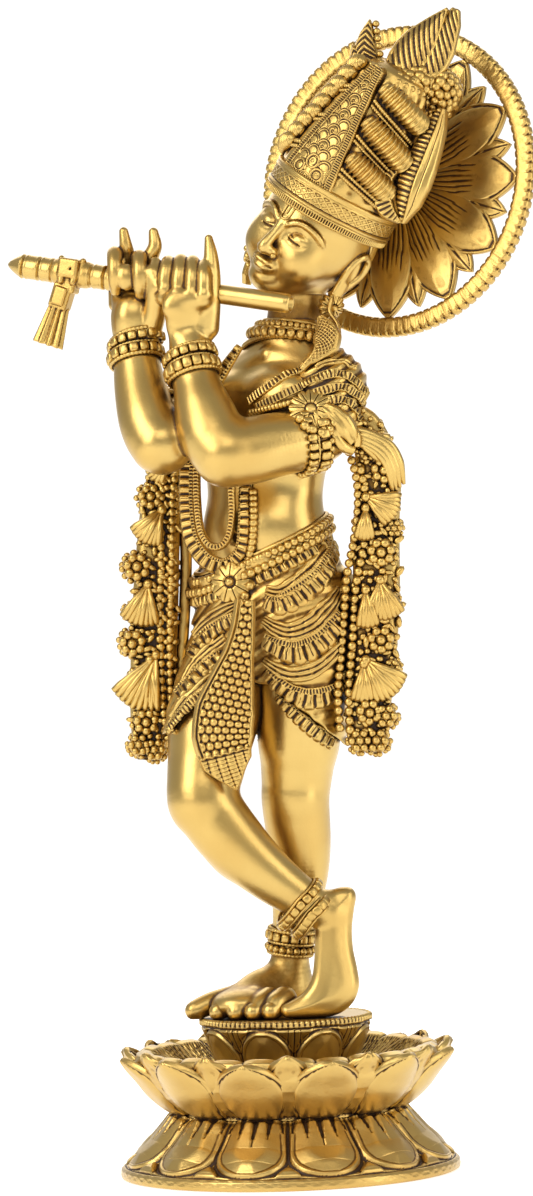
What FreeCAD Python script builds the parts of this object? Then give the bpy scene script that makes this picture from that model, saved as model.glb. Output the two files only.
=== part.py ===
"""Cast-brass statuette of a flute player on a double lotus base.

Row frame: millimetres, +Z up, origin at the middle of the base's resting plane.
The figure faces -Y and its left side is +X.

Stations of the limbs and of the hanging pieces are written in a working frame that
is turned about the base's axis by the cell work_turn: its first axis runs along the
flute's side of the figure, its second towards the viewer's side, its third is Z.
The head, the crown and the halo share a leaning head frame: sideways, facing, up.
"""
import FreeCAD
import Part
import math
import os

V = FreeCAD.Vector
doc = FreeCAD.newDocument("flute_player")
sheet = doc.addObject("Spreadsheet::Sheet", "dims")
values = {}
line = [1]


def dim(name, value):
    """One cell of the sheet: a plain number with an alias."""
    r = line[0]
    line[0] += 1
    sheet.set("A%d" % r, name)
    sheet.set("B%d" % r, "%.4f" % value)
    sheet.setAlias("B%d" % r, name)
    values[name] = float("%.4f" % value)
    return name


def val(name):
    return values[name]


def bind(obj, prop, name, extra=""):
    obj.setExpression(prop, "dims." + name + extra)


# ---------------------------------------------------------------- overall cells
for n, x in [
    ("work_turn", 38.0),
    ("base_radius", 66.0), ("base_rim", 4.0), ("base_shoulder_radius", 62.0),
    ("base_waist_radius", 44.0), ("base_height", 24.0), ("base_wall", 4.5),
    ("base_petal_count", 12), ("base_petal_thick", 3.2), ("base_petal_long", 13.5),
    ("base_petal_half", 13.2), ("base_petal_tilt", 40.0),
    ("tray_neck_radius", 43.0), ("tray_rim_radius", 61.0), ("tray_rim_height", 45.0),
    ("tray_floor", 33.0), ("tray_petal_count", 12), ("tray_petal_thick", 3.6),
    ("tray_petal_long", 12.5), ("tray_petal_half", 16.0), ("tray_petal_tilt", -58.0),
    ("pedestal_bottom_radius", 27.0), ("pedestal_top_radius", 33.7),
    ("pedestal_top", 61.0), ("pedestal_petal_count", 8),
    ("pedestal_petal_thick", 3.2), ("pedestal_petal_long", 11.0),
    ("pedestal_petal_half", 11.5), ("pedestal_petal_tilt", -24.0),
    ("stud_radius", 4.0), ("stud_bottom", 6.0), ("stud_top", 50.0),
    ("washer_radius", 10.0), ("washer_thick", 2.0), ("nut_thick", 6.5),
    ("nut_flats", 13.0),
    ("flute_radius", 3.8), ("flute_band_radius", 4.7), ("flute_length", 119.4),
    ("flute_plain_length", 73.0), ("flute_play", 0.08),
    ("halo_radius", 62.0), ("halo_inner_radius", 54.0), ("halo_ring_thick", 6.0),
    ("halo_petal_tip", 54.4), ("halo_small_tip", 50.0), ("halo_valley", 43.5),
    ("halo_lotus_thick", 3.0), ("halo_hub_radius", 12.0),
    ("halo_peg_radius", 3.0), ("halo_peg_play", 0.05), ("halo_peg_length", 11.0),
]:
    dim(n, x)

A = math.radians(val("work_turn"))


def P(u, w, z):
    """A point of the working frame in the row frame."""
    return V(u * math.cos(A) + w * math.sin(A), u * math.sin(A) - w * math.cos(A), z)


def turned(v):
    return P(v[0], v[1], v[2])


# the leaning head frame, from its middle
HEAD = P(20.8, 6.0, 364.0)
FACE = turned((-0.54, 0.832, 0.125)).normalize()
UP = turned((0.51, 0.205, 0.835)).normalize()
SIDE = UP.cross(FACE).normalize()      # towards the figure's left
UP = FACE.cross(SIDE).normalize()


def H(sd, fc, up):
    return HEAD + SIDE * sd + FACE * fc + UP * up


HEAD_ROT = FreeCAD.Rotation(SIDE, FACE * -1.0, UP, "ZXY")   # local Z up, local Y backwards
DISC_ROT = FreeCAD.Rotation(SIDE, UP, FACE, "ZXY")          # local Z points forward


def along(d, hint=None):
    """A rotation that takes Z to the direction d, with X near hint."""
    d = V(d).normalize()
    if hint is None:
        return FreeCAD.Rotation(V(0, 0, 1), d)
    return FreeCAD.Rotation(V(hint), V(0, 0, 0), d, "ZXY")


# ---------------------------------------------------------------- small makers
def place(obj, base, rot=None):
    obj.Placement = FreeCAD.Placement(V(base), rot if rot else FreeCAD.Rotation())
    return obj


def ellipsoid(name, c, rx, ry, rz, rot=None):
    o = doc.addObject("Part::Ellipsoid", name)
    for prop, key, x in (("Radius1", "rz", rz), ("Radius2", "rx", rx), ("Radius3", "ry", ry)):
        bind(o, prop, dim(name + "_" + key, x))
    o.Angle1, o.Angle2, o.Angle3 = -90, 90, 360
    return place(o, c, rot)


def ball(name, c, r):
    o = doc.addObject("Part::Sphere", name)
    bind(o, "Radius", dim(name + "_radius", r))
    return place(o, c)


def cylinder(name, base, r, h, rot=None, r_name=None, h_name=None, r_extra="", h_extra=""):
    o = doc.addObject("Part::Cylinder", name)
    bind(o, "Radius", r_name or dim(name + "_radius", r), r_extra)
    bind(o, "Height", h_name or dim(name + "_height", h), h_extra)
    return place(o, base, rot)


def cone(name, base, r1, r2, h, rot=None):
    o = doc.addObject("Part::Cone", name)
    bind(o, "Radius1", dim(name + "_foot", r1))
    bind(o, "Radius2", dim(name + "_head", r2))
    bind(o, "Height", dim(name + "_height", h))
    return place(o, base, rot)


def box(name, base, lx, ly, lz, rot=None):
    o = doc.addObject("Part::Box", name)
    bind(o, "Length", dim(name + "_long", lx))
    bind(o, "Width", dim(name + "_wide", ly))
    bind(o, "Height", dim(name + "_high", lz))
    return place(o, base, rot)


def tube(name, stations, first=None, last=None, flat=None, hint=None):
    """A loft through circles (or ellipses, with flat) square to their path."""
    pts = [V(s[0]) for s in stations]
    rings = []
    for i, st in enumerate(stations):
        if i == 0:
            d = first if first else pts[1] - pts[0]
        elif i == len(pts) - 1:
            d = last if last else pts[-1] - pts[-2]
        else:
            d = (pts[i + 1] - pts[i]).normalize() + (pts[i] - pts[i - 1]).normalize()
        key = "%s_%s" % (name, "abcdefghijkl"[i])
        if flat:
            o = doc.addObject("Part::Ellipse", key)
            bind(o, "MajorRadius", dim(key + "_major", st[1]))
            bind(o, "MinorRadius", dim(key + "_minor", st[2]))
            place(o, pts[i], along(d, hint))
        else:
            o = doc.addObject("Part::Circle", key)
            bind(o, "Radius", dim(key + "_radius", st[1]))
            place(o, pts[i], along(d))
        rings.append(o)
    loft = doc.addObject("Part::Loft", name)
    loft.Sections = rings
    loft.Solid = True
    loft.Ruled = False
    return loft


def upright(name, stations):
    """A loft through level ellipses, each (x, y, z, half width, half depth)."""
    rings = []
    for i, (x, y, z, a, b) in enumerate(stations):
        key = "%s_%s" % (name, "abcdefghijklmnop"[i])
        o = doc.addObject("Part::Ellipse", key)
        bind(o, "MajorRadius", dim(key + "_major", a))
        bind(o, "MinorRadius", dim(key + "_minor", b))
        place(o, V(x, y, z))
        rings.append(o)
    loft = doc.addObject("Part::Loft", name)
    loft.Sections = rings
    loft.Solid = True
    loft.Ruled = False
    return loft


def fuse(name, *objs):
    o = doc.addObject("Part::MultiFuse", name)
    o.Shapes = list(objs)
    return o


def cut(name, base, *tools):
    for i, tool in enumerate(tools):
        last = i == len(tools) - 1
        o = doc.addObject("Part::Cut", name if last else "%s_less_%s" % (name, "abcdefgh"[i]))
        o.Base = base
        o.Tool = tool
        base = o
    return base


nodes = {}


def node(label, obj):
    obj.Label = label
    nodes[label] = obj
    return obj


# ---------------------------------------------------------------- lotus tiers
def plane_of(body, role):
    return [o for o in body.Origin.OriginFeatures if o.Role == role][0]


def profile(body, name, points):
    """A closed polygon in the XZ plane, each corner fixed by two named distances."""
    sk = body.newObject("Sketcher::SketchObject", name)
    sk.AttachmentSupport = (plane_of(body, "XZ_Plane"), [""])
    sk.MapMode = "FlatFace"
    n = len(points)
    import Sketcher
    num = []
    for p in points:
        num.append(tuple(values[c] if isinstance(c, str) else c for c in p))
    for i in range(n):
        a, b = num[i], num[(i + 1) % n]
        sk.addGeometry(Part.LineSegment(V(a[0], a[1], 0), V(b[0], b[1], 0)), False)
    for i in range(n):
        sk.addConstraint(Sketcher.Constraint("Coincident", i, 2, (i + 1) % n, 1))
    for i, (p, q) in enumerate(zip(points, num)):
        for axis, kind, k in (("x", "DistanceX", 0), ("z", "DistanceY", 1)):
            if abs(q[k]) < 1e-9:
                sk.addConstraint(Sketcher.Constraint("PointOnObject", i, 1, -2 if k == 0 else -1))
                continue
            label = "%s%d" % (axis, i)
            c = sk.addConstraint(Sketcher.Constraint(kind, -1, 1, i, 1, q[k]))
            sk.renameConstraint(c, label)
            alias = p[k] if isinstance(p[k], str) else dim("%s_%s_%s" % (body.Name, name[-3:], label), q[k])
            sk.setExpression("Constraints." + label, "dims." + alias)
    return sk


def turn(body, name, sk, groove=False):
    r = body.newObject("PartDesign::Groove" if groove else "PartDesign::Revolution", name)
    r.Profile = sk
    r.ReferenceAxis = (sk, ["V_Axis"])
    r.Angle = 360
    return r


def petals(body, name, at, thick, long, half, tilt, count, spin=0.0):
    """One rounded petal added to the tier, then repeated round the axis."""
    e = body.newObject("PartDesign::AdditiveEllipsoid", name)
    bind(e, "Radius1", thick)
    bind(e, "Radius2", long)
    bind(e, "Radius3", half)
    e.AttachmentSupport = (plane_of(body, "XY_Plane"), [""])
    e.MapMode = "FlatFace"
    ca, sa = math.cos(math.radians(spin)), math.sin(math.radians(spin))
    e.AttachmentOffset = FreeCAD.Placement(
        V(at[0] * ca, at[0] * sa, at[1]),
        FreeCAD.Rotation(V(0, 0, 1), spin) * FreeCAD.Rotation(V(0, 1, 0), val(tilt)))
    p = body.newObject("PartDesign::PolarPattern", name + "_round")
    p.Originals = [e]
    p.Axis = (plane_of(body, "Z_Axis"), [""])
    p.Angle = 360
    p.Occurrences = int(val(count))
    bind(p, "Occurrences", count)
    body.Tip = p
    return p


base = doc.addObject("PartDesign::Body", "lower_tier")
turn(base, "lower_turn", profile(base, "lower_out", [
    (0.0, 0.0), ("base_radius", 0.0), ("base_radius", "base_rim"), ("base_shoulder_radius", 6.5),
    (53.0, 11.5), ("base_waist_radius", "base_height"), (0.0, "base_height")]))
petals(base, "lower_petal", (52.5, 13.0), "base_petal_thick", "base_petal_long",
       "base_petal_half", "base_petal_tilt", "base_petal_count")
turn(base, "lower_hollow", profile(base, "lower_cav", [
    (0.0, 0.0), (61.0, 0.0), (57.5, 4.5), (47.5, 9.0), (40.0, 20.0), ("stud_radius", 20.0),
    ("stud_radius", "base_height"), (0.0, "base_height")]), groove=True)
base.Tip = base.Group[-1]
node("lotus_base", base)

tray = doc.addObject("PartDesign::Body", "upper_tier")
turn(tray, "upper_turn", profile(tray, "upper_out", [
    (0.0, "base_height"), ("tray_neck_radius", "base_height"), (51.0, 30.0), (58.0, 37.0),
    ("tray_rim_radius", "tray_rim_height"), (56.5, 44.0), (47.0, 36.5), (38.0, "tray_floor"),
    (0.0, "tray_floor")]))
petals(tray, "upper_petal", (55.6, 37.2), "tray_petal_thick", "tray_petal_long",
       "tray_petal_half", "tray_petal_tilt", "tray_petal_count", spin=15.0)
turn(tray, "upper_bowl", profile(tray, "upper_cav", [
    (0.0, "tray_floor"), (38.0, "tray_floor"), (47.0, 36.5), (56.5, 45.0), (57.5, 60.0),
    (0.0, 60.0)]), groove=True)
hole = turn(tray, "upper_hole", profile(tray, "upper_bor", [
    (0.0, 20.0), ("stud_radius", 20.0), ("stud_radius", 40.0), (0.0, 40.0)]), groove=True)
tray.Tip = tray.Group[-1]
node("lotus_tray", tray)

ped = doc.addObject("PartDesign::Body", "top_tier")
turn(ped, "top_turn", profile(ped, "top_out", [
    (0.0, "tray_floor"), ("pedestal_bottom_radius", "tray_floor"), (25.5, 37.0), (27.0, 44.0),
    (31.0, 52.0), ("pedestal_top_radius", 58.0), (33.0, "pedestal_top"), (0.0, "pedestal_top")]))
petals(ped, "top_petal", (27.2, 49.5), "pedestal_petal_thick", "pedestal_petal_long",
       "pedestal_petal_half", "pedestal_petal_tilt", "pedestal_petal_count")
for o in (ped.getObject("top_petal"),):
    o.AttachmentOffset = FreeCAD.Placement(V(28.4, 0, 48.5), FreeCAD.Rotation(V(0, 1, 0), -64.0))
turn(ped, "top_socket", profile(ped, "top_cav", [
    (0.0, 30.0), ("stud_radius", 30.0), ("stud_radius", "stud_top"), (0.0, "stud_top")]), groove=True)
turn(ped, "top_trim", profile(ped, "top_lid", [
    (0.0, "pedestal_top"), (50.0, "pedestal_top"), (50.0, 70.0), (0.0, 70.0)]), groove=True)
ped.Tip = ped.Group[-1]
node("lotus_pedestal", ped)

stud = cylinder("stud", V(0, 0, val("stud_bottom")), 0, 0, r_name="stud_radius",
                h_name="stud_top", h_extra=" - dims.stud_bottom")
node("base_stud", stud)
wd = cylinder("washer_disc", V(0, 0, 20.0 - val("washer_thick")), 0, 0,
              r_name="washer_radius", h_name="washer_thick")
wh = cylinder("washer_hole", V(0, 0, 10.0), 0, 30.0, r_name="stud_radius")
node("base_washer", cut("washer", wd, wh))
hexa = doc.addObject("Part::Prism", "nut_hexagon")
hexa.Polygon = 6
bind(hexa, "Circumradius", "nut_flats", " / 1.7320508")
bind(hexa, "Height", "nut_thick")
place(hexa, V(0, 0, 20.0 - val("washer_thick") - val("nut_thick")))
nh = cylinder("nut_hole", V(0, 0, 0), 0, 40.0, r_name="stud_radius")
node("base_nut", cut("nut", hexa, nh))

# ---------------------------------------------------------------- trunk, garment, legs
torso = upright("torso", [
    (0, 0, 238, 28.6, 20.8), (-0.3, -0.5, 246, 26.4, 19.3), (-0.5, -1, 254, 25.2, 18.6),
    (-0.4, -1, 262, 25.0, 18.4), (0.2, -0.8, 271, 26.0, 18.8), (1.2, 0, 280, 28.2, 19.8),
    (2.6, 0.5, 289, 30.8, 20.5), (4.2, 1, 298, 32.6, 20.4), (5.8, 1.8, 306, 32.6, 18.8),
    (7.2, 2.5, 312, 29.2, 16.6), (8.6, 3, 318, 23.0, 14.2), (10.2, 3.3, 324.5, 16.0, 12.4),
    (11.8, 3.3, 332, 12.2, 11.4), (13, 3, 340, 11, 11)])
node("trunk", torso)

left_dir = P(8.6, 2.6, 165) - P(9.6, 4, 175.6)
right_dir = P(-29.5, 17, 150) - P(-23, 8, 178)
pelvis = upright("pelvis", [
    (1, 1, 193, 30, 21), (1, 1, 204, 33, 24.5), (0.5, 0.5, 216, 34, 25.5),
    (0, 0, 228, 32.5, 24.5), (0, 0, 238, 30, 22.5)])
left_wrap = tube("left_wrap", [(P(11.5, 8, 206), 20.5), (P(10.6, 6, 190), 19.5),
                               (P(9.6, 4, 175.6), 18.5), (P(8.6, 2.6, 165), 18.2)], last=left_dir)
right_wrap = tube("right_wrap", [(P(-12.3, -5, 206), 19.5), (P(-18, 1.5, 191), 19.5),
                                 (P(-23, 8, 178), 19.0), (P(-26.4, 12.6, 163.5), 17.8)], last=right_dir)
node("dhoti", fuse("dhoti", pelvis, left_wrap, right_wrap))

# the pedestal's top carries both feet, so their soles are trimmed on it
ground = box("sole_trim", V(-80, -80, 40), 160, 160, val("pedestal_top") - 40)

thigh_l = tube("left_shin", [(P(8.6, 2.6, 165), 15.0), (P(6.9, 0.2, 147), 13.4),
                             (P(7.9, -4, 124.9), 12.2), (P(6, -6, 105.5), 9.5),
                             (P(2.6, -8, 86), 7.5), (P(2.4, -10, 72), 8.0)], first=left_dir)
foot_hint = P(-0.87, 0.49, 0)
foot_l = ellipsoid("left_foot", P(-18.5, -0.5, 65.8), 28.5, 9.3, 6.8,
                   FreeCAD.Rotation(foot_hint, V(0, 0, 0), V(0, 0, 1), "ZXY"))
instep_l = ellipsoid("left_instep", P(-4.5, -9, 70), 17.0, 8.2, 9.0,
                     FreeCAD.Rotation(foot_hint, V(0, 0, 0), V(0, 0, 1), "ZXY"))
heel_l = ball("left_heel", P(5.0, -14, 68.2), 8.4)
node("left_leg", cut("left_leg", fuse("left_leg_cast", thigh_l, foot_l, instep_l, heel_l), ground))

thigh_r = tube("right_thigh", [(P(-26.4, 12.6, 163.5), 15.0), (P(-28.6, 15.6, 152.5), 14.0),
                               (P(-29.5, 17.2, 146.5), 13.4)], first=right_dir)
knee_r = ball("right_knee", P(-29.2, 17.2, 147.5), 13.9)
shin_r = tube("right_shin", [(P(-28.0, 17.4, 143.5), 12.8), (P(-12, 19, 124), 11.5),
                             (P(4, 19, 110), 8.8), (P(14, 18.5, 101.5), 7.2),
                             (P(22, 17, 97.0), 7.0)])
plate_r = tube("right_sole", [(P(26.5, 14.5, 106), 6.5, 4.2), (P(25.5, 15.5, 97), 9.8, 5.8),
                              (P(22.5, 18, 84), 10.2, 5.8), (P(19.5, 20, 70.5), 10.6, 5.6)],
               flat=True, hint=P(-0.78, 0.62, 0))
toes_r = ellipsoid("right_toes", P(10.5, 14.8, 65.8), 12.6, 9.0, 6.2,
                   FreeCAD.Rotation(P(-0.86, -0.5, -0.08), V(0, 0, 0), V(0, 0, 1), "XZY"))
node("right_leg", cut("right_leg", fuse("right_leg_cast", thigh_r, knee_r, shin_r, plate_r, toes_r), ground))

# ---------------------------------------------------------------- flute line
E0 = P(11.6, 32.0, 336.0)
E1 = P(-98.5, -9.0, 358.0)
FL = (E1 - E0).normalize()
FL_ROT = along(FL, V(0, 0, 1))
bore = cylinder("flute_bore", E0 - FL * 20.0, 0, 220.0, FL_ROT, r_name="flute_radius",
                r_extra=" + dims.flute_play")

barrel_room = cylinder("barrel_room", E0 + FL * (val("flute_plain_length") - 0.4), 5.2, 30.0, FL_ROT)

# ---------------------------------------------------------------- arms with their hands
upper_l = tube("left_upper_arm", [(P(29.5, 20, 305), 13.6), (P(20, 26, 298), 13.2),
                                  (P(8, 30, 291), 12.5), (P(-4, 34.5, 284.5), 12.3),
                                  (P(-15.0, 38, 279.5), 12.4)])
ball_l = ball("left_shoulder", P(29.0, 20, 304.5), 14.4)
elbow_l = ball("left_elbow", P(-15.7, 37.6, 279.6), 12.6)
fore_l = tube("left_forearm", [(P(-17.0, 36.0, 284), 12.2), (P(-20, 32, 294), 11.8),
                               (P(-22.5, 27, 308), 10.4), (P(-24.1, 22, 319.4), 8.8),
                               (P(-26.0, 21.5, 327), 8.2)])
palm_l = ellipsoid("left_palm", P(-27.0, 21.0, 334.5), 5.6, 9.6, 12.0,
                   FreeCAD.Rotation(P(0.1, 0.99, 0.1), V(0, 0, 0), V(0, 0, 1), "XZY"))
knuck_l = ellipsoid("left_grip", P(-26.6, 18.2, 345.6), 9.2, 9.4, 9.8,
                    FreeCAD.Rotation(P(0.1, 0.99, 0.1), V(0, 0, 0), V(0, 0, 1), "XZY"))
point_l = tube("left_pointer", [(P(-21.5, 21.0, 340), 3.0), (P(-22.0, 21.5, 350), 2.8),
                                (P(-23.0, 19.5, 358.5), 2.4), (P(-23.3, 19.0, 362.0), 1.7)])
node("left_arm", cut("left_arm", fuse("left_arm_cast", upper_l, ball_l, elbow_l, fore_l, palm_l,
                                      knuck_l, point_l), torso, bore))

upper_r = tube("right_upper_arm", [(P(-22.3, -25, 303), 13.6), (P(-27.5, -12, 298), 12.6),
                                   (P(-33, 4, 291.5), 12.2), (P(-38.8, 20, 285.5), 11.8)])
ball_r = ball("right_shoulder", P(-22.0, -24.5, 302.5), 14.4)
elbow_r = ball("right_elbow", P(-40.6, 24.0, 284.4), 12.0)
fore_r = tube("right_forearm", [(P(-42.0, 23.2, 287.5), 11.7), (P(-44.8, 19.6, 294), 11.5),
                                (P(-47, 13, 308), 10.4), (P(-48.6, 8, 323.7), 8.5),
                                (P(-48.3, 8.5, 331), 7.9)])
palm_r = ellipsoid("right_palm", P(-47.5, 9.0, 338), 5.6, 9.4, 12.0,
                   FreeCAD.Rotation(P(0.1, 0.99, 0.1), V(0, 0, 0), V(0, 0, 1), "XZY"))
grip_r = ellipsoid("right_grip", P(-46.8, 9.6, 348.2), 8.9, 9.0, 9.2,
                   FreeCAD.Rotation(P(0.1, 0.99, 0.1), V(0, 0, 0), V(0, 0, 1), "XZY"))
point_r = tube("right_pointer", [(P(-53.0, 8.0, 346), 2.9), (P(-54.5, 8.5, 356), 2.6),
                                 (P(-55.5, 8.5, 364), 1.9), (P(-55.8, 8.5, 367), 1.4)])
point_q = tube("right_ring_finger", [(P(-42.5, 9.5, 348), 2.9), (P(-43.0, 10.0, 358), 2.5),
                                     (P(-43.8, 10.0, 365), 1.9), (P(-44.0, 10.0, 368), 1.4)])
node("right_arm", cut("right_arm", fuse("right_arm_cast", upper_r, ball_r, elbow_r, fore_r, palm_r,
                                        grip_r, point_r, point_q), torso, bore, barrel_room))

# ---------------------------------------------------------------- head
neck = tube("neck", [(V(13, 3, 340), 11.0), (H(-1.5, -4.0, -14.0), 11.0), (H(-0.5, -3.0, -4.0), 11.5)],
            first=V(0, 0, 1))
skull = ellipsoid("skull", H(0, -2.0, 4.0), 22.5, 25.5, 25.0, HEAD_ROT)
jaw = ellipsoid("jaw", H(0, 7.5, -9.5), 16.0, 14.5, 18.0, HEAD_ROT)
nose = cone("nose", H(0, 19.5, -8.0), 4.0, 1.6, 15.0, HEAD_ROT * FreeCAD.Rotation(V(1, 0, 0), -8.0))
ear_l = ellipsoid("left_ear", H(22.0, -5.0, -4.0), 2.6, 5.2, 9.0, HEAD_ROT)
ear_r = ellipsoid("right_ear", H(-22.0, -5.0, -4.0), 2.6, 5.2, 9.0, HEAD_ROT)
head_cast = fuse("head_cast", neck, skull, jaw, nose, ear_l, ear_r)
crown_floor = box("brow_trim", H(-60, 60, 9.0), 120, 120, 60, HEAD_ROT)
head = cut("head", head_cast, crown_floor)
node("head", head)

# ---------------------------------------------------------------- crown
band_out = tube("crown_band_out", [(H(0, -1.0, 9.0), 27.0, 25.4), (H(0, -1.0, 21.0), 27.6, 26.0)],
                flat=True, hint=FACE)
body_room = tube("crown_body_room", [(H(0, -1.0, 8.0), 24.5, 23.0), (H(0, -1.0, 22.0), 24.5, 23.0)],
                 flat=True, hint=FACE)
band = cut("crown_band", band_out, body_room)
node("crown_band", band)
crown_core = tube("crown_core", [(H(0, -1.0, 9.0), 24.5, 23.0), (H(0, -1.0, 22.0), 24.5, 23.0)],
                  flat=True, hint=FACE)
crown_top = tube("crown_dome", [(H(0, -1.0, 21.0), 25.8, 25.4), (H(0, -1.0, 36.0), 24.8, 24.4),
                                (H(0, 0.0, 52.0), 21.5, 21.0), (H(0, 1.0, 64.0), 17.5, 17.2),
                                (H(0, 1.0, 70.0), 15.0, 15.0)], flat=True, hint=FACE)
socket = cylinder("peg_socket", H(2.3, -40.0, 31.7), 0, 40.0 - 12.0,
                  DISC_ROT, r_name="halo_peg_radius", r_extra=" + dims.halo_peg_play")
crown_body = cut("crown_body", fuse("crown_cast", crown_core, crown_top), socket)
node("crown_body", crown_body)

def plate(name, stations):
    """A loft through ellipses: (centre, half width, half thickness), width along SIDE."""
    rings = []
    for i, (c, a, b) in enumerate(stations):
        key = "%s_%s" % (name, "abcdefgh"[i])
        o = doc.addObject("Part::Ellipse", key)
        bind(o, "MajorRadius", dim(key + "_major", a))
        bind(o, "MinorRadius", dim(key + "_minor", b))
        place(o, c, FreeCAD.Rotation(SIDE, V(0, 0, 0), UP, "ZXY"))
        rings.append(o)
    loft = doc.addObject("Part::Loft", name)
    loft.Sections = rings
    loft.Solid = True
    loft.Ruled = False
    return loft


plate_raw = plate("front_plate_raw", [(H(0, 23.5, 21.2), 12.0, 4.4), (H(0, 22.5, 36.0), 10.5, 4.2),
                                      (H(0, 19.8, 52.0), 7.5, 4.0), (H(0, 16.6, 64.0), 4.5, 3.4),
                                      (H(0, 15.0, 69.5), 2.6, 2.6)])
node("crown_front_plate", cut("crown_front_plate", plate_raw, crown_body))

# ribbed rolls laid against each side of the crown, above the band
roll_l = fuse("rolls_l",
              ellipsoid("roll_la", H(23.5, 4.0, 29.0), 6.0, 9.5, 6.4, HEAD_ROT),
              ellipsoid("roll_lb", H(22.0, 2.0, 40.5), 6.0, 9.5, 6.4, HEAD_ROT),
              ellipsoid("roll_lc", H(19.0, 1.0, 52.0), 6.0, 9.5, 6.6, HEAD_ROT),
              ellipsoid("roll_ld", H(15.0, 1.0, 62.0), 5.4, 8.4, 5.4, HEAD_ROT))
node("left_crown_rolls", cut("left_crown_rolls", roll_l, crown_body))
roll_r = fuse("rolls_r",
              ellipsoid("roll_ra", H(-23.5, 4.0, 29.0), 6.0, 9.5, 6.4, HEAD_ROT),
              ellipsoid("roll_rb", H(-22.0, 2.0, 40.5), 6.0, 9.5, 6.4, HEAD_ROT),
              ellipsoid("roll_rc", H(-19.0, 1.0, 52.0), 6.0, 9.5, 6.6, HEAD_ROT),
              ellipsoid("roll_rd", H(-15.0, 1.0, 62.0), 5.4, 8.4, 5.4, HEAD_ROT))
node("right_crown_rolls", cut("right_crown_rolls", roll_r, crown_body))


def leaf(name, foot, tip, half, thick, out):
    """An upright leaf-shaped plate from foot to tip; out is the way its face looks."""
    foot, tip = V(foot), V(tip)
    mid = (foot + tip) * 0.5
    d = (tip - foot)
    return ellipsoid(name, mid, thick, half, d.Length / 2.0,
                     FreeCAD.Rotation(V(out), V(0, 0, 0), d.normalize(), "ZXY"))


feather = leaf("feather_leaf", H(6.0, 2.0, 68.5), P(79, 17, 450), 8.6, 4.0, P(0.1, 0.98, 0.0))
node("crown_feather", cut("crown_feather", feather, crown_body))
tuft = leaf("tuft_leaf", H(-5.0, 3.0, 64.0), P(46.7, 14, 446), 6.5, 4.0, P(0.1, 0.98, 0.0))
node("crown_tuft", cut("crown_tuft", tuft, crown_body, feather))
plume = leaf("plume_leaf", P(54.2, 17, 369), P(71.8, 14, 408.5), 4.8, 2.8, P(0.25, 0.95, 0.0))
knot = ball("plume_knot", P(71.5, 14, 414.5), 8.4)
stem = tube("plume_stem", [(H(18.0, 0, 45.0), 3.4), (P(63.5, 14, 405), 4.2), (P(71.0, 14, 411), 4.6)])
root_l = ellipsoid("plume_root", P(53.0, 15.0, 373.5), 4.0, 4.0, 6.0)
node("crown_side_plume", cut("crown_side_plume", fuse("plume_cast", plume, knot, stem, root_l),
                             crown_body, roll_l, band_out))

# ---------------------------------------------------------------- halo
HC = H(2.3, -32.1, 31.7)
ring_o = cylinder("halo_ring_disc", HC - FACE * 2.0, 0, 0, DISC_ROT, r_name="halo_radius", h_name="halo_ring_thick")
ring_i = cylinder("halo_ring_room", HC - FACE * 12.0, 0, 30.0, DISC_ROT, r_name="halo_inner_radius")
lot = doc.addObject("PartDesign::Body", "halo_flower")
sk = lot.newObject("Sketcher::SketchObject", "halo_flower_outline")
sk.AttachmentSupport = (plane_of(lot, "XY_Plane"), [""])
sk.MapMode = "FlatFace"
pts = []
for i in range(48):
    r = (val("halo_petal_tip"), val("halo_valley"), val("halo_small_tip"), val("halo_valley"))[i % 4]
    t = math.radians(7.5 * i)
    pts.append(V(r * math.cos(t), r * math.sin(t), 0))
for i in range(48):
    sk.addGeometry(Part.LineSegment(pts[i], pts[(i + 1) % 48]), False)
import Sketcher
for i in range(48):
    sk.addConstraint(Sketcher.Constraint("Coincident", i, 2, (i + 1) % 48, 1))
pad = lot.newObject("PartDesign::Pad", "halo_flower_pad")
pad.Profile = sk
bind(pad, "Length", "halo_lotus_thick")
lot.Tip = pad
place(lot, HC, DISC_ROT)
node("halo_lotus", lot)
node("halo_ring", cut("halo_ring", ring_o, fuse("halo_ring_tools", ring_i, lot)))
peg = cylinder("halo_peg_pin", HC + FACE * val("halo_lotus_thick"), 0, 0, DISC_ROT,
               r_name="halo_peg_radius", h_name="halo_peg_length")
node("halo_peg", peg)

# ---------------------------------------------------------------- flute
plain = cylinder("flute_plain", E0, 0, 0, FL_ROT, r_name="flute_radius", h_name="flute_plain_length")
blow = cylinder("flute_blow_hole", E0 + FL * 15.0, 0.9, 8.0, FreeCAD.Rotation(V(0, 0, 1), V(0, 0, 1)))
node("flute_tube", cut("flute_tube", plain, blow))
T0 = val("flute_plain_length")
parts_f = [cylinder("flute_barrel", E0 + FL * T0, 0, val("flute_length") - T0 - 9.0, FL_ROT,
                    r_name="flute_band_radius")]
flute_bar = parts_f[0]
collar_f = ellipsoid("flute_collar_bulb", E0 + FL * 91.5, 6.6, 6.6, 5.6, FL_ROT)
node("flute_barrel", flute_bar)
node("flute_collar", cut("flute_collar", collar_f, flute_bar))
tip_f = ellipsoid("flute_tip", E0 + FL * (val("flute_length") - 9.0), 4.9, 4.9, 9.0, FL_ROT)
node("flute_pommel", cut("flute_pommel", tip_f, flute_bar))
DOWN = V(0, 0, -1) - FL * V(0, 0, -1).dot(FL)
DOWN.normalize()
C0 = E0 + FL * 91.5
sidef = DOWN.cross(FL).normalize()
blk = box("tassel_block", C0 + DOWN * 4.0 + FL * -4.0 - sidef * 3.6, 8.0, 7.2, 11.0,
          FreeCAD.Rotation(FL, sidef, DOWN, "ZXY"))
skirt = tube("tassel_skirt", [(C0 + DOWN * 15.0, 3.4, 3.2), (C0 + DOWN * 20.0, 4.6, 3.6),
                              (C0 + DOWN * 30.0, 5.6, 4.2)], flat=True, hint=FL)
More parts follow.
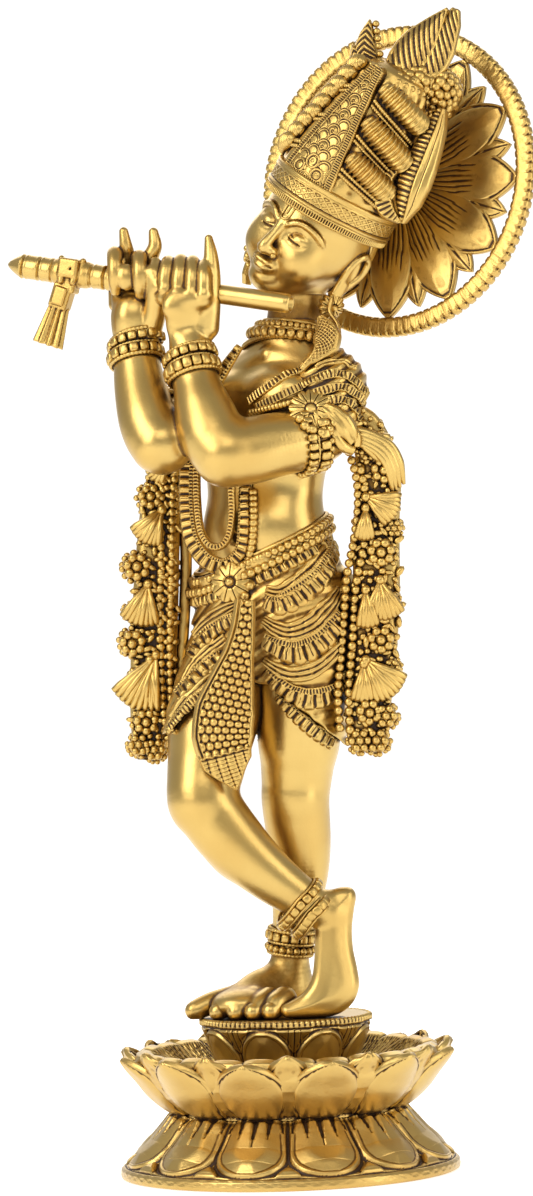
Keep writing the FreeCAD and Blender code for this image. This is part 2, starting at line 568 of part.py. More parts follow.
node("flute_tassel", cut("flute_tassel", fuse("tassel_cast", blk, skirt), collar_f, flute_bar))

# ---------------------------------------------------------------- trims worn by the figure
belt_n = V(-0.27, -0.385, 1.0).normalize()
belt_c = V(0.0, 0.0, 242.0)
belt_raw = tube("belt_raw", [(belt_c - belt_n * 3.6, 31.5, 23.8), (belt_c, 32.0, 24.2),
                             (belt_c + belt_n * 3.6, 30.0, 22.4)], flat=True, hint=V(1, 0, 0))
belt = cut("waist_belt", belt_raw, torso, nodes["dhoti"])
node("waist_belt", belt)
flower_raw = cylinder("flower_disc", P(-14.6, 15.5, 230.2), 8.2, 10.6, along(P(-0.5, 0.86, 0)))
node("belt_flower", cut("belt_flower", flower_raw, nodes["dhoti"], torso, belt_raw))
sash_raw = tube("sash_raw", [(P(-14.5, 22.5, 224), 4.0, 4.0), (P(-15.0, 25.0, 206), 6.5, 4.2),
                             (P(-15.5, 28.5, 185), 10.0, 4.4), (P(-15.0, 30.5, 166), 12.5, 4.4),
                             (P(-11.5, 30.5, 154), 6.0, 3.6), (P(-9.5, 30.5, 147.5), 2.4, 2.4)],
                flat=True, hint=P(0.95, 0.3, 0))
node("front_sash", cut("front_sash", sash_raw, nodes["dhoti"], nodes["right_leg"], nodes["left_leg"],
                       flower_raw, belt_raw))

collar_raw = doc.addObject("Part::Torus", "collar_raw")
bind(collar_raw, "Radius1", dim("collar_ring_radius", 13.0))
bind(collar_raw, "Radius2", dim("collar_ring_thick", 4.2))
place(collar_raw, V(11.2, 2.2, 327.5), FreeCAD.Rotation(V(1, 0.3, 0), 14.0))
node("collar_necklace", cut("collar_necklace", collar_raw, torso))


def chain(name, pts, a, b, outs):
    """A flat strand: ellipses square to a path of points, wide side across outs."""
    rings = []
    n = len(pts)
    for i, p in enumerate(pts):
        d = pts[min(i + 1, n - 1)] - pts[max(i - 1, 0)]
        key = "%s_%s" % (name, "abcdefghijklmnop"[i])
        o = doc.addObject("Part::Ellipse", key)
        bind(o, "MajorRadius", dim(key + "_major", a))
        bind(o, "MinorRadius", dim(key + "_minor", b))
        cross = V(d).cross(V(outs[i]))
        place(o, p, FreeCAD.Rotation(cross, V(0, 0, 0), V(d), "ZXY"))
        rings.append(o)
    loft = doc.addObject("Part::Loft", name)
    loft.Sections = rings
    loft.Solid = True
    loft.Ruled = False
    return loft


front = V(0, -1, 0)
nl = [V(-9.0, -19.6, 300), V(-14.0, -20.4, 284), V(-15.6, -19.6, 268), V(-14.0, -20.6, 254),
      V(-8.5, -22.4, 243.5), V(-1.0, -23.6, 240.2), V(6.5, -22.8, 245.0), V(11.5, -20.6, 255),
      V(14.0, -18.9, 270), V(14.5, -19.8, 286), V(12.5, -19.4, 300)]
outs = [V(-0.35, -1, 0), V(-0.45, -1, 0), V(-0.5, -1, 0), V(-0.45, -1, 0), V(-0.25, -1, 0),
        V(0, -1, 0), V(0.2, -1, 0), V(0.4, -1, 0), V(0.45, -1, 0), V(0.4, -1, 0), V(0.35, -1, 0)]
neck_raw = chain("necklace_raw", nl, 4.6, 2.6, outs)
node("long_necklace", neck_raw)      # brazed into the chest, so it overlaps the trunk

shawl_raw = fuse("shawl_cast",
                 ball("shawl_shoulder", P(28.0, 19.0, 305.5), 17.2),
                 ellipsoid("shawl_fan", P(33.5, 27.0, 288.5), 8.0, 5.5, 9.0,
                           FreeCAD.Rotation(V(0, 0, 1), 38)))
node("shoulder_shawl", cut("shoulder_shawl", shawl_raw, upper_l, ball_l, torso))


def band_on(name, centre, direction, r, width, *cutters):
    d = V(direction).normalize()
    raw = cylinder(name + "_raw", V(centre) - d * (width / 2.0), r, width, along(d))
    return node(name, cut(name, raw, *cutters))


band_on("left_bracelet", P(-23.6, 23.4, 316.0), P(-1.9, -5.0, 12.0), 11.2, 9.0, fore_l)
band_on("right_bracelet", P(-48.0, 9.6, 319.5), P(-1.6, -5.0, 15.5), 11.0, 9.5, fore_r)
band_on("left_armlet", P(12.0, 28.9, 293.3), P(-12.0, 4.2, -6.8), 14.8, 7.0, upper_l, torso)
band_on("right_armlet", P(-30.5, -2.6, 294.2), P(-5.5, 15.8, -6.3), 14.4, 7.0, upper_r, torso)
band_on("left_anklet", P(3.2, -7.6, 89.5), P(3.0, 1.6, 19.5), 10.0, 7.0, thigh_l)
band_on("right_anklet", P(9.6, 18.8, 105.3), P(10.0, -0.5, -8.6), 10.6, 8.0, shin_r)

lg = [(P(34.0, 23.5, 292.5), 7.0, 5.0), (P(41.5, 22, 284.5), 10.0, 5.6), (P(43.0, 21, 268), 11.2, 6.4),
      (P(41.6, 20, 250), 11.6, 6.6), (P(40.5, 20, 221), 11.8, 6.6), (P(37.8, 20, 192), 11.2, 6.4),
      (P(34.6, 20, 171), 9.6, 5.6), (P(33.4, 20, 162), 6.0, 4.0)]
lg_raw = tube("left_garland_raw", lg, flat=True, hint=P(1, 0.1, 0))
node("left_garland", cut("left_garland", lg_raw, ball_l, upper_l, shawl_raw, nodes["dhoti"], belt_raw))
rg = [(P(-33.5, -13.5, 291.5), 6.0, 5.0), (P(-38.0, -10.5, 279), 8.6, 5.4), (P(-41.6, -8.5, 263), 10.2, 6.2),
      (P(-43.6, -8, 244), 11.4, 6.6), (P(-45.2, -8, 224), 12.0, 6.6), (P(-47.2, -8, 195), 11.8, 6.6),
      (P(-49.0, -8, 171), 10.2, 5.8), (P(-49.4, -8, 159), 6.0, 4.0)]
rg_raw = tube("right_garland_raw", rg, flat=True, hint=P(1, 0.1, 0))
node("right_garland", cut("right_garland", rg_raw, nodes["right_arm"], nodes["dhoti"], belt_raw, torso,
                          nodes["right_armlet"]))

drop_l = ellipsoid("drop_left", H(22.8, -1.0, -17.5), 4.4, 4.6, 6.6, HEAD_ROT)
tail_l = tube("drop_left_tail", [(H(22.0, 0.0, -21.0), 2.6), (H(15.5, 3.0, -31.0), 2.4),
                                 (H(9.0, 5.0, -38.0), 2.0)])
node("left_earring", cut("left_earring", fuse("drop_left_cast", drop_l, tail_l), head, collar_raw,
                         torso, shawl_raw))
drop_r = ellipsoid("drop_right", H(-22.8, -3.0, -15.5), 4.0, 4.2, 5.2, HEAD_ROT)
node("right_earring", cut("right_earring", drop_r, head))

# ---------------------------------------------------------------- write
doc.recompute()
bad = [o.Name for o in doc.Objects if "Invalid" in o.State or "Error" in o.State]
if bad:
    raise SystemExit("objects in error: %s" % bad)
for label, obj in nodes.items():
    s = obj.Shape
    if s.isNull() or not s.isValid():
        raise SystemExit("%s has no valid shape" % label)
os.makedirs("parts", exist_ok=True)
for label, obj in nodes.items():
    s = obj.Shape
    b = s.BoundBox
    obj.Shape.exportStep("parts/%s.step" % label)
    print("%-20s solids %d  volume %9.1f  box %7.1f %7.1f %7.1f  %7.1f %7.1f %7.1f" % (
        label, len(s.Solids), s.Volume, b.XMin, b.YMin, b.ZMin, b.XMax, b.YMax, b.ZMax))
print("nodes", len(nodes), "total volume", sum(o.Shape.Volume for o in nodes.values()))
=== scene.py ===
import math

import bpy
import numpy as np
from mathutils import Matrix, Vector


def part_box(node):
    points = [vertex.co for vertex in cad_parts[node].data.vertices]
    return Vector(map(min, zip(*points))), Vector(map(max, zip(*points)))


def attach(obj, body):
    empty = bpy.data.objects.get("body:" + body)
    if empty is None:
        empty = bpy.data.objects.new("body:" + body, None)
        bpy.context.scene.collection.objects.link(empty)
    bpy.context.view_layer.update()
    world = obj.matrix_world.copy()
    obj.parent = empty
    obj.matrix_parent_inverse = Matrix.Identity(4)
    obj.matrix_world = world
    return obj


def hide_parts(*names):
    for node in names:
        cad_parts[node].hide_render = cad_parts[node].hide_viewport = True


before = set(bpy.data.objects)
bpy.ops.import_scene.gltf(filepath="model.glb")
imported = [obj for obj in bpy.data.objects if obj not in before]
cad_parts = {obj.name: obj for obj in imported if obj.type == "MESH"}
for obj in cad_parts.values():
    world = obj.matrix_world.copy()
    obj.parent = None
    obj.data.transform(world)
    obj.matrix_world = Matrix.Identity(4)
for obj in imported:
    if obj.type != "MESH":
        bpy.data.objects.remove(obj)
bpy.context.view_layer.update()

import openvdb as vdb
from mathutils import Matrix, Vector

F32 = np.float32

# ------------------------------------------------------------------ frames
# Everything below is worked in millimetres in the row frame and written out in metres.
# P() takes the same turned working frame that the CAD stations use.
TURN = math.radians(38.0)


def P(u, w, z):
    return np.array([u * math.cos(TURN) + w * math.sin(TURN),
                     u * math.sin(TURN) - w * math.cos(TURN), z], float)


def unit(v):
    v = np.asarray(v, float)
    return v / max(1e-12, float(np.linalg.norm(v)))


def mid(node):
    lo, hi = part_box(node)
    return (np.array(lo) + np.array(hi)) * 500.0


HEAD = P(20.8, 6.0, 364.0)
FACE = unit(P(-0.54, 0.832, 0.125))
UP = unit(P(0.51, 0.205, 0.835))
SIDE = unit(np.cross(UP, FACE))
UP = unit(np.cross(FACE, SIDE))
HM = np.stack([SIDE, FACE, UP], 1)          # columns: side, face, up


def H(a, b, c):
    return HEAD + SIDE * a + FACE * b + UP * c


E0, E1 = P(11.6, 32.0, 336.0), P(-98.5, -9.0, 358.0)
FL = unit(E1 - E0)
FLEN = 119.4


# ------------------------------------------------------------------ meshes
class Mesh:
    """Gathers vertices and faces, in millimetres."""

    def __init__(self):
        self.v, self.f, self.n = [], [], 0

    def add(self, v, f):
        v = np.asarray(v, float).reshape(-1, 3)
        self.v.append(v)
        for part in f if isinstance(f, (list, tuple)) else [f]:
            part = np.asarray(part, np.int64)
            if part.size:
                self.f.append(part + self.n)
        self.n += len(v)

    def piece(self, name, mat, body="statue", nodes=(), smooth=True):
        v = np.concatenate(self.v)
        return make_piece(name, v, self.f, mat, body, nodes, smooth)


ALL = []


def make_piece(name, v, faces, mat, body="statue", nodes=(), smooth=True):
    me = bpy.data.meshes.new(name)
    me.vertices.add(len(v))
    me.vertices.foreach_set("co", (np.asarray(v) * 0.001).astype(F32).ravel())
    loops = np.concatenate([f.ravel() for f in faces])
    totals = np.concatenate([np.full(len(f), f.shape[1], np.int32) for f in faces])
    starts = np.concatenate([[0], np.cumsum(totals)[:-1]]).astype(np.int32)
    me.loops.add(len(loops))
    me.loops.foreach_set("vertex_index", loops.astype(np.int32))
    me.polygons.add(len(totals))
    me.polygons.foreach_set("loop_start", starts)
    me.polygons.foreach_set("loop_total", totals)
    me.polygons.foreach_set("use_smooth", np.full(len(totals), smooth))
    me.update(calc_edges=True)
    me.validate()
    ob = bpy.data.objects.new(name, me)
    bpy.context.scene.collection.objects.link(ob)
    me.materials.append(mat)
    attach(ob, body)
    if nodes:
        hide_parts(*nodes)
    ALL.append(ob)
    return ob


def frame_of(t, hint=(0, 0, 1)):
    """Axes (x, y, t): x as near hint as it can be."""
    t = unit(t)
    h = np.asarray(hint, float)
    x = h - t * h.dot(t)
    if np.linalg.norm(x) < 1e-6:
        h = np.array([1.0, 0.2, 0.1])
        x = h - t * h.dot(t)
    x = unit(x)
    return x, np.cross(t, x), t


_ball = {}


def ball_template(nu, nv):
    if (nu, nv) not in _ball:
        v = [(0, 0, 1.0)]
        for j in range(1, nv):
            a = math.pi * j / nv
            for i in range(nu):
                b = 2 * math.pi * i / nu
                v.append((math.sin(a) * math.cos(b), math.sin(a) * math.sin(b), math.cos(a)))
        v.append((0, 0, -1.0))
        tri, quad = [], []
        for i in range(nu):
            k = (i + 1) % nu
            tri.append((0, 1 + i, 1 + k))
            base = 1 + (nv - 2) * nu
            tri.append((len(v) - 1, base + k, base + i))
            for j in range(nv - 2):
                a = 1 + j * nu
                quad.append((a + i, a + nu + i, a + nu + k, a + k))
        _ball[(nu, nv)] = (np.array(v), np.array(tri), np.array(quad))
    return _ball[(nu, nv)]


def beads(mesh, centres, radii, axes=None, nu=10, nv=7):
    """Balls or, with axes (n,3,3 columns already scaled), ellipsoids."""
    centres = np.asarray(centres, float).reshape(-1, 3)
    n = len(centres)
    if not n:
        return
    tv, tt, tq = ball_template(nu, nv)
    if axes is None:
        v = centres[:, None, :] + tv[None] * np.broadcast_to(np.asarray(radii, float), (n,))[:, None, None]
    else:
        v = centres[:, None, :] + np.einsum("nij,kj->nki", np.asarray(axes, float), tv)
    m = len(tv)
    off = (np.arange(n) * m)[:, None, None]
    mesh.add(v.reshape(-1, 3), [(tt[None] + off).reshape(-1, 3), (tq[None] + off).reshape(-1, 4)])


def sweep(mesh, path, radius, hint=(0, 0, 1), nu=12, flat=1.0, close=False, cap=True, hints=None, shape=None):
    """A closed tube along path; radius may vary along it; flat squashes its second axis."""
    path = np.asarray(path, float)
    n = len(path)
    radius = np.broadcast_to(np.asarray(radius, float), (n,))
    flat = np.broadcast_to(np.asarray(flat, float), (n,))
    if close:
        tang = np.roll(path, -1, 0) - np.roll(path, 1, 0)
    else:
        tang = np.gradient(path, axis=0)
    ang = np.arange(nu) * 2 * math.pi / nu
    ring = shape if shape is not None else np.stack([np.cos(ang), np.sin(ang)], 1)
    nu = len(ring)
    v = np.zeros((n, nu, 3))
    last = None
    for i in range(n):
        h = hints[i] if hints is not None else (hint if last is None else last)
        x, y, t = frame_of(tang[i], h)
        last = x if hints is None else None
        v[i] = path[i] + radius[i] * (ring[:, :1] * x + flat[i] * ring[:, 1:] * y)
    i = np.arange(n if close else n - 1)[:, None]
    j = np.arange(nu)[None]
    a = i * nu + j
    b = i * nu + (j + 1) % nu
    c = ((i + 1) % n) * nu + (j + 1) % nu
    d = ((i + 1) % n) * nu + j
    quads = np.stack([a, b, c, d], -1).reshape(-1, 4)
    verts = v.reshape(-1, 3)
    faces = [quads]
    if not close and cap:
        verts = np.concatenate([verts, [path[0], path[-1]]])
        e = n * nu
        tri = [(e, (k + 1) % nu, k) for k in range(nu)]
        tri += [(e + 1, (n - 1) * nu + k, (n - 1) * nu + (k + 1) % nu) for k in range(nu)]
        faces.append(np.array(tri))
    mesh.add(verts, faces)


def smooth_path(pts, n, close=False):
    """A Catmull-Rom curve through pts, n points evenly spaced by length."""
    p = np.asarray(pts, float)
    if close:
        q = np.concatenate([p[-1:], p, p[:2]])
    else:
        q = np.concatenate([2 * p[:1] - p[1:2], p, 2 * p[-1:] - p[-2:-1]])
    out = []
    for i in range(len(q) - 3):
        t = np.linspace(0, 1, 24, endpoint=False)[:, None]
        a, b, c, d = q[i], q[i + 1], q[i + 2], q[i + 3]
        out.append(0.5 * (2 * b + (c - a) * t + (2 * a - 5 * b + 4 * c - d) * t ** 2 + (3 * b - a - 3 * c + d) * t ** 3))
    out = np.concatenate(out + ([] if close else [p[-1:]]))
    if close:
        out = np.concatenate([out, out[:1]])
    s = np.concatenate([[0], np.cumsum(np.linalg.norm(np.diff(out, axis=0), axis=1))])
    u = np.linspace(0, s[-1], n + 1)[:-1] if close else np.linspace(0, s[-1], n)
    return np.stack([np.interp(u, s, out[:, k]) for k in range(out.shape[1])], 1)


def length_of(path):
    return float(np.linalg.norm(np.diff(path, axis=0), axis=1).sum())


# ------------------------------------------------------------------ clay: a distance field
class Clay:
    def __init__(self, lo, hi, vox):
        self.v = float(vox)
        self.lo = np.asarray(lo, float) - 4 * vox
        self.n = np.ceil((np.asarray(hi, float) + 4 * vox - self.lo) / vox).astype(int) + 1
        self.d = np.full(tuple(self.n), 6.0, F32)

    def window(self, lo, hi, pad):
        a = np.clip(np.floor((np.asarray(lo) - pad - self.lo) / self.v).astype(int), 0, self.n)
        b = np.clip(np.ceil((np.asarray(hi) + pad - self.lo) / self.v).astype(int) + 1, 0, self.n)
        if np.any(b - a < 1):
            return None, None
        s = tuple(slice(i, j) for i, j in zip(a, b))
        g = [(self.lo[k] + np.arange(a[k], b[k]) * self.v).astype(F32) for k in range(3)]
        return s, (g[0][:, None, None], g[1][None, :, None], g[2][None, None, :])

    def join(self, fn, lo, hi, k=0.0):
        s, g = self.window(lo, hi, k + 2.5 * self.v + 1.0)
        if s is None:
            return self
        a, b = self.d[s], fn(*g).astype(F32)
        if k <= 0:
            self.d[s] = np.minimum(a, b)
        else:
            h = np.maximum(k - np.abs(a - b), 0) / k
            self.d[s] = np.minimum(a, b) - h * h * (k * 0.25)
        return self

    def carve(self, fn, lo, hi, k=0.0):
        s, g = self.window(lo, hi, k + 2.5 * self.v + 1.0)
        if s is None:
            return self
        a, b = self.d[s], -fn(*g).astype(F32)
        if k <= 0:
            self.d[s] = np.maximum(a, b)
        else:
            h = np.maximum(k - np.abs(a - b), 0) / k
            self.d[s] = np.maximum(a, b) + h * h * (k * 0.25)
        return self

    # primitives
    def cone(self, a, b, r1, r2, k=0.0, out=False):
        a, b = np.asarray(a, float), np.asarray(b, float)
        ab = b - a
        L2 = float(ab.dot(ab))

        def fn(X, Y, Z):
            t = ((X - a[0]) * ab[0] + (Y - a[1]) * ab[1] + (Z - a[2]) * ab[2]) / L2
            t = np.clip(t, 0, 1)
            return np.sqrt((X - a[0] - t * ab[0]) ** 2 + (Y - a[1] - t * ab[1]) ** 2 +
                           (Z - a[2] - t * ab[2]) ** 2) - (r1 + (r2 - r1) * t)
        r = max(r1, r2)
        lo, hi = np.minimum(a, b) - r, np.maximum(a, b) + r
        return self.carve(fn, lo, hi, k) if out else self.join(fn, lo, hi, k)

    def limb(self, pts, radii, k=1.5, n=None, out=False):
        """A round limb of smoothly changing radius through pts, joined on as one shape."""
        rows = np.concatenate([np.asarray(pts, float), np.asarray(radii, float)[:, None]], 1)
        if len(rows) > 2:
            rows = smooth_path(rows, n or 7 * (len(rows) - 1) + 1)
        rm = rows[:, 3].max()
        lo, hi = rows[:, :3].min(0) - rm, rows[:, :3].max(0) + rm
        s, g = self.window(lo, hi, k + 2.5 * self.v + 1.0)
        if s is None:
            return self
        shape = tuple(x.stop - x.start for x in s)
        best = np.full(shape, 9.0, F32)
        org = np.array([x.start for x in s])
        for i in range(len(rows) - 1):
            a, b, r1, r2 = rows[i, :3], rows[i + 1, :3], rows[i, 3], rows[i + 1, 3]
            ab = b - a
            L2 = max(float(ab.dot(ab)), 1e-9)
            w, q = self.window(np.minimum(a, b) - max(r1, r2), np.maximum(a, b) + max(r1, r2), k + 2.5 * self.v + 1.0)
            if w is None:
                continue
            X, Y, Z = q
            t = np.clip(((X - a[0]) * ab[0] + (Y - a[1]) * ab[1] + (Z - a[2]) * ab[2]) / L2, 0, 1)
            d = np.sqrt((X - a[0] - t * ab[0]) ** 2 + (Y - a[1] - t * ab[1]) ** 2 + (Z - a[2] - t * ab[2]) ** 2) - (r1 + (r2 - r1) * t)
            loc = tuple(slice(x.start - o, x.stop - o) for x, o in zip(w, org))
            best[loc] = np.minimum(best[loc], d)
        a = self.d[s]
        if out:
            best = -best
            self.d[s] = np.maximum(a, best) if k <= 0 else np.maximum(a, best) + np.maximum(k - np.abs(a - best), 0) ** 2 / (4 * k)
        else:
            self.d[s] = np.minimum(a, best) if k <= 0 else np.minimum(a, best) - np.maximum(k - np.abs(a - best), 0) ** 2 / (4 * k)
        return self

    def egg(self, c, r, axes=None, k=0.0, out=False):
        """An ellipsoid: radii r along the columns of axes."""
        c = np.asarray(c, float)
        r = np.asarray(r, float)
        M = np.eye(3) if axes is None else np.asarray(axes, float)

        def fn(X, Y, Z):
            q = [((X - c[0]) * M[0, i] + (Y - c[1]) * M[1, i] + (Z - c[2]) * M[2, i]) for i in range(3)]
            k0 = np.sqrt(sum((q[i] / r[i]) ** 2 for i in range(3)))
            k1 = np.sqrt(sum((q[i] / r[i] ** 2) ** 2 for i in range(3))) + 1e-9
            return k0 * (k0 - 1) / k1
        ext = np.sqrt(((M * r) ** 2).sum(1))
        return self.carve(fn, c - ext, c + ext, k) if out else self.join(fn, c - ext, c + ext, k)

    def slab(self, c, half, axes, rnd=0.5, k=0.0, out=False):
        c, half = np.asarray(c, float), np.asarray(half, float) - rnd
        M = np.asarray(axes, float)

        def fn(X, Y, Z):
            q = [np.abs((X - c[0]) * M[0, i] + (Y - c[1]) * M[1, i] + (Z - c[2]) * M[2, i]) - half[i] for i in range(3)]
            return np.sqrt(sum(np.maximum(x, 0) ** 2 for x in q)) + np.minimum(np.maximum(np.maximum(q[0], q[1]), q[2]), 0) - rnd
        ext = np.sqrt(((M * (half + rnd)) ** 2).sum(1)) * 1.8
        return self.carve(fn, c - ext, c + ext, k) if out else self.join(fn, c - ext, c + ext, k)

    def stack(self, rows, k=0.0):
        """Level ellipses (x, y, z, a, b) joined smoothly from the first z to the last."""
        rows = np.asarray(rows, float)
        zz = np.linspace(rows[0, 2], rows[-1, 2], 400)
        cur = smooth_path(rows, 800)
        tab = np.stack([np.interp(zz, cur[:, 2], cur[:, i]) for i in range(5)], 1)

        def fn(X, Y, Z):
            z = Z[0, 0, :]
            t = np.stack([np.interp(z, zz, tab[:, i]) for i in range(5)], 0).astype(F32)
            x, y = X - t[0][None, None, :], Y - t[1][None, None, :]
            a, b = t[3][None, None, :], t[4][None, None, :]
            k0 = np.sqrt((x / a) ** 2 + (y / b) ** 2)
            k1 = np.sqrt((x / a ** 2) ** 2 + (y / b ** 2) ** 2) + 1e-9
            d = k0 * (k0 - 1) / k1
            return np.maximum(d, np.maximum(rows[0, 2] - Z, Z - rows[-1, 2]))
        m = rows[:, 3].max()
        lo = np.array([rows[:, 0].min() - m, rows[:, 1].min() - rows[:, 4].max(), rows[0, 2]])
        hi = np.array([rows[:, 0].max() + m, rows[:, 1].max() + rows[:, 4].max(), rows[-1, 2]])
        return self.join(fn, lo, hi, k)

    def sample(self, pts):
        q = (np.asarray(pts, float) - self.lo) / self.v
        q = np.clip(q, 0, self.n - 1.001)
        i = np.floor(q).astype(int)
        f = q - i
        out = 0.0
        for dx in (0, 1):
            for dy in (0, 1):
                for dz in (0, 1):
                    w = (f[:, 0] if dx else 1 - f[:, 0]) * (f[:, 1] if dy else 1 - f[:, 1]) * (f[:, 2] if dz else 1 - f[:, 2])
                    out = out + w * self.d[i[:, 0] + dx, i[:, 1] + dy, i[:, 2] + dz]
        return out

    def slope(self, pts, e=None):
        e = e or self.v * 1.2
        p = np.asarray(pts, float)
        g = np.stack([self.sample(p + d) - self.sample(p - d) for d in np.eye(3) * e], 1)
        return g / np.maximum(np.linalg.norm(g, axis=1, keepdims=True), 1e-6)

    def settle(self, pts, off=0.0, steps=7):
        """Moves points along the slope until they stand off the surface by off."""
        p = np.array(pts, float)
        for _ in range(steps):
            p -= self.slope(p) * (self.sample(p) - off)[:, None] * 0.85
        return p

    def mesh(self):
        g = vdb.FloatGrid(3.0)
        g.copyFromArray(np.clip(self.d, -3, 3))
        v, t, q = g.convertToPolygons(0.0, 0.0)
        v = np.asarray(v, float) * self.v + self.lo
        faces = []
        if len(q):
            faces.append(np.asarray(q, np.int64))
        if len(t):
            faces.append(np.asarray(t, np.int64))
        return v, faces


def merge(*clays):
    """One coarse field that holds the nearest of several, for laying trims on."""
    lo = np.min([c.lo for c in clays], 0)
    hi = np.max([c.lo + c.v * (c.n - 1) for c in clays], 0)
    out = Clay(lo, hi, 0.8)
    for c in clays:
        a = c.lo
        b = c.lo + c.v * (c.n - 1)
        i0 = np.clip(np.ceil((a - out.lo) / out.v).astype(int), 0, out.n)
        i1 = np.clip(np.floor((b - out.lo) / out.v).astype(int) + 1, 0, out.n)
        ax = [out.lo[k] + np.arange(i0[k], i1[k]) * out.v for k in range(3)]
        ix = [np.clip(np.round((ax[k] - c.lo[k]) / c.v).astype(int), 0, c.n[k] - 1) for k in range(3)]
        sub = c.d[np.ix_(*ix)]
        s = tuple(slice(i0[k], i1[k]) for k in range(3))
        out.d[s] = np.minimum(out.d[s], sub)
    return out


# ------------------------------------------------------------------ camera, lights, floor
scene = bpy.context.scene
scene.view_settings.view_transform = "Standard"
scene.view_settings.look = "None"

CAM_D, CAM_Z, CAM_U, ROLL = 1900.0, 223.7, -1.76, 2.0
cam_data = bpy.data.cameras.new("photo_camera")
cam = bpy.data.objects.new("photo_camera", cam_data)
scene.collection.objects.link(cam)
cam_data.sensor_fit = "AUTO"
cam_data.sensor_width = 36.0
cam_data.lens = 4871.8 / 1196.0 * 36.0
cam_data.clip_start, cam_data.clip_end = 0.05, 20.0
eye = P(CAM_U, CAM_D, CAM_Z) * 0.001
look = P(CAM_U, 0.0, CAM_Z) * 0.001
fwd = unit(look - eye)
right = unit(np.cross(fwd, (0, 0, 1)))
upv = np.cross(right, fwd)
a = math.radians(ROLL)
r2 = right * math.cos(a) - upv * math.sin(a)
u2 = right * math.sin(a) + upv * math.cos(a)
m = Matrix(((r2[0], u2[0], -fwd[0], eye[0]), (r2[1], u2[1], -fwd[1], eye[1]),
            (r2[2], u2[2], -fwd[2], eye[2]), (0, 0, 0, 1)))
cam.matrix_world = m
scene.camera = cam

EYE = eye * 1000.0


def through(x, y, w=None):
    """The line of sight through frame point (x, y), or its point w in front of the axis."""
    d = fwd * 4871.8 + r2 * (x - 266.5) + u2 * (598.0 - y)
    d = d / d.dot(fwd)
    if w is None:
        return d
    return EYE + d * (CAM_D - w)


world = bpy.data.worlds.new("studio")
scene.world = world
world.use_nodes = True
wn, wl = world.node_tree.nodes, world.node_tree.links
bg = wn["Background"]
w_tc = wn.new("ShaderNodeTexCoord")
w_dot = wn.new("ShaderNodeVectorMath")
w_dot.operation = "DOT_PRODUCT"
w_dot.inputs[1].default_value = tuple(unit(P(0, -1, 0.15)))
wl.new(w_tc.outputs["Generated"], w_dot.inputs[0])
w_map = wn.new("ShaderNodeMapRange")
w_map.interpolation_type = "SMOOTHSTEP"
w_map.inputs["From Min"].default_value = -0.5
w_map.inputs["From Max"].default_value = 0.6
w_map.inputs["To Min"].default_value = 0.40
w_map.inputs["To Max"].default_value = 0.52
wl.new(w_dot.outputs["Value"], w_map.inputs["Value"])
# a bright backdrop straight behind the statue
w_dot2 = wn.new("ShaderNodeVectorMath")
w_dot2.operation = "DOT_PRODUCT"
w_dot2.inputs[1].default_value = tuple(fwd)
wl.new(w_tc.outputs["Generated"], w_dot2.inputs[0])
w_back = wn.new("ShaderNodeMapRange")
w_back.interpolation_type = "SMOOTHSTEP"
w_back.inputs["From Min"].default_value = 0.86
w_back.inputs["From Max"].default_value = 0.975
w_back.inputs["To Min"].default_value = 0.0
w_back.inputs["To Max"].default_value = 0.62
wl.new(w_dot2.outputs["Value"], w_back.inputs["Value"])
w_sum = wn.new("ShaderNodeMath")
w_sum.operation = "ADD"
wl.new(w_map.outputs[0], w_sum.inputs[0])
wl.new(w_back.outputs[0], w_sum.inputs[1])
wl.new(w_sum.outputs[0], bg.inputs["Strength"])
bg.inputs["Color"].default_value = (1.0, 0.99, 0.975, 1)


def area(name, where, aim, size, power, color=(1, 0.97, 0.92)):
    d = bpy.data.lights.new(name, "AREA")
    d.shape = "RECTANGLE"
    d.size, d.size_y = size
    d.energy = power
    d.color = color
    o = bpy.data.objects.new(name, d)
    scene.collection.objects.link(o)
    where, aim = Vector(where), Vector(aim)
    o.location = where
    o.rotation_euler = (aim - where).to_track_quat("-Z", "Y").to_euler()
    return o


aim = P(0, 0, 230) * 0.001
area("key_left", P(-1100, 900, 1000) * 0.001, aim, (0.9, 1.3), 16.5)
area("fill_right", P(1200, 700, 500) * 0.001, aim, (0.7, 1.4), 7.5)
area("front_soft", P(100, 1500, 1300) * 0.001, aim, (1.2, 0.8), 7.5)
area("back_soft", P(0, -1200, 1100) * 0.001, aim, (1.6, 1.0), 8)


def floor_material():
    mat = bpy.data.materials.new("pale_floor")
    mat.use_nodes = True
    b = mat.node_tree.nodes["Principled BSDF"]
    b.inputs["Base Color"].default_value = (0.93, 0.93, 0.92, 1)
    b.inputs["Roughness"].default_value = 0.75
    b.inputs["Emission Color"].default_value = (1, 1, 1, 1)
    b.inputs["Emission Strength"].default_value = 0.62
    return mat


fm = bpy.data.meshes.new("studio_floor")
S = 8.0
fm.from_pydata([(-S, -S, 0), (S, -S, 0), (S, S, 0), (-S, S, 0)], [], [(0, 1, 2, 3)])
floor = bpy.data.objects.new("studio_floor", fm)
floor.location = (0, 0, -0.0002)
scene.collection.objects.link(floor)
fm.materials.append(floor_material())

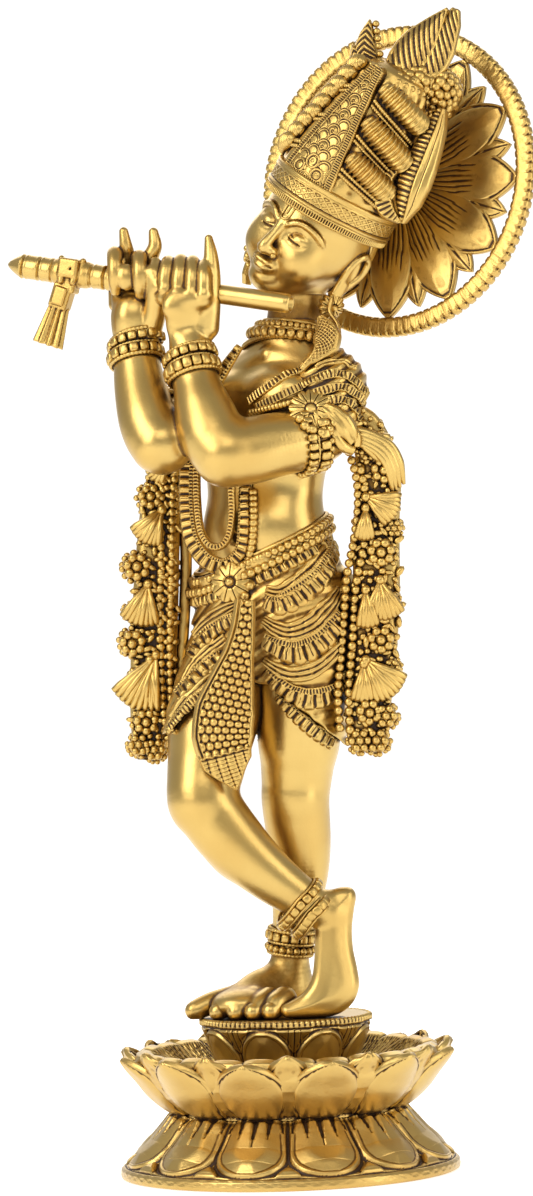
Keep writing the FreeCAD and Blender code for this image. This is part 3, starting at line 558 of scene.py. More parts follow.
# ------------------------------------------------------------------ materials
def brass(name, clean, mid_c, dark, rough=0.27, grain=1.0, wear=1.0, tarnish=0.45, edge=1.0):
    """Polished brass that keeps its brown patina, and shows painted shade, where the cav attribute says that it is
    deep.
    """
    mat = bpy.data.materials.new(name)
    mat.use_nodes = True
    nt = mat.node_tree
    N, L = nt.nodes, nt.links
    b = N["Principled BSDF"]
    at = N.new("ShaderNodeAttribute")
    at.attribute_name = "cav"
    geo = N.new("ShaderNodeNewGeometry")
    tc = N.new("ShaderNodeTexCoord")
    big = N.new("ShaderNodeTexNoise")
    big.inputs["Scale"].default_value = 26.0
    big.inputs["Detail"].default_value = 4.0
    fine = N.new("ShaderNodeTexNoise")
    fine.inputs["Scale"].default_value = 420.0
    fine.inputs["Detail"].default_value = 5.0
    fine.inputs["Roughness"].default_value = 0.6
    streak = N.new("ShaderNodeTexNoise")
    streak.inputs["Scale"].default_value = 1500.0
    streak.inputs["Detail"].default_value = 2.0
    for n in (big, fine, streak):
        L.new(tc.outputs["Object"], n.inputs["Vector"])

    def math_node(op, a, bval, clamp=False):
        n = N.new("ShaderNodeMath")
        n.operation = op
        n.use_clamp = clamp
        for i, x in enumerate((a, bval)):
            if isinstance(x, (int, float)):
                n.inputs[i].default_value = x
            else:
                L.new(x, n.inputs[i])
        return n.outputs[0]

    # cav plus a little noise gives the ragged edge of the patina and of the painted shade
    nz = math_node("MULTIPLY", math_node("SUBTRACT", fine.outputs["Fac"], 0.5), 0.42)
    c = math_node("ADD", at.outputs["Fac"], nz)
    ramp = N.new("ShaderNodeValToRGB")
    ramp.color_ramp.elements[0].position = 0.0
    ramp.color_ramp.elements[0].color = (*clean, 1)
    e = ramp.color_ramp.elements.new(0.26 * edge)
    e.color = (*clean, 1)
    e = ramp.color_ramp.elements.new(0.52 * edge)
    e.color = (*mid_c, 1)
    ramp.color_ramp.elements[-1].position = 0.88 * edge
    ramp.color_ramp.elements[-1].color = (*dark, 1)
    L.new(c, ramp.inputs["Fac"])
    # broad tarnish: the open metal drifts between yellow and a browner gold
    tint = N.new("ShaderNodeMix")
    tint.data_type = "RGBA"
    tint.blend_type = "MULTIPLY"
    tr = N.new("ShaderNodeMapRange")
    tr.inputs["From Min"].default_value = 0.36
    tr.inputs["From Max"].default_value = 0.66
    tr.inputs["To Min"].default_value = 0.0
    tr.inputs["To Max"].default_value = tarnish
    L.new(big.outputs["Fac"], tr.inputs["Value"])
    L.new(tr.outputs[0], tint.inputs["Factor"])
    L.new(ramp.outputs["Color"], tint.inputs["A"])
    tint.inputs["B"].default_value = (0.80, 0.66, 0.46, 1)
    L.new(tint.outputs["Result"], b.inputs["Base Color"])
    # patina is duller and less metallic than the rubbed metal
    met = N.new("ShaderNodeMapRange")
    met.inputs["From Min"].default_value = 0.45
    met.inputs["From Max"].default_value = 0.95
    met.inputs["To Min"].default_value = 1.0
    met.inputs["To Max"].default_value = 0.55
    L.new(c, met.inputs["Value"])
    L.new(met.outputs[0], b.inputs["Metallic"])
    ro = N.new("ShaderNodeMapRange")
    ro.inputs["From Min"].default_value = 0.2
    ro.inputs["From Max"].default_value = 0.8
    ro.inputs["To Min"].default_value = rough
    ro.inputs["To Max"].default_value = 0.62
    L.new(c, ro.inputs["Value"])
    r2_ = math_node("ADD", ro.outputs[0], math_node("MULTIPLY", math_node("SUBTRACT", big.outputs["Fac"], 0.5), 0.22 * wear), clamp=True)
    L.new(r2_, b.inputs["Roughness"])
    bump = N.new("ShaderNodeBump")
    bump.inputs["Strength"].default_value = 0.16 * grain
    bump.inputs["Distance"].default_value = 0.0006
    hsum = math_node("ADD", fine.outputs["Fac"], math_node("MULTIPLY", streak.outputs["Fac"], 0.35))
    L.new(hsum, bump.inputs["Height"])
    L.new(bump.outputs["Normal"], b.inputs["Normal"])
    b.inputs["Specular IOR Level"].default_value = 0.5
    b.inputs["Coat Weight"].default_value = 0.20
    b.inputs["Coat Roughness"].default_value = 0.30
    return mat


M_SKIN = brass("skin_brass", (0.585, 0.408, 0.130), (0.30, 0.165, 0.030), (0.065, 0.028, 0.006), rough=0.32, grain=0.8)
M_ORN = brass("ornament_brass", (0.575, 0.392, 0.116), (0.215, 0.110, 0.018), (0.040, 0.017, 0.005), rough=0.34, grain=1.2, edge=0.80)
M_BASE = brass("base_brass", (0.59, 0.410, 0.132), (0.25, 0.132, 0.026), (0.045, 0.019, 0.005), rough=0.33, grain=1.2, edge=0.85)


def steel():
    mat = bpy.data.materials.new("zinc_steel")
    mat.use_nodes = True
    nt = mat.node_tree
    b = nt.nodes["Principled BSDF"]
    b.inputs["Metallic"].default_value = 1.0
    n = nt.nodes.new("ShaderNodeTexNoise")
    n.inputs["Scale"].default_value = 180.0
    n.inputs["Detail"].default_value = 6.0
    r = nt.nodes.new("ShaderNodeValToRGB")
    r.color_ramp.elements[0].color = (0.32, 0.30, 0.27, 1)
    r.color_ramp.elements[1].color = (0.62, 0.61, 0.58, 1)
    nt.links.new(n.outputs["Fac"], r.inputs["Fac"])
    nt.links.new(r.outputs["Color"], b.inputs["Base Color"])
    mr = nt.nodes.new("ShaderNodeMapRange")
    mr.inputs["To Min"].default_value = 0.3
    mr.inputs["To Max"].default_value = 0.6
    nt.links.new(n.outputs["Fac"], mr.inputs["Value"])
    nt.links.new(mr.outputs[0], b.inputs["Roughness"])
    bp = nt.nodes.new("ShaderNodeBump")
    bp.inputs["Strength"].default_value = 0.1
    bp.inputs["Distance"].default_value = 0.0003
    nt.links.new(n.outputs["Fac"], bp.inputs["Height"])
    nt.links.new(bp.outputs["Normal"], b.inputs["Normal"])
    return mat


M_STEEL = steel()
for n in ("base_stud", "base_washer", "base_nut"):
    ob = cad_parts[n]
    ob.data.materials.clear()
    ob.data.materials.append(M_STEEL)
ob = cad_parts["halo_peg"]
ob.data.materials.clear()
ob.data.materials.append(M_ORN)

# ------------------------------------------------------------------ trunk and arms
VOX = 0.45
body = Clay((-58, -64, 234), (56, 34, 372), VOX)
body.stack([(0, 0, 232, 29, 21), (0, 0, 238, 28.2, 20.4), (-0.3, -0.5, 246, 26.4, 19.3), (-0.5, -1, 254, 25.0, 18.4),
            (-0.4, -1, 262, 24.6, 18.0), (0.2, -0.8, 271, 25.6, 18.4), (1.2, 0, 280, 27.8, 19.2),
            (2.6, 0.5, 289, 30.2, 19.6), (4.2, 1, 298, 31.6, 19.2), (5.8, 1.8, 306, 31.2, 17.6),
            (7.2, 2.5, 312, 28.0, 15.6), (8.6, 3, 318, 21.0, 13.6), (10.2, 3.3, 324.5, 14.6, 12.0),
            (11.8, 2.6, 331, 10.9, 10.5)])
# chest, belly, shoulder blades and the hollow of the back
body.egg((-8.5, -13.5, 301), (12.5, 7.5, 9.5), k=6)
body.egg((15.5, -12.5, 302), (12.5, 7.5, 9.5), k=6)
body.egg((0.5, -5.5, 251), (22, 16.5, 14), k=9)
body.egg((-13, 13.5, 300), (10, 6.5, 12), k=7)
body.egg((21, 14.5, 301), (10, 6.5, 12), k=7)
body.cone((0.2, 24.5, 248), (5, 24.5, 300), 4.4, 4.6, k=5, out=True)
body.egg((0.8, -22.6, 247.2), (1.7, 3.0, 1.9), k=1.6, out=True)
body.cone((11.0, -9.5, 318), (26, -3.5, 313), 2.0, 1.6, k=3)      # collar bones
body.cone((9.0, -9.5, 318), (-8, -6.5, 311), 2.0, 1.6, k=3)
# left arm: shoulder, upper arm, elbow, forearm
body.limb([P(22.5, 15.5, 305), P(25.5, 17.5, 301), through(322, 430, 22.5), through(300, 440, 27), through(275, 445, 30.5), through(250, 450.5, 33.5), through(228, 452.5, 36)],
          [12.5, 12.4, 11.8, 11.8, 12.4, 12.9, 12.8], k=2.2)
body.limb([through(226, 453, 36), through(213, 435, 33.5), through(204.5, 412, 30.5), through(197.4, 388, 27), through(191, 364, 23.5), through(190, 350, 22)],
          [12.8, 12.8, 11.4, 9.3, 8.4, 8.0], k=2.5)
# right arm
body.limb([P(-20.0, -22, 304), P(-22.3, -25, 303), P(-27.5, -12, 298), P(-33, 4, 291.5), P(-39.2, 21, 285.3)],
          [12.5, 13.8, 12.6, 12.0, 11.8], k=2.2)
body.cone((-27.5, 8.0, 305.0), (-9.0, 5.5, 308.5), 9.6, 12.0, k=7)       # the back of the right shoulder
body.limb([P(-40.4, 24.2, 284.6), P(-43.2, 21.8, 289), P(-45.6, 18.6, 296), P(-48.0, 12.6, 309), P(-49.4, 8.0, 322.7),
           P(-49.6, 7.6, 328)], [11.9, 11.7, 11.2, 9.9, 8.2, 7.6], k=2.5)


def flute_at(u):
    t = (11.6 - u) / 0.921
    return np.array([u, 32.0 - 0.343 * t, 336.0 + 0.184 * t])


def fw(u, dw, dz, du=0.0):
    """A point beside the flute at u, dw towards the viewer's side and dz above its middle."""
    p = flute_at(u)
    return P(p[0] + du, p[1] + dw, p[2] + dz)


# left hand: palm below the flute, four fingers arched over it, one finger raised
X0 = P(0.94, -0.32, 0.06) - P(0, 0, 0)
ax = np.stack([unit(X0), unit(np.cross(unit(X0), (0, 0, 1))), unit(np.cross(unit(X0), unit(np.cross(unit(X0), (0, 0, 1)))))], 1)
body.egg(P(-27.6, 21.6, 331.0), (9.6, 5.4, 12.5), ax, k=3)
body.egg(P(-28.8, 24.6, 337.2), (9.6, 4.6, 7.0), ax, k=2.5)
body.limb([fw(-36.6, 7.4, -4.4), fw(-29.0, 8.6, -4.0), fw(-22.4, 7.6, -3.6)], [3.6, 4.0, 3.8], k=2.5)
for i, (u, r) in enumerate(((-36.4, 2.75), (-31.2, 2.85), (-26.0, 2.85), (-21.4, 2.7))):
    top = (9.2, 10.4, 10.6, 9.6)[i]
    sl = (1.3, 0.9, 0.3, -0.2)[i]
    body.limb([fw(u, 7.2, -2.6, 0.8 * (1 - i / 1.5)), fw(u, 8.8, 1.6, -0.2), fw(u, 7.4, 6.8, sl * 0.5), fw(u, 2.6, top, sl), fw(u, -3.8, top - 1.0, sl + 0.2),
               fw(u, -7.2, 3.6, sl + 0.3)], [r + 0.25, r + 0.1, r, r - 0.05, r - 0.25, r - 0.5], k=0.45)
    body.egg(fw(u, 9.8, -1.6), (r + 0.35, 2.2, 2.4), ax, k=1.0)
body.limb([P(-21.4, 21.0, 329.0), P(-19.8, 23.0, 338), P(-18.6, 23.6, 348), P(-18.6, 22.6, 356.5), P(-19.2, 21.4, 363.0)],
          [5.2, 4.4, 3.5, 2.7, 1.6], k=1.6)
body.limb([fw(-40.6, 3.0, 8.4, 0.4), fw(-40.4, 6.4, 4.6), fw(-38.8, 7.4, -1.0)], [2.3, 2.6, 2.6], k=0.6)
# right hand: palm behind the flute, two fingers curled towards the viewer's side, thumb below, two raised
body.egg(P(-49.8, 6.6, 333.6), (8.8, 5.0, 11.5), ax, k=3)
body.egg(P(-49.4, 4.6, 342.5), (8.8, 4.4, 8.5), ax, k=2.5)
body.egg(P(-48.6, 10.4, 334.5), (8.4, 6.2, 9.5), ax, k=3)
for i, u in enumerate((-56.0, -51.3, -46.4, -42.0)):
    base_p = P(u, 4.2, 340)
    if i in (0, 2):
        body.limb([base_p, fw(u, -5.4, 3.4), fw(u, -2.6, 9.0), fw(u, 3.8, 9.4), fw(u, 7.8, 5.0), fw(u, 7.8, -0.8), fw(u, 5.2, -4.6)],
                  [3.2, 3.1, 3.0, 3.0, 2.9, 2.7, 2.2], k=0.8)
    elif i == 1:
        body.limb([base_p, fw(u, -4.8, 4.0), fw(u, -2.4, 10.5), P(-51.6, 8.3, 362.6), P(-52.2, 8.8, 367.8)],
                  [3.3, 3.2, 3.0, 2.5, 1.8], k=0.8)
    else:
        body.limb([base_p, fw(u, -4.8, 4.0), fw(u, -2.4, 10.5), P(-40.2, 10.8, 361.6), P(-40.6, 10.6, 367.0)],
                  [3.3, 3.2, 3.1, 2.7, 1.9], k=0.8)
body.limb([P(-43.8, 11.0, 328.5), P(-41.0, 15.0, 336.0), P(-40.6, 17.8, 343.5), P(-42.0, 18.6, 350.5)], [5.0, 4.4, 3.7, 2.8], k=1.6)
body.egg(fw(-51.5, 7.0, 1.0), (4.0, 3.2, 5.2), ax, k=1.0)
# the bore that the flute slides in
body.cone(E0 - FL * 15, E0 + FL * 72.6, 3.95, 3.95, out=True)
body.cone(E0 + FL * 72.6, E0 + FL * 112, 5.3, 5.3, out=True)

# ------------------------------------------------------------------ legs
hint_l = unit(P(-0.87, 0.49, 0))
cross_l = np.cross((0, 0, 1), hint_l)
foot_ax = np.stack([hint_l, cross_l, (0, 0, 1)], 1)
left = Clay((-48, -52, 58), (36, 36, 204), VOX)
left.limb([P(9.0, 3.2, 172), P(8.6, 2.6, 165), P(7.4, 0.8, 152), P(6.8, 0.2, 144), P(7.6, -3.2, 128), P(7.2, -5, 115), P(5.2, -6.6, 100),
           P(2.9, -8.2, 87), P(2.6, -9.6, 76), P(3.0, -11, 70)], [15.6, 15.0, 13.6, 13.2, 12.4, 11.2, 8.9, 7.4, 7.8, 8.2], k=2.5)
left.egg(P(6.9, 6.6, 146.0), (6.5, 5.0, 7.5), k=5)
left.egg(P(6.5, -10.0, 124.0), (7.5, 6.0, 14.0), k=6)
left.egg(P(5.2, -14.2, 68.0), (8.2, 7.6, 7.2), foot_ax, k=3)
left.egg(P(-6.5, -5.0, 70.0), (17.0, 9.0, 9.6), np.stack([unit(hint_l - np.array([0, 0, 0.25])), cross_l,
                                                          unit(np.cross(unit(hint_l - np.array([0, 0, 0.25])), cross_l))], 1), k=5)
toe_dir = unit(P(-0.80, 0.60, 0.0))
toe_ax = np.stack([toe_dir, np.cross((0, 0, 1), toe_dir), (0, 0, 1)], 1)
left.egg(P(-14.0, 5.0, 66.6), (15.5, 13.0, 6.4), toe_ax, k=4)
for u, w, r, back in ((-35.4, 5.6, 3.9, 18.0), (-26.4, 12.0, 3.5, 13.0), (-19.2, 16.2, 3.6, 11.5), (-12.6, 18.8, 3.65, 10.5), (-5.8, 20.2, 3.8, 9.0)):
    way = unit(P(-0.72 if u < -30 else -0.62, 0.30 if u < -30 else 0.78, 0.0))
    end = P(u, w, 61.0 + r * 0.86)
    root = end - way * back + np.array([0, 0, 4.2])
    left.limb([root, end - way * back * 0.45 + np.array([0, 0, 2.6]), end - way * 1.6 + np.array([0, 0, 0.5]), end], [r + 1.0, r + 0.5, r + 0.15, r * 0.94], k=0.9)
legs_floor = 61.0


def below(X, Y, Z):
    return Z - legs_floor + X * 0 + Y * 0


left.carve(below, (-60, -60, 50), (60, 60, 61.5))

right = Clay((-52, -58, 58), (44, 36, 204), VOX)
right.limb([P(-25.4, 11.2, 170), P(-27.0, 13.4, 161), P(-28.8, 16.2, 152), P(-29.2, 17.2, 147)], [15.6, 15.2, 14.0, 13.4], k=2.5)
right.egg(P(-29.6, 19.5, 147.5), (11.5, 10.5, 12.0), k=4)
right.limb([P(-27.6, 17.6, 144), P(-20, 18.4, 133), P(-12, 19, 124), P(-3.5, 19.2, 116), P(4, 19, 110), P(11, 18.4, 104.8), P(16, 17.6, 102.2),
            P(20, 16.8, 101.0)], [13.2, 12.7, 11.4, 10.0, 8.8, 7.8, 6.9, 5.4], k=2.5)
right.egg(P(-17.5, 13.5, 127.5), (9.0, 8.0, 11.0), k=6)


def uw(X, Y):
    c, s_ = math.cos(TURN), math.sin(TURN)
    return X * c + Y * s_, X * s_ - Y * c


def plate_of(pts, w_mid, half, rim=2.6, dome=1.6, z_floor=None, lean=(0.0, 0.0)):
    """A flat rounded slab whose outline is given by frame points; faces the viewer's side."""
    q = np.array([through(x, y, w_mid) for x, y in pts])
    pu = uw(q[:, 0], q[:, 1])[0]
    pz = q[:, 2]
    if z_floor is not None:
        pz = z_floor + (pz - pz.min()) * (pz.max() - z_floor) / (pz.max() - pz.min())
    # round the outline a little
    o = smooth_path(np.stack([pu, pz, 0 * pu], 1), len(pu) * 5, close=True)[:, :2]

    u0, z0 = pu.min() - 14.0, pz.min() - 14.0
    gu, gz_ = np.meshgrid(np.arange(u0, pu.max() + 14.0, 0.4), np.arange(z0, pz.max() + 14.0, 0.4), indexing="ij")
    best = np.full(gu.shape, 1e9)
    inside = np.zeros(gu.shape, bool)
    for a, b in zip(o, np.roll(o, -1, 0)):
        e = b - a
        t = np.clip(((gu - a[0]) * e[0] + (gz_ - a[1]) * e[1]) / max((e ** 2).sum(), 1e-9), 0, 1)
        best = np.minimum(best, (gu - a[0] - t * e[0]) ** 2 + (gz_ - a[1] - t * e[1]) ** 2)
        c1 = (a[1] <= gz_) != (b[1] <= gz_)
        inside ^= c1 & (gu < a[0] + (gz_ - a[1]) * e[0] / (e[1] if abs(e[1]) > 1e-9 else 1e-9))
    table = np.sqrt(best) * np.where(inside, -1, 1)

    def fn(X, Y, Z):
        U, W = uw(X, Y)
        U, Z_ = np.broadcast_arrays(U + 0 * Z, Z + 0 * U)
        qu = np.clip((U - u0) / 0.4, 0, table.shape[0] - 1.01)
        qz = np.clip((Z_ - z0) / 0.4, 0, table.shape[1] - 1.01)
        iu, iz = qu.astype(int), qz.astype(int)
        fu, fz = qu - iu, qz - iz
        d2 = (table[iu, iz] * (1 - fu) * (1 - fz) + table[iu + 1, iz] * fu * (1 - fz) + table[iu, iz + 1] * (1 - fu) * fz + table[iu + 1, iz + 1] * fu * fz)
        wm = w_mid + lean[0] * (U - pu.mean()) + lean[1] * (Z_ - pz.mean())
        dw = np.abs(W - wm) - half - dome * step_np(-d2, 0.0, 8.0) - 4.6 * step_np(-d2, -1.0, 7.0) * (W < wm)
        a2, b2 = d2 + rim, dw + rim
        return np.minimum(np.maximum(a2, b2), 0) + np.sqrt(np.maximum(a2, 0) ** 2 + np.maximum(b2, 0) ** 2) - rim
    return fn


def step_np(x, a, b):
    t = np.clip((x - a) / (b - a), 0, 1)
    return t * t * (3 - 2 * t)


sole = plate_of([(322, 893), (334, 889), (345, 887), (353, 889), (356, 896), (354, 908), (352, 925), (353, 944), (357, 962), (359, 978), (354, 992), (343, 1002), (328, 1007), (306, 1008), (288, 1008),
                 (281, 1004), (281, 997), (291, 992), (303, 985), (311, 973), (314, 955), (315, 930), (317, 908)], 17.5, 4.6, rim=3.0, dome=1.8, z_floor=61.2, lean=(-0.10, -0.02))
right.join(sole, (0, -26, 58), (44, 20, 120), 2.4)
right.carve(below, (-60, -60, 50), (60, 60, 61.5))

v, f = body.mesh()
make_piece("torso_and_arms_skin", v, f, M_SKIN, "statue", ("trunk", "left_arm", "right_arm"))

# ------------------------------------------------------------------ relief helpers
def step(x, a, b):
    t = np.clip((x - a) / (b - a), 0, 1)
    return t * t * (3 - 2 * t)


def bump1(x, c, w):
    """A soft ridge at c, w wide."""
    return np.exp(-((x - c) / w) ** 2)


def rough(a, b, seed=0.0, f=1.0):
    """A cheap repeatable unevenness between -1 and 1."""
    return (np.sin(a * 3.1 * f + seed) * np.sin(b * 2.7 * f + 1.7 * seed) + np.sin(a * 7.3 * f + b * 5.1 * f + seed * 2.3) * 0.5
            + np.sin(a * 13.7 * f - b * 11.9 * f + seed * 0.7) * 0.3) / 1.8


def grid_faces(n, m, wrap_n=False, wrap_m=False, flip=False):
    i = np.arange(n if wrap_n else n - 1)[:, None]
    j = np.arange(m if wrap_m else m - 1)[None]
    a = i * m + j
    b = ((i + 1) % n) * m + j
    c = ((i + 1) % n) * m + (j + 1) % m
    d = i * m + (j + 1) % m
    q = np.stack([a, b, c, d], -1).reshape(-1, 4)
    return q[:, ::-1] if flip else q


def turned(mesh, prof, nt, height, closed_bottom=None, centre=(0, 0, 0), axes=None, ell=(1.0, 1.0), phase=0.0):
    """A turned body: prof is the outside (r, z) from bottom to top, evenly sampled, pushed out along its
    normal by height(theta, s, length); closed_bottom is the rest of the outline, back to the start."""
    prof = np.asarray(prof, float)
    d = np.gradient(prof, axis=0)
    nrm = np.stack([d[:, 1], -d[:, 0]], 1)
    nrm /= np.linalg.norm(nrm, axis=1, keepdims=True)
    s = np.concatenate([[0], np.cumsum(np.linalg.norm(np.diff(prof, axis=0), axis=1))])
    th = np.arange(nt) * 2 * math.pi / nt + phase
    h = height(th[:, None], s[None], s[-1])
    r = prof[None, :, 0] + nrm[None, :, 0] * h
    z = prof[None, :, 1] + nrm[None, :, 1] * h
    if closed_bottom is not None:
        cb = np.asarray(closed_bottom, float)
        r = np.concatenate([r, np.broadcast_to(cb[None, :, 0], (nt, len(cb)))], 1)
        z = np.concatenate([z, np.broadcast_to(cb[None, :, 1], (nt, len(cb)))], 1)
    x = r * np.cos(th)[:, None] * ell[0]
    y = r * np.sin(th)[:, None] * ell[1]
    v = np.stack([x, y, z], -1)
    if axes is not None:
        v = v @ np.asarray(axes, float).T
    v = v + np.asarray(centre, float)
    # theta forward, s along the outline: outward normals
    mesh.add(v.reshape(-1, 3), grid_faces(nt, v.shape[1], True, closed_bottom is not None))
    return v


def even(pts, n):
    p = np.asarray(pts, float)
    s = np.concatenate([[0], np.cumsum(np.linalg.norm(np.diff(p, axis=0), axis=1))])
    u = np.linspace(0, s[-1], n)
    return np.stack([np.interp(u, s, p[:, k]) for k in range(p.shape[1])], 1)


def sheet(mesh, front, back):
    """A closed shell between two equal grids of points (n, m, 3)."""
    n, m = front.shape[:2]
    v = np.concatenate([front.reshape(-1, 3), back.reshape(-1, 3)])
    k = n * m
    idx = np.arange(k).reshape(n, m)
    rim = np.concatenate([idx[:-1, 0], idx[-1, :-1], idx[1:, -1][::-1], idx[0, 1:][::-1]])
    nxt = np.roll(rim, -1)
    side = np.stack([rim, nxt, nxt + k, rim + k], -1)
    mesh.add(v, [grid_faces(n, m), grid_faces(n, m, flip=True) + k, side[:, ::-1]])


Q = 1

# ------------------------------------------------------------------ lower lotus tier
lower = Mesh()
prof = even([(66.0, 0.4), (66.2, 1.5), (66.0, 3.4), (64.9, 4.6), (62.6, 5.8), (58.0, 8.6), (52.6, 13.2), (47.8, 18.6), (44.6, 22.6), (43.6, 24.4)], 150 // Q)


def lower_h(th, s, L):
    pitch = math.pi / 6
    ph = ((th + math.radians(-52)) / pitch + 0.5) % 1.0 * 2 - 1        # -1..1 across one petal
    r_here = np.interp(s[0], np.linspace(0, L, len(prof)), prof[:, 0])[None]
    half = r_here * pitch / 2
    x = ph * half
    a = 5.6                                                            # where the petal's rounded foot begins
    q = (s - a)
    full = 0.985 - 0.04 * step(s, 14, L)
    k = 13.0
    wide = np.where(q < k, np.sqrt(np.clip(1 - ((k - q) / k) ** 2, 0, 1)), 1.0) * full
    d = (wide - np.abs(ph)) * half * np.where(q < k, 0.35 + 0.65 * np.clip(q / k, 0, 1), 1.0)
    d = np.where(q < 0, q, np.minimum(d, q * 1.2))
    on = step(s, 4.2, 5.4)
    h = step(d, -0.2, 1.0) * 1.0 + step(d, 0.6, 8.5) * 2.2
    h += bump1(d, 1.0, 0.6) * 0.25 - bump1(d, 2.2, 0.5) * 0.12
    h -= bump1(d, -0.7, 0.7) * 0.75
    # small tips that show between the petals at the foot
    p2 = (1 - np.abs(ph)) * half
    t2 = np.clip((s - 5.2) / 6.4, 0, 1)
    w2 = 5.4 * np.sqrt(np.clip(1 - t2 ** 1.6, 0, 1))
    d2 = np.where(d < 0.0, np.minimum(w2 - p2, s - 5.2), -1)
    h += step(d2, 0.0, 1.2) * 0.9 + step(d2, 0.8, 3.0) * 0.6
    # three strokes cut down from the waist
    for off, ln, w in ((0.0, 12.6, 1.75), (5.0, 9.6, 1.5), (-5.0, 9.2, 1.5), (9.6, 6.0, 1.2), (-9.6, 6.4, 1.2)):
        t = (L - 1.2 - s) / ln
        ww = np.clip(1 - t, 0, 1) * w
        h -= np.where((t > -0.3) & (t < 1), 1.7 * np.clip(1 - np.abs(x - off * (1 + 0.12 * t)) / np.maximum(ww, 0.05), 0, 1) ** 0.7, 0)
    h += 0.10 * np.sin(th * 7.3 + s * 0.21) * np.sin(s * 0.33 + th * 3.1)
    h *= on
    # rim band: a dull edge, worn unevenly
    h += (1 - on) * 0.10 * rough(th * 22, s, 5.0)
    # dark rough waist
    h += step(s, L - 2.6, L - 0.6) * (0.35 * rough(th * 70, s * 3, 2.0) - 0.7)
    return h


under = np.array([(38.0, 24.2), (4.0, 24.2), (4.0, 20.0), (20.0, 20.0), (40.0, 20.0), (44.0, 14.0), (47.5, 9.0), (52.0, 7.0), (57.5, 4.5), (60.0, 1.6), (61.0, 0.02), (63.0, 0.0), (65.2, 0.0)])
turned(lower, prof, 720 // Q, lower_h, under)
lower.piece("lower_lotus_tier", M_BASE, "statue", ("lotus_base",))

# ------------------------------------------------------------------ upper lotus tier
tray = Mesh()
prof_t = even([(43.2, 24.2), (43.0, 25.4), (44.6, 26.6), (48.6, 28.6), (53.2, 32.4), (56.6, 36.6), (58.8, 41.0), (59.4, 44.6), (58.6, 47.4), (56.4, 48.6),
               (53.8, 48.0), (50.4, 45.4), (45.8, 42.2), (40.0, 39.2), (33.0, 37.4), (27.0, 36.6), (24.0, 36.4)], 210 // Q)


def tray_h(th, s, L):
    z = np.interp(s[0], np.linspace(0, L, len(prof_t)), prof_t[:, 1])[None]
    r_ = np.interp(s[0], np.linspace(0, L, len(prof_t)), prof_t[:, 0])[None]
    top = int(np.argmax(prof_t[:, 1])) * L / (len(prof_t) - 1)
    # lobes of the inner ring, each rounded with a groove between
    n = 26
    ph = (th * n / (2 * math.pi)) % 1.0 * 2 - 1
    lobe = np.sqrt(np.clip(1 - (np.abs(ph) / 1.0) ** 2.6, 0, 1))
    amp = step(s, top - 17, top - 8) * (1 - step(s, top + 2.0, top + 7.0))
    h = amp * (lobe * 1.7 - 1.0)
    wob = np.sin(np.floor(th * n / (2 * math.pi)) * 2.4) * 0.5
    h += amp * wob * 0.6
    # fine stamens combed outwards over the floor of the cup
    hair = step(s, top + 2.0, top + 5.0) * (1 - step(s, L - 9, L - 5))
    h += hair * (0.42 * np.cos(th * 236) + 0.16 * np.cos(th * 131 + s * 0.7) + 0.18 * rough(th * 60, s * 0.6, 4.0))
    h -= bump1(s, L - 4.0, 3.0) * 0.6
    h += (1 - step(s, 0.6, 3.4)) * (0.4 * rough(th * 64, s * 3, 6.0) - 0.3)
    return h


turned(tray, prof_t, 960 // Q, tray_h, [(24.0, 33.2), (3.6, 33.2), (3.6, 24.3), (38.0, 24.3)], phase=math.radians(4))


def lotus_leaf(mesh, ang, foot, prof, half, thick, n=44, m=40, dip=1.0, curl=0.0, ribs=0, point=0.75, seed=0.0, lip=0.35, lean=0.0):
    """One petal standing on a ring: prof is its middle line (r, z); half its greatest half width."""
    n, m = max(10, n // Q), max(12, m // Q)
    mid_l = smooth_path(np.array(prof, float), n)
    t = np.linspace(0, 1, n)
    w = half * (foot + (1 - foot) * np.sin(np.clip(t / 0.60, 0, 1) * math.pi / 2) ** 1.2) * np.clip(1 - np.clip((t - 0.52) / 0.48, 0, 1) ** (1.0 / point * 1.75), 0, 1) ** 0.62
    w = np.maximum(w, 0.25)
    a = np.linspace(-1, 1, m)
    d = np.gradient(mid_l, axis=0)
    nr = np.stack([d[:, 1], -d[:, 0]], 1)
    nr /= np.linalg.norm(nr, axis=1, keepdims=True)
    A, T = a[None], t[:, None]
    x = w[:, None] * A
    edge = (1 - np.abs(A)) * w[:, None]
    h = -dip * (A ** 2) * (w[:, None] / half) + curl * np.abs(A) ** 3 * T
    out = 0.45 * step(edge, 0, 1.4) - bump1(edge, 2.1, 0.55) * lip + bump1(edge, 1.0, 0.5) * lip * 0.5
    inn = 0.35 * step(edge, 0, 1.4)
    if ribs:
        g = np.cos(x / np.maximum(w[:, None], 1.0) * math.pi * ribs + 0.4)
        inn = inn + 0.42 * g * step(edge, 0.4, 2.0) * step(T, 0.15, 0.4)
        out = out + 0.10 * g * step(edge, 0.4, 2.0)
    grids = []
    for sgn, extra in ((1, out), (-1, inn)):
        tk = thick * 0.5 * (1 - 0.45 * T) * np.clip(edge / 1.1, 0.12, 1) ** 0.5
        hh = h + sgn * (tk + extra)
        r = mid_l[:, 0][:, None] + nr[:, 0][:, None] * hh
        z = mid_l[:, 1][:, None] + nr[:, 1][:, None] * hh
        # wrap the width round the ring
        ang_x = x / np.maximum(mid_l[:, 0][:, None], 10.0) + lean * T
        grids.append(np.stack([r * np.cos(ang + ang_x), r * np.sin(ang + ang_x), z + 0 * A], -1))
    sheet(mesh, grids[1], grids[0])


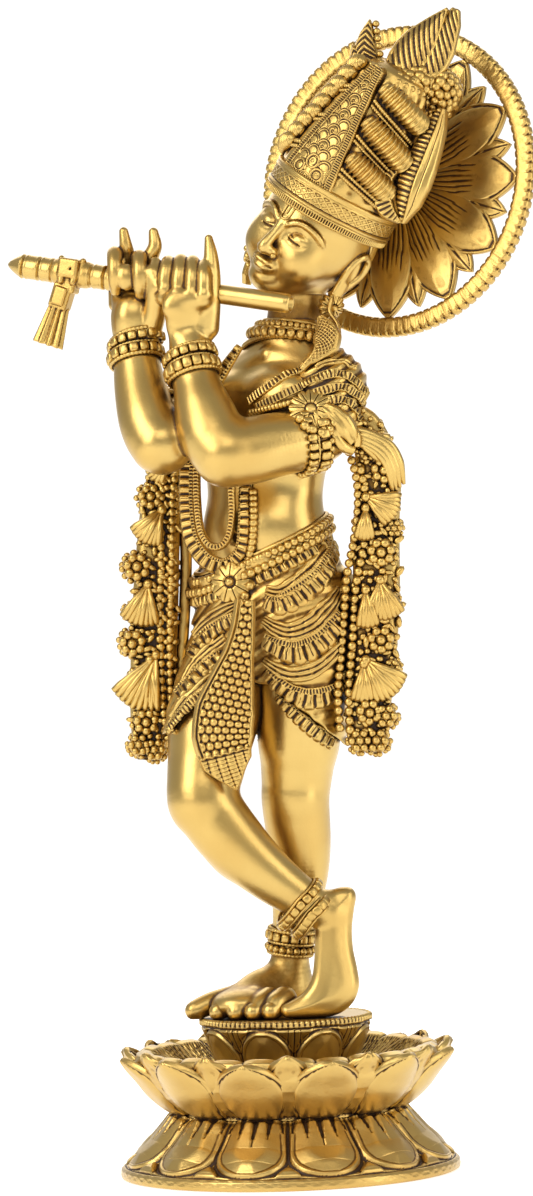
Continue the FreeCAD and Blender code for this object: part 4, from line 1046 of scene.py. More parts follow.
for i in range(12):
    an = math.radians(-52 + 15 + i * 30)
    k = math.sin(i * 2.7)
    lotus_leaf(tray, an, 0.62, [(43.2, 25.8), (48.6, 28.4), (54.6, 33.4), (59.4, 39.2), (63.6, 44.0), (66.6 + 0.5 * k, 48.2 + 0.5 * k)], 15.6, 3.0, dip=2.6, curl=-1.0,
               ribs=0 if i % 3 else 3, seed=i * 1.3, lip=0.55, point=1.12)
for i in range(12):
    an = math.radians(-52 + i * 30)
    k = math.cos(i * 1.9)
    lotus_leaf(tray, an, 0.7, [(46.0, 29.0), (52.0, 34.0), (56.6, 39.6), (60.0, 44.8), (62.4, 48.2), (62.0 + 0.6 * k, 50.6 + 0.4 * k)], 9.6, 2.6, dip=1.5, curl=-0.5, ribs=3,
               seed=7 + i * 1.1, lip=0.25, point=0.9)
tray.piece("upper_lotus_tier", M_BASE, "statue", ("lotus_tray",))

# ------------------------------------------------------------------ pedestal
ped = Mesh()
prof_p = even([(26.4, 34.0), (25.2, 37.4), (25.4, 41.0), (27.0, 46.0), (29.6, 51.4), (32.0, 56.0), (33.4, 59.0), (33.5, 60.4), (32.9, 60.95), (31.0, 61.0), (16.0, 61.0)], 150 // Q)


def ped_h(th, s, L):
    z = np.interp(s[0], np.linspace(0, L, len(prof_p)), prof_p[:, 1])[None]
    r_ = np.interp(s[0], np.linspace(0, L, len(prof_p)), prof_p[:, 0])[None]
    pitch = math.pi / 4
    ph = ((th + math.radians(-66)) / pitch + 0.5) % 1.0 * 2 - 1
    half = r_ * pitch / 2
    x = ph * half
    side = 1 - step(z, 58.2, 59.4)
    zt = 57.4
    kk = 12.0
    q = zt - z
    wide = np.where(q < kk, np.sqrt(np.clip(1 - ((kk - q) / kk) ** 2.0, 0, 1)), 1.0) * 0.93
    d = (wide - np.abs(ph)) * half * np.where(q < kk, 0.4 + 0.6 * np.clip(q / kk, 0, 1), 1.0)
    d = np.where(q < 0, q, np.minimum(d, q * 1.1))
    h = step(d, -0.1, 0.8) * 0.8 + step(d, 0.5, 6.0) * 1.3 + bump1(d, 0.9, 0.45) * 0.35 - bump1(d, -0.6, 0.6) * 0.5
    # leaf tips between the petals, with a cut down the middle
    p2 = (1 - np.abs(ph)) * half
    top2 = np.clip((57.6 - z) / 10.0, 0, 1)
    d2 = np.where(d < 0, (1 - top2) * 8.0 - p2, -1)
    h += step(d2, 0, 1.0) * 0.5 - np.where((d < 0) & (z < 57.6), 0.7 * np.clip(1 - p2 / 0.45, 0, 1), 0)
    h -= np.where((d < 0) & (z < 57.6), 0.45 * np.clip(1 - np.abs(p2 - 2.4) / 0.4, 0, 1), 0)
    for off, ln, w in ((-2.8, 7.6, 0.8), (2.8, 8.6, 0.8), (7.4, 4.5, 0.6), (-7.4, 4.5, 0.6)):
        t = (z - 38.0) / ln
        ww = np.clip(1 - t, 0, 1) * w
        h -= np.where((t > 0) & (t < 1), 0.95 * np.clip(1 - np.abs(x - off) / np.maximum(ww, 0.05), 0, 1) ** 0.7, 0)
    h *= side
    # hatched lip
    lip = step(z, 58.2, 58.9) * (r_ > 32.0)
    h = h + lip * 0.35 * np.cos(th * 96) - bump1(z, 58.2, 0.4) * 0.4 * (r_ > 30)
    inside = step(r_, 33.0, 31.5) * (z > 60.8)
    h += -inside * np.abs(0.10 * rough(th * 12, s * 0.9, 2.0))
    return h


turned(ped, prof_p, 640 // Q, ped_h, [(3.6, 60.9), (3.55, 52.2), (3.55, 33.2), (26.0, 33.2)])
ped.piece("top_pedestal", M_BASE, "statue", ("lotus_pedestal",))

# ------------------------------------------------------------------ halo
HC = H(2.3, -32.1, 31.7)


def halo_pt(a, b, c):
    return HC + SIDE * a + UP * b + FACE * c


HFR = np.stack([SIDE, UP, FACE], 1)
flower = Mesh()


def halo_leaf(mesh, ang, r0, r1, half, z0, thick, lines, inset=1.5, dome=1.0, n=56, m=42, groove=0.55, wide_at=0.52, centre=False):
    n, m = max(16, n // Q), max(14, m // Q)
    t = np.linspace(0, 1, n)
    # narrow at the heart, widest past the middle, pointed at the tip
    w = half * np.where(t < wide_at, 0.34 + 0.66 * np.sin(t / wide_at * math.pi / 2) ** 1.1,
                        np.clip(1 - ((t - wide_at) / (1 - wide_at)) ** 2.1, 0, 1) ** 0.86)
    w = np.maximum(w, 0.18)
    a = np.linspace(-1, 1, m)
    r = r0 + (r1 - r0) * t
    X = w[:, None] * a[None]
    R = r[:, None] + 0 * a[None]
    edge = (1 - np.abs(a[None])) * w[:, None]
    edge = np.minimum(edge, (r1 - R) * 0.62)
    h = dome * step(edge, 0, half * 0.8) + 0.25 * step(edge, 0, 0.8) - groove * bump1(edge, inset, 0.36)
    if lines:
        for k in range(lines):
            f = (k - (lines - 1) / 2) / max(1, (lines - 1) / 2) * 0.62
            wq = np.clip(1 - np.abs(X - f * np.minimum(w, half * 0.9)[:, None] * 0.85) / 0.42, 0, 1)
            fade = 1 - step(t, 0.42 + 0.10 * math.cos(k * 1.7), 0.62)
            h -= (0.34 * wq * fade[:, None]) * (edge > inset)
    if centre:
        h -= 0.35 * np.clip(1 - np.abs(X) / 0.4, 0, 1) * (edge > 0.3)
    ca, sa = math.cos(ang), math.sin(ang)

    def out(zz):
        aa = sa * R + ca * X
        bb = ca * R - sa * X
        return HC + aa[..., None] * SIDE + bb[..., None] * UP + zz[..., None] * FACE
    back = z0 - thick - 0.35 * step(edge, 0, 2.0) + 0.22 * bump1(edge, inset, 0.4)
    front = z0 + h
    sheet(mesh, out(back), out(front))


HUB0 = 1.2
for i in range(12):
    halo_leaf(flower, math.radians(30 * i), 9.0, 54.6, 11.2, HUB0 + (0.25 if i % 2 else 0.0), 2.2, 6)
for i in range(12):
    halo_leaf(flower, math.radians(30 * i + 15), 26.0, 51.5, 5.6, HUB0 - 0.55, 1.8, 0, inset=1.1, dome=0.8, n=36, m=22, groove=0.25, wide_at=0.5, centre=True)
hub = even([(33.0, -1.3), (34.4, -0.6), (34.6, 0.2), (32.0, 0.9), (22.0, 1.1), (13.0, 1.4), (6.0, 1.7), (0.5, 1.8)], 40)
turned(flower, hub, 240 // Q, lambda th, s, L: 0.12 * np.cos(th * 12) * step(s, 1, 4), [(0.5, -2.9), (6.0, -3.3), (10.5, -3.2), (11.5, -2.9), (22.0, -2.8), (31.0, -2.5)], centre=HC, axes=HFR)
flower.piece("halo_lotus_leaves", M_ORN, "halo", ("halo_lotus",))

ring = Mesh()
NR = 30
RT = 1296 // Q
ang = np.arange(NR) * 2 * math.pi / NR
# a rounded oblong section, 8 wide and 5.6 deep
ca, sa = np.cos(ang), np.sin(ang)
pw = 0.55
cx = np.sign(ca) * np.abs(ca) ** pw * 3.9
cz = np.sign(sa) * np.abs(sa) ** pw * 2.55
th = np.arange(RT) * 2 * math.pi / RT
NN = 104
wave = np.cos(th[:, None] * NN + cx[None] * 0.35)
edge_mask = np.where(cx > 0, step(cx, 0.8, 3.4), 0.7 * step(-cx, 2.6, 3.7))[None]
hatch = np.cos(th * NN + np.sign(cx)[0] * 0.0)[:, None]
dent = np.clip((wave - 0.30) / 0.70, 0, 1) ** 0.8
face_side = (np.abs(cz) > 1.2)[None]
sc = 1.0 - 0.15 * dent * edge_mask
lift = -0.60 * dent * edge_mask * np.sign(cz)[None] * face_side
mid_groove = -0.18 * bump1(cx, 0, 1.2)[None] * (cz > 1.2)[None]
wav = 0.06 * np.sin(th * 37)[:, None] * (cz > 1)[None] + 0.05 * rough(th * 40, th * 3, 2.0)[:, None]
rr = 58.0 + cx[None] * sc
zz = 1.0 + cz[None] * (1 + 0 * sc) + lift + mid_groove * np.sign(cz)[None] + wav
V3 = HC + (np.sin(th)[:, None] * rr)[..., None] * SIDE + (np.cos(th)[:, None] * rr)[..., None] * UP + zz[..., None] * FACE
ring.add(V3.reshape(-1, 3), grid_faces(RT, NR, True, True, flip=True))
ring.piece("halo_outer_ring", M_ORN, "halo", ("halo_ring",))

# ------------------------------------------------------------------ head
CR = np.stack([FACE, SIDE, UP], 1)          # x facing, y sideways, z up: right-handed
HV = 0.36
face = Clay(HEAD - 34, HEAD + 34, HV)
face.egg(H(0, -2, 4), (22.0, 24.6, 24.4), HM)
face.egg(H(0, 6.0, -7.5), (15.6, 14.6, 18.5), HM, k=5)
face.egg(H(0, 13.0, -21.6), (7.4, 7.2, 5.4), HM, k=5)                       # chin
for sgn in (1, -1):
    face.egg(H(9.6 * sgn, 12.2, -8.6), (8.0, 8.2, 9.0), HM, k=5)           # cheek
    face.egg(H(8.4 * sgn, 24.2, -0.4), (6.4, 4.9, 3.6), HM, k=3.0, out=True)
    face.egg(H(8.2 * sgn, 15.4, -1.3), (5.7, 5.2, 3.5), HM, k=0.5)         # the eye under its lid
    lid = smooth_path([H(a * sgn, b, c) for a, b, c in ((3.5, 19.9, -2.0), (5.8, 20.6, -2.7), (8.2, 20.2, -3.0), (10.6, 19.0, -2.7), (12.6, 17.4, -1.9))], 12)
    for i in range(len(lid) - 1):
        face.cone(lid[i] + UP * 0.75, lid[i + 1] + UP * 0.75, 0.42, 0.42, k=0.25)
        face.cone(lid[i] - UP * 0.85, lid[i + 1] - UP * 0.85, 0.36, 0.36, k=0.25)
        face.cone(lid[i], lid[i + 1], 0.34, 0.34, out=True)
    brow = smooth_path([H(a * sgn, b, c) for a, b, c in ((2.8, 22.9, 1.9), (6.0, 22.4, 4.4), (10.0, 20.6, 5.0), (14.2, 17.2, 3.6), (16.4, 14.4, 1.4))], 12)
    for i in range(len(brow) - 1):
        face.cone(brow[i], brow[i + 1], 0.70, 0.70, k=1.3)
    crease = smooth_path([H(a * sgn, b, c) for a, b, c in ((3.4, 20.4, 0.8), (6.0, 20.6, 2.2), (9.4, 19.6, 2.3), (12.9, 17.0, 1.0))], 10)
    face.egg(H(2.7 * sgn, 22.6, -10.3), (2.0, 2.5, 1.9), HM, k=1.3)        # wing of the nose
    face.egg(H(1.5 * sgn, 23.9, -12.5), (0.7, 0.9, 0.5), HM, k=0.5, out=True)
    # ear: rim, hollow, long lobe
    ear = [H(a * sgn, b, c) for a, b, c in ((21.2, -1.8, -8.5), (21.9, -1.4, -3.5), (22.6, -2.6, 1.6), (23.0, -6.0, 3.8), (23.2, -9.2, 1.4), (22.8, -9.4, -4.0), (22.0, -6.4, -9.4), (21.6, -4.0, -13.6), (21.4, -2.8, -16.8), (21.2, -1.4, -13.4), (21.2, -1.6, -8.5))]
    ear = smooth_path(ear, 34)
    face.egg(H(20.6 * sgn, -5.0, -4.0), (2.0, 4.6, 7.6), HM, k=1.0)
    for i in range(len(ear) - 1):
        face.cone(ear[i], ear[i + 1], 1.25, 1.25, k=0.6)
    face.egg(H(23.0 * sgn, -4.6, -3.0), (1.5, 2.2, 4.2), HM, k=1.0, out=True)
    face.cone(H(21.4 * sgn, -3.6, -9.5), H(21.3 * sgn, -2.8, -15.6), 1.9, 2.2, k=1.0)
face.limb([H(0, 21.6, 2.6), H(0, 23.4, -2.5), H(0, 25.6, -8.6), H(0, 25.4, -10.2)], [1.7, 1.8, 2.3, 2.5], k=2.2)
face.egg(H(0, 20.2, -15.9), (5.6, 2.9, 3.4), HM, k=2.0)
for sgn in (1, -1):
    face.egg(H(1.9 * sgn, 22.1, -15.0), (2.6, 1.4, 1.0), HM, k=0.9)
face.egg(H(0, 21.7, -17.5), (3.3, 1.6, 1.25), HM, k=0.9)
mouth = smooth_path([H(a, b, c) for a, b, c in ((-4.9, 21.2, -16.1), (-2.4, 23.2, -16.5), (0, 23.7, -16.3), (2.4, 23.2, -16.5), (4.9, 21.2, -16.1))], 14)
for i in range(len(mouth) - 1):
    face.cone(mouth[i], mouth[i + 1], 0.34, 0.34, out=True)
face.cone(P(11.9, 2.4, 327), H(0, -5, -14), 10.5, 10.8, k=4)             # neck
# hair: a ribbed cap that shows behind the ears
def hair(X, Y, Z):
    q = [((X - HEAD[0]) * M[0] + (Y - HEAD[1]) * M[1] + (Z - HEAD[2]) * M[2]) for M in (SIDE, FACE, UP)]
    a, b, c = q[0], q[1] + 3.5, q[2] - 2.0
    k0 = np.sqrt((a / 22.9) ** 2 + (b / 23.6) ** 2 + (c / 25.2) ** 2)
    d = (k0 - 1) * 22.0
    ang_ = np.arctan2(a, -b)
    d = d + 0.38 * np.cos(ang_ * 34 + c * 0.12)
    return np.maximum(np.maximum(d, b + 5.0 - 0.18 * c), -(c + 19.0))
face.join(hair, HEAD - 30, HEAD + 30, 0.8)
v, f = face.mesh()
make_piece("head_and_neck", v, f, M_SKIN, "statue", ("head",))

marks = Mesh()
def on_face(pts, off=0.25, steps=7):
    return face.settle(np.array(pts), off, steps)
for a in (-1.9, 1.9):
    sweep(marks, on_face(smooth_path([H(a, 23.5, c) for c in (9.5, 7.0, 4.6)], 14)), 0.5, hint=FACE, nu=8)
sweep(marks, on_face(smooth_path([H(-1.9, 23.5, 4.6), H(-1.2, 23.6, 3.5), H(0, 23.8, 3.0), H(1.2, 23.6, 3.5), H(1.9, 23.5, 4.6)], 14)), 0.5, hint=FACE, nu=8)
sweep(marks, on_face(smooth_path([H(0, 23.5, c) for c in (9.5, 7.0, 5.4)], 10)), 0.42, hint=FACE, nu=8)
beads(marks, on_face([H(3.9, 23.6, -10.8)], 0.5), 1.15)
marks.piece("forehead_mark_and_nose_stud", M_ORN, "statue", ())

# ------------------------------------------------------------------ crown
RB = 26.0
EL = (26.9 / 26.0, 25.3 / 26.0)
CC = H(0, -1, 0)
band = Mesh()
prof_b = even([(24.9, 8.9), (25.7, 8.9), (26.2, 9.5), (26.4, 12.0), (26.2, 15.0), (26.3, 18.0), (26.6, 20.4), (26.4, 21.4), (25.4, 21.8)], 84 // Q)


def band_h(th, s, L):
    c = np.interp(s[0], np.linspace(0, L, len(prof_b)), prof_b[:, 1])[None]
    keep = 1 - 0.75 * (np.cos(th) < -0.82)
    rope = (c > 9.6) & (c < 11.4)
    h = np.where(rope, 0.28 * np.cos(th * 150), 0) + 0.30 * (bump1(c, 9.35, 0.3) + bump1(c, 11.7, 0.3))
    h = h + 0.55 * bump1(c, 12.9, 0.55) - 0.25 * bump1(c, 13.8, 0.25)
    dm = (c > 14.1) & (c < 18.7)
    A, B = th * 26.0 * 1.6, c * 1.6
    net = np.maximum(np.cos(A + B * 1.5), np.cos(A - B * 1.5))
    h = h + np.where(dm, 0.26 * step(net, 0.35, 0.95) - 0.12, 0)
    h = h + 0.35 * bump1(c, 19.0, 0.3) + 0.35 * bump1(c, 20.9, 0.5)
    return h * keep


turned(band, prof_b, 1440 // Q, band_h, [(23.8, 21.4), (23.4, 15.0), (23.8, 9.2)], centre=CC, axes=CR, ell=EL)
band.piece("crown_head_band", M_ORN, "statue", ("crown_band",))

cbody = Mesh()
prof_c = even([(24.6, 20.0), (25.2, 22.0), (24.8, 26.0), (23.2, 35.0), (21.0, 45.0), (18.6, 55.0), (16.4, 63.0), (15.0, 68.5), (13.4, 71.5), (10.0, 73.2), (5.0, 74.2), (0.4, 74.4)], 130 // Q)


def cbody_h(th, s, L):
    c = np.interp(s[0], np.linspace(0, L, len(prof_c)), prof_c[:, 1])[None]
    h = 0.35 * np.cos(th * 20) * step(c, 21, 25) * (1 - step(c, 66, 71))
    back = np.cos(th) < -0.75
    net = np.maximum(np.cos(th * 30 + c * 1.3), np.cos(th * 30 - c * 1.3))
    h = h + 0.0 * net
    rows = np.cos(c * math.pi / 3.0)
    h = h + np.where(np.cos(th) < -0.2, 0.30 * step(rows, 0.2, 0.9) - 0.1, 0)
    h = h - 0.35 * (back)
    return h


turned(cbody, prof_c, 480 // Q, cbody_h, [(0.4, 22.0), (20.0, 20.6)], centre=CC, axes=CR, ell=EL)
# twisted top knot that the feather stands in
sweep(cbody, smooth_path([H(-6, -2, 72), H(0, -4, 74.5), H(6, -2, 73.5), H(10, 2, 70)], 60), [3.0 + 0.5 * math.cos(i * 1.3) for i in range(60)], hint=UP, nu=16)
beads(cbody, [H(13 * math.sin(t), -1 + 13.5 * math.cos(t), 69.6) for t in np.linspace(0.6, 5.7, 24)], 1.6)
beads(cbody, [H(10.4 * math.sin(t), -1 + 10.8 * math.cos(t), 72.0) for t in np.linspace(0.5, 5.8, 20)], 1.5)
cbody.piece("crown_cap", M_ORN, "statue", ("crown_body",))


# the tall front plate, covered in scales
def plate_surface(n, m, zoff):
    V_ = np.linspace(0, 1, n)[:, None]
    A_ = np.linspace(-1, 1, m)[None]
    w = (12.4 - 9.6 * V_ ** 1.15)
    w = w * np.sqrt(np.clip(1 - (np.clip(V_ - 0.965, 0, 1) / 0.037) ** 2, 0.02, 1))
    X = A_ * w
    c = 20.8 + 50.8 * V_
    bend = 0.020 * X ** 2 * (1 - 0.2 * V_)
    b = 25.0 - 8.4 * V_ ** 1.25 - bend
    return X, c, b, w


def scales(X, Yv, W):
    """Overlapping scales with round tops; returns a height in millimetres."""
    h = np.zeros_like(X) + 0.0
    p = 5.6
    rows = int(52 / (p * 0.62)) + 2
    for j in range(rows, -1, -1):
        cy = j * p * 0.62
        odd = j % 2
        for i in range(-4, 5):
            cx = (i + 0.5 * odd) * p
            r = np.sqrt((X - cx) ** 2 + ((Yv - cy) * 1.0) ** 2)
            inside = (r < p * 0.60) & (Yv - cy > -p * 0.75)
            val = 0.55 - 0.10 * (Yv - cy) / p
            val = val - 0.42 * bump1(r, p * 0.60 - 0.35, 0.26) - 0.36 * bump1(r, p * 0.60 - 1.25, 0.26)
            if i == 0 and not odd:
                val = val + 0.30 * bump1(r, 0.95, 0.32) - 0.3 * bump1(r, 0.5, 0.2) + 0.35 * bump1(r, 0.0, 0.35)
            h = np.where(inside, val, h)
    return h


n_, m_ = 250 // Q, 130 // Q
X, cc, bb, ww = plate_surface(n_, m_, 0)
Yv = (cc - 20.8) + 0 * X
hh = scales(X, Yv, ww)
edge = (ww - np.abs(X))
border = edge < 2.6
hatchb = 0.35 + 0.22 * np.cos(Yv * 2 * math.pi / 0.95)
hh = np.where(border, hatchb, hh)
hh = hh + 0.35 * bump1(edge, 2.7, 0.28) + 0.4 * bump1(edge, 0.35, 0.35) - 0.25 * bump1(edge, 3.2, 0.2)
for (x0, y0, r0) in ((-4.6, 3.4, 2.9), (4.6, 3.4, 2.9), (0.0, 7.4, 3.1)):
    r = np.sqrt((X - x0) ** 2 + (Yv - y0) ** 2)
    val = 0.55 + 0.40 * bump1(r, r0 - 0.5, 0.42) - 0.35 * bump1(r, r0 - 1.25, 0.3) + 0.45 * bump1(r, 0.0, 0.8) + 0.15 * bump1(r, 1.45, 0.2)
    hh = np.where(r < r0, val, hh)
low = Yv < 1.4
hh = np.where(low, 0.5 + 0.2 * np.cos(X * 2 * math.pi / 1.0), hh)
front = H(0, 0, 0) + X[..., None] * SIDE + (bb + hh)[..., None] * FACE + (cc + 0 * X)[..., None] * UP
backg = H(0, 0, 0) + X[..., None] * SIDE + (bb - 3.4 + 0.6 * (np.abs(X) / 12.4))[..., None] * FACE + (cc + 0 * X)[..., None] * UP
plate = Mesh()
sheet(plate, backg, front)
plate.piece("crown_front_plate_scales", M_ORN, "statue", ("crown_front_plate",))


def crown_pt(phi, c, off=0.0):
    rs = 25.8 - 10.8 * (c - 21) / 49
    return H((rs + off) * math.sin(phi), -1 + (rs * 1.05 + off) * math.cos(phi), c)


def roll(mesh, phi0, phi1, c0, c1, r, ribs, sgn):
    n = ribs * 10
    t = np.linspace(0, 1, n)
    pts = np.array([crown_pt(sgn * math.radians(phi0 + (phi1 - phi0) * k), c0 + (c1 - c0) * k, r * 0.45) for k in t])
    env = np.sqrt(np.clip(1 - np.abs(2 * t - 1) ** 5.0, 0.03, 1))
    rad = r * env * (1 + 0.13 * np.cos(t * ribs * 2 * math.pi + math.pi) - 0.05)
    sweep(mesh, pts, rad, hint=UP, nu=22)


def bead_row(mesh, phi0, phi1, c0, c1, off, r, n, sgn):
    beads(mesh, [crown_pt(sgn * math.radians(phi0 + (phi1 - phi0) * k), c0 + (c1 - c0) * k, off) for k in np.linspace(0, 1, n)], r, nu=8, nv=6)


for sgn, nm, node in ((1, "left_crown_wound_rolls", "left_crown_rolls"), (-1, "right_crown_wound_rolls", "right_crown_rolls")):
    rl = Mesh()
    for (p0, p1, a0, a1, rr_, nb) in ((19, 98, 66.0, 57.5, 4.6, 13), (23, 90, 52.0, 42.0, 5.0, 14), (27, 80, 37.2, 30.2, 4.6, 12)):
        if sgn < 0:
            for k_ in (0.0, 5.2, 10.4):
                roll(rl, p0 + 12, p1 + 4, a0 + 3.4 - k_, a1 + 3.0 - k_, 3.5, nb, sgn)
            continue
        roll(rl, p0, p1, a0, a1, rr_, nb, sgn)
    for (p0, p1, a0, a1, n) in ((21, 96, 59.4, 49.8, 22), (25, 90, 44.8, 36.0, 22), (29, 84, 31.2, 25.0, 20)):
        bead_row(rl, p0, p1, a0, a1, 0.7, 1.0, n, sgn)
        bead_row(rl, p0, p1, a0 - 2.1, a1 - 2.1, 0.6, 0.8, n + 4, sgn)
    rl.piece(nm, M_ORN, "statue", (node,))


def leaf(mesh, path, width, normal, thick, front_fn, back_fn=None, n=60, m=40, cup=0.0):
    """A free leaf along path: width at each point, facing normal."""
    n, m = max(16, n // Q), max(12, m // Q)
    p = smooth_path(path, n)
    t = np.linspace(0, 1, n)
    w = np.maximum(np.interp(t, np.linspace(0, 1, len(width)), width), 0.15)
    L = length_of(p)
    tg = np.gradient(p, axis=0)
    A = np.linspace(-1, 1, m)[None]
    T = t[:, None]
    X = w[:, None] * A
    edge = (1 - np.abs(A)) * w[:, None]
    nx = np.zeros((n, 3))
    xx = np.zeros((n, 3))
    for i in range(n):
        tt = unit(tg[i])
        nn = unit(normal - tt * np.dot(normal, tt))
        nx[i] = nn
        xx[i] = np.cross(tt, nn)
    hf = front_fn(X, T * L, edge, w[:, None], L) + thick * 0.5 * np.clip(edge / 0.8, 0.1, 1) ** 0.5
    hb = (back_fn(X, T * L, edge, w[:, None], L) if back_fn else 0.3 * step(edge, 0, 2)) + thick * 0.5 * np.clip(edge / 0.8, 0.1, 1) ** 0.5
    bend = -cup * (X / w.max()) ** 2
    F_ = p[:, None] + xx[:, None] * X[..., None] + nx[:, None] * (hf + bend)[..., None]
    B_ = p[:, None] + xx[:, None] * X[..., None] + nx[:, None] * (-hb + bend)[..., None]
    sheet(mesh, B_, F_)


VIEW_N = unit(P(-0.25, 0.93, 0.15))
feather = Mesh()


def vane(X, Y, e, w, L):
    ribs = np.cos((Y * 0.80 + X * VANE_K + 0.016 * Y * X) * 2 * math.pi / 2.5)
    return 1.0 * step(e, 0, 5.0) + 0.32 * ribs * step(e, 0.7, 1.8) + 0.25 * bump1(e, 0.5, 0.4)


VANE_K = 0.62


tip_f = P(79.0, 17.0, 449.6)
root_f = H(4.0, 2, 66.5)
across = unit(np.cross(unit(tip_f - root_f), VIEW_N))
leaf(feather, [root_f + across * 3.0, (root_f * 0.5 + tip_f * 0.5) + across * 3.8 + VIEW_N * 1.2, tip_f + across * 1.2 - unit(tip_f - root_f) * 1.0], (4.0, 6.4, 7.2, 7.6, 7.2, 5.8, 4.6, 2.0), VIEW_N, 2.6, vane, vane, cup=1.0)
leaf(feather, [root_f - across * 4.2 + VIEW_N * 2.2, (root_f * 0.5 + tip_f * 0.5) - across * 3.0 + VIEW_N * 3.2, tip_f - across * 1.4 - unit(tip_f - root_f) * 2.6 + VIEW_N * 1.6], (3.4, 6.4, 7.8, 7.9, 6.9, 5.0, 3.0, 0.8), VIEW_N, 2.4, vane, vane, cup=1.2)
c_f = root_f * 0.62 + tip_f * 0.38 - across * 8.0 + VIEW_N * 2.0
ring_pts = [c_f + (unit(tip_f - root_f) * math.cos(t) + across * math.sin(t)) * 1.7 for t in np.linspace(0, 2 * math.pi, 24, endpoint=False)]
sweep(feather, ring_pts, 0.7, hint=VIEW_N, nu=8, close=True)
beads(feather, [c_f + VIEW_N * 0.3], 0.9)
leaf(feather, [root_f - across * 4.5, c_f - unit(tip_f - root_f) * 4, c_f + unit(tip_f - root_f) * 3.5], (2.6, 3.4, 2.8, 0.4), VIEW_N, 2.2, lambda X, Y, e, w, L: 0.5 * step(e, 0, 2) + 0.3 * np.cos(X * 3.4) * step(e, 0.3, 1), n=40, m=24)
beads(feather, [root_f + across * a + VIEW_N * 4.4 + UP * 0.6 for a in (-6, -3.4, -0.8, 1.8, 4.4)], 1.7)
feather.piece("crown_double_feather", M_ORN, "statue", ("crown_feather",))

tuft = Mesh()
tip_t = P(46.7, 14, 446.0)
root_t = H(-5, 5, 64.5)
ax_t = unit(tip_t - root_t)
ac_t = unit(np.cross(ax_t, VIEW_N))


def ribs_only(X, Y, e, w, L):
    return 0.6 * step(e, 0, 3) + 0.4 * np.cos((Y + np.abs(X) * 0.9) * 2 * math.pi / 2.5) * step(e, 0.5, 1.6)


leaf(tuft, [root_t - ac_t * 1.5, root_t * 0.5 + tip_t * 0.5 - ac_t * 3.4, tip_t - ac_t * 0.6], (3.6, 5.0, 5.2, 4.4, 3.0, 0.4), VIEW_N, 3.2, ribs_only, ribs_only, cup=0.8)
leaf(tuft, [root_t - ac_t * 6.0 - VIEW_N, root_t * 0.62 + tip_t * 0.38 - ac_t * 7.0, root_t * 0.35 + tip_t * 0.65 - ac_t * 8.2], (2.6, 4.2, 4.0, 2.4, 0.4), VIEW_N, 2.8, ribs_only, ribs_only, cup=0.8, n=44, m=28)
beads(tuft, smooth_path([root_t + ac_t * 3.4 + VIEW_N * 2.6, root_t * 0.5 + tip_t * 0.5 + ac_t * 2.6 + VIEW_N * 2.2, tip_t + ac_t * 1.6 - ax_t * 2.0], 8), 1.45)
beads(tuft, [root_t + ac_t * a + VIEW_N * 3.4 + ax_t * b for a, b in ((3.0, -1.8), (0.4, -2.4), (-2.4, -2.2), (5.4, -0.4), (-5.0, -1.2))], 2.0)
tuft.piece("crown_small_tuft", M_ORN, "statue", ("crown_tuft",))

plume = Mesh()
knot = P(71.5, 14, 414.5)


def plume_h(X, Y, e, w, L):
    left_side = X < 0.05 * w
    hat = 0.35 * np.cos(Y * 2 * math.pi / 1.9)
    base_h = 1.6 * np.sqrt(np.clip(1 - (X / w) ** 2, 0, 1))
    return base_h + np.where(left_side, hat * step(e, 0.5, 1.2) - 0.3, 0) - 0.6 * bump1(X, 0.05 * w, 0.4) - 0.4 * bump1(X, 0.48 * w, 0.35) - 0.3 * bump1(e, 0.7, 0.3) * left_side


ax_p = unit(P(71.8, 14, 408.5) - P(54.2, 17, 369))
ac_p = unit(np.cross(ax_p, VIEW_N))
leaf(plume, [P(56.0, 27.0, 366.0), P(60.0, 30.6, 380.0), P(66.6, 29.4, 395.0), P(72.6, 25.6, 408.5)], (1.2, 5.4, 7.0, 6.8, 5.8, 4.6, 2.2), VIEW_N, 4.0, plume_h, None, n=90, m=44, cup=1.0)
curl = smooth_path([P(54.2, 28.0, 366.4), P(49.6, 29.4, 371.0), P(48.0, 29.6, 378.0), P(51.4, 29.4, 384.6), P(55.4, 29.0, 386.0)], 40)
leaf(plume, [curl[0], curl[10], curl[20], curl[30], curl[39]], (1.0, 3.4, 4.2, 3.4, 0.8), VIEW_N, 3.0, lambda X, Y, e, w, L: 1.0 * np.sqrt(np.clip(1 - (X / w) ** 2, 0, 1)) + 0.32 * np.cos(Y * 2 * math.pi / 1.7) * step(e, 0.4, 1.2), n=60, m=26)
kr = np.stack([ac_p, VIEW_N, ax_p], 1)
for j, (al, nb) in enumerate(((-1.05, 7), (-0.55, 9), (-0.05, 10), (0.45, 9), (0.95, 7))):
    for i in range(nb):
        be = (i / (nb - 1) - 0.5) * 3.9
        d_ = kr @ np.array([math.sin(be) * math.cos(al), math.cos(be) * math.cos(al), math.sin(al)])
        beads(plume, [knot + d_ * np.array([7.0]) + ax_p * 1.2 * math.sin(al)], 1.75 if j % 2 == 0 else 1.5, nu=8, nv=6)
beads(plume, [knot], 6.4, nu=16, nv=10)
krs = np.random.RandomState(5)
SIDE_V = unit(P(1, 0.0, 0.12))
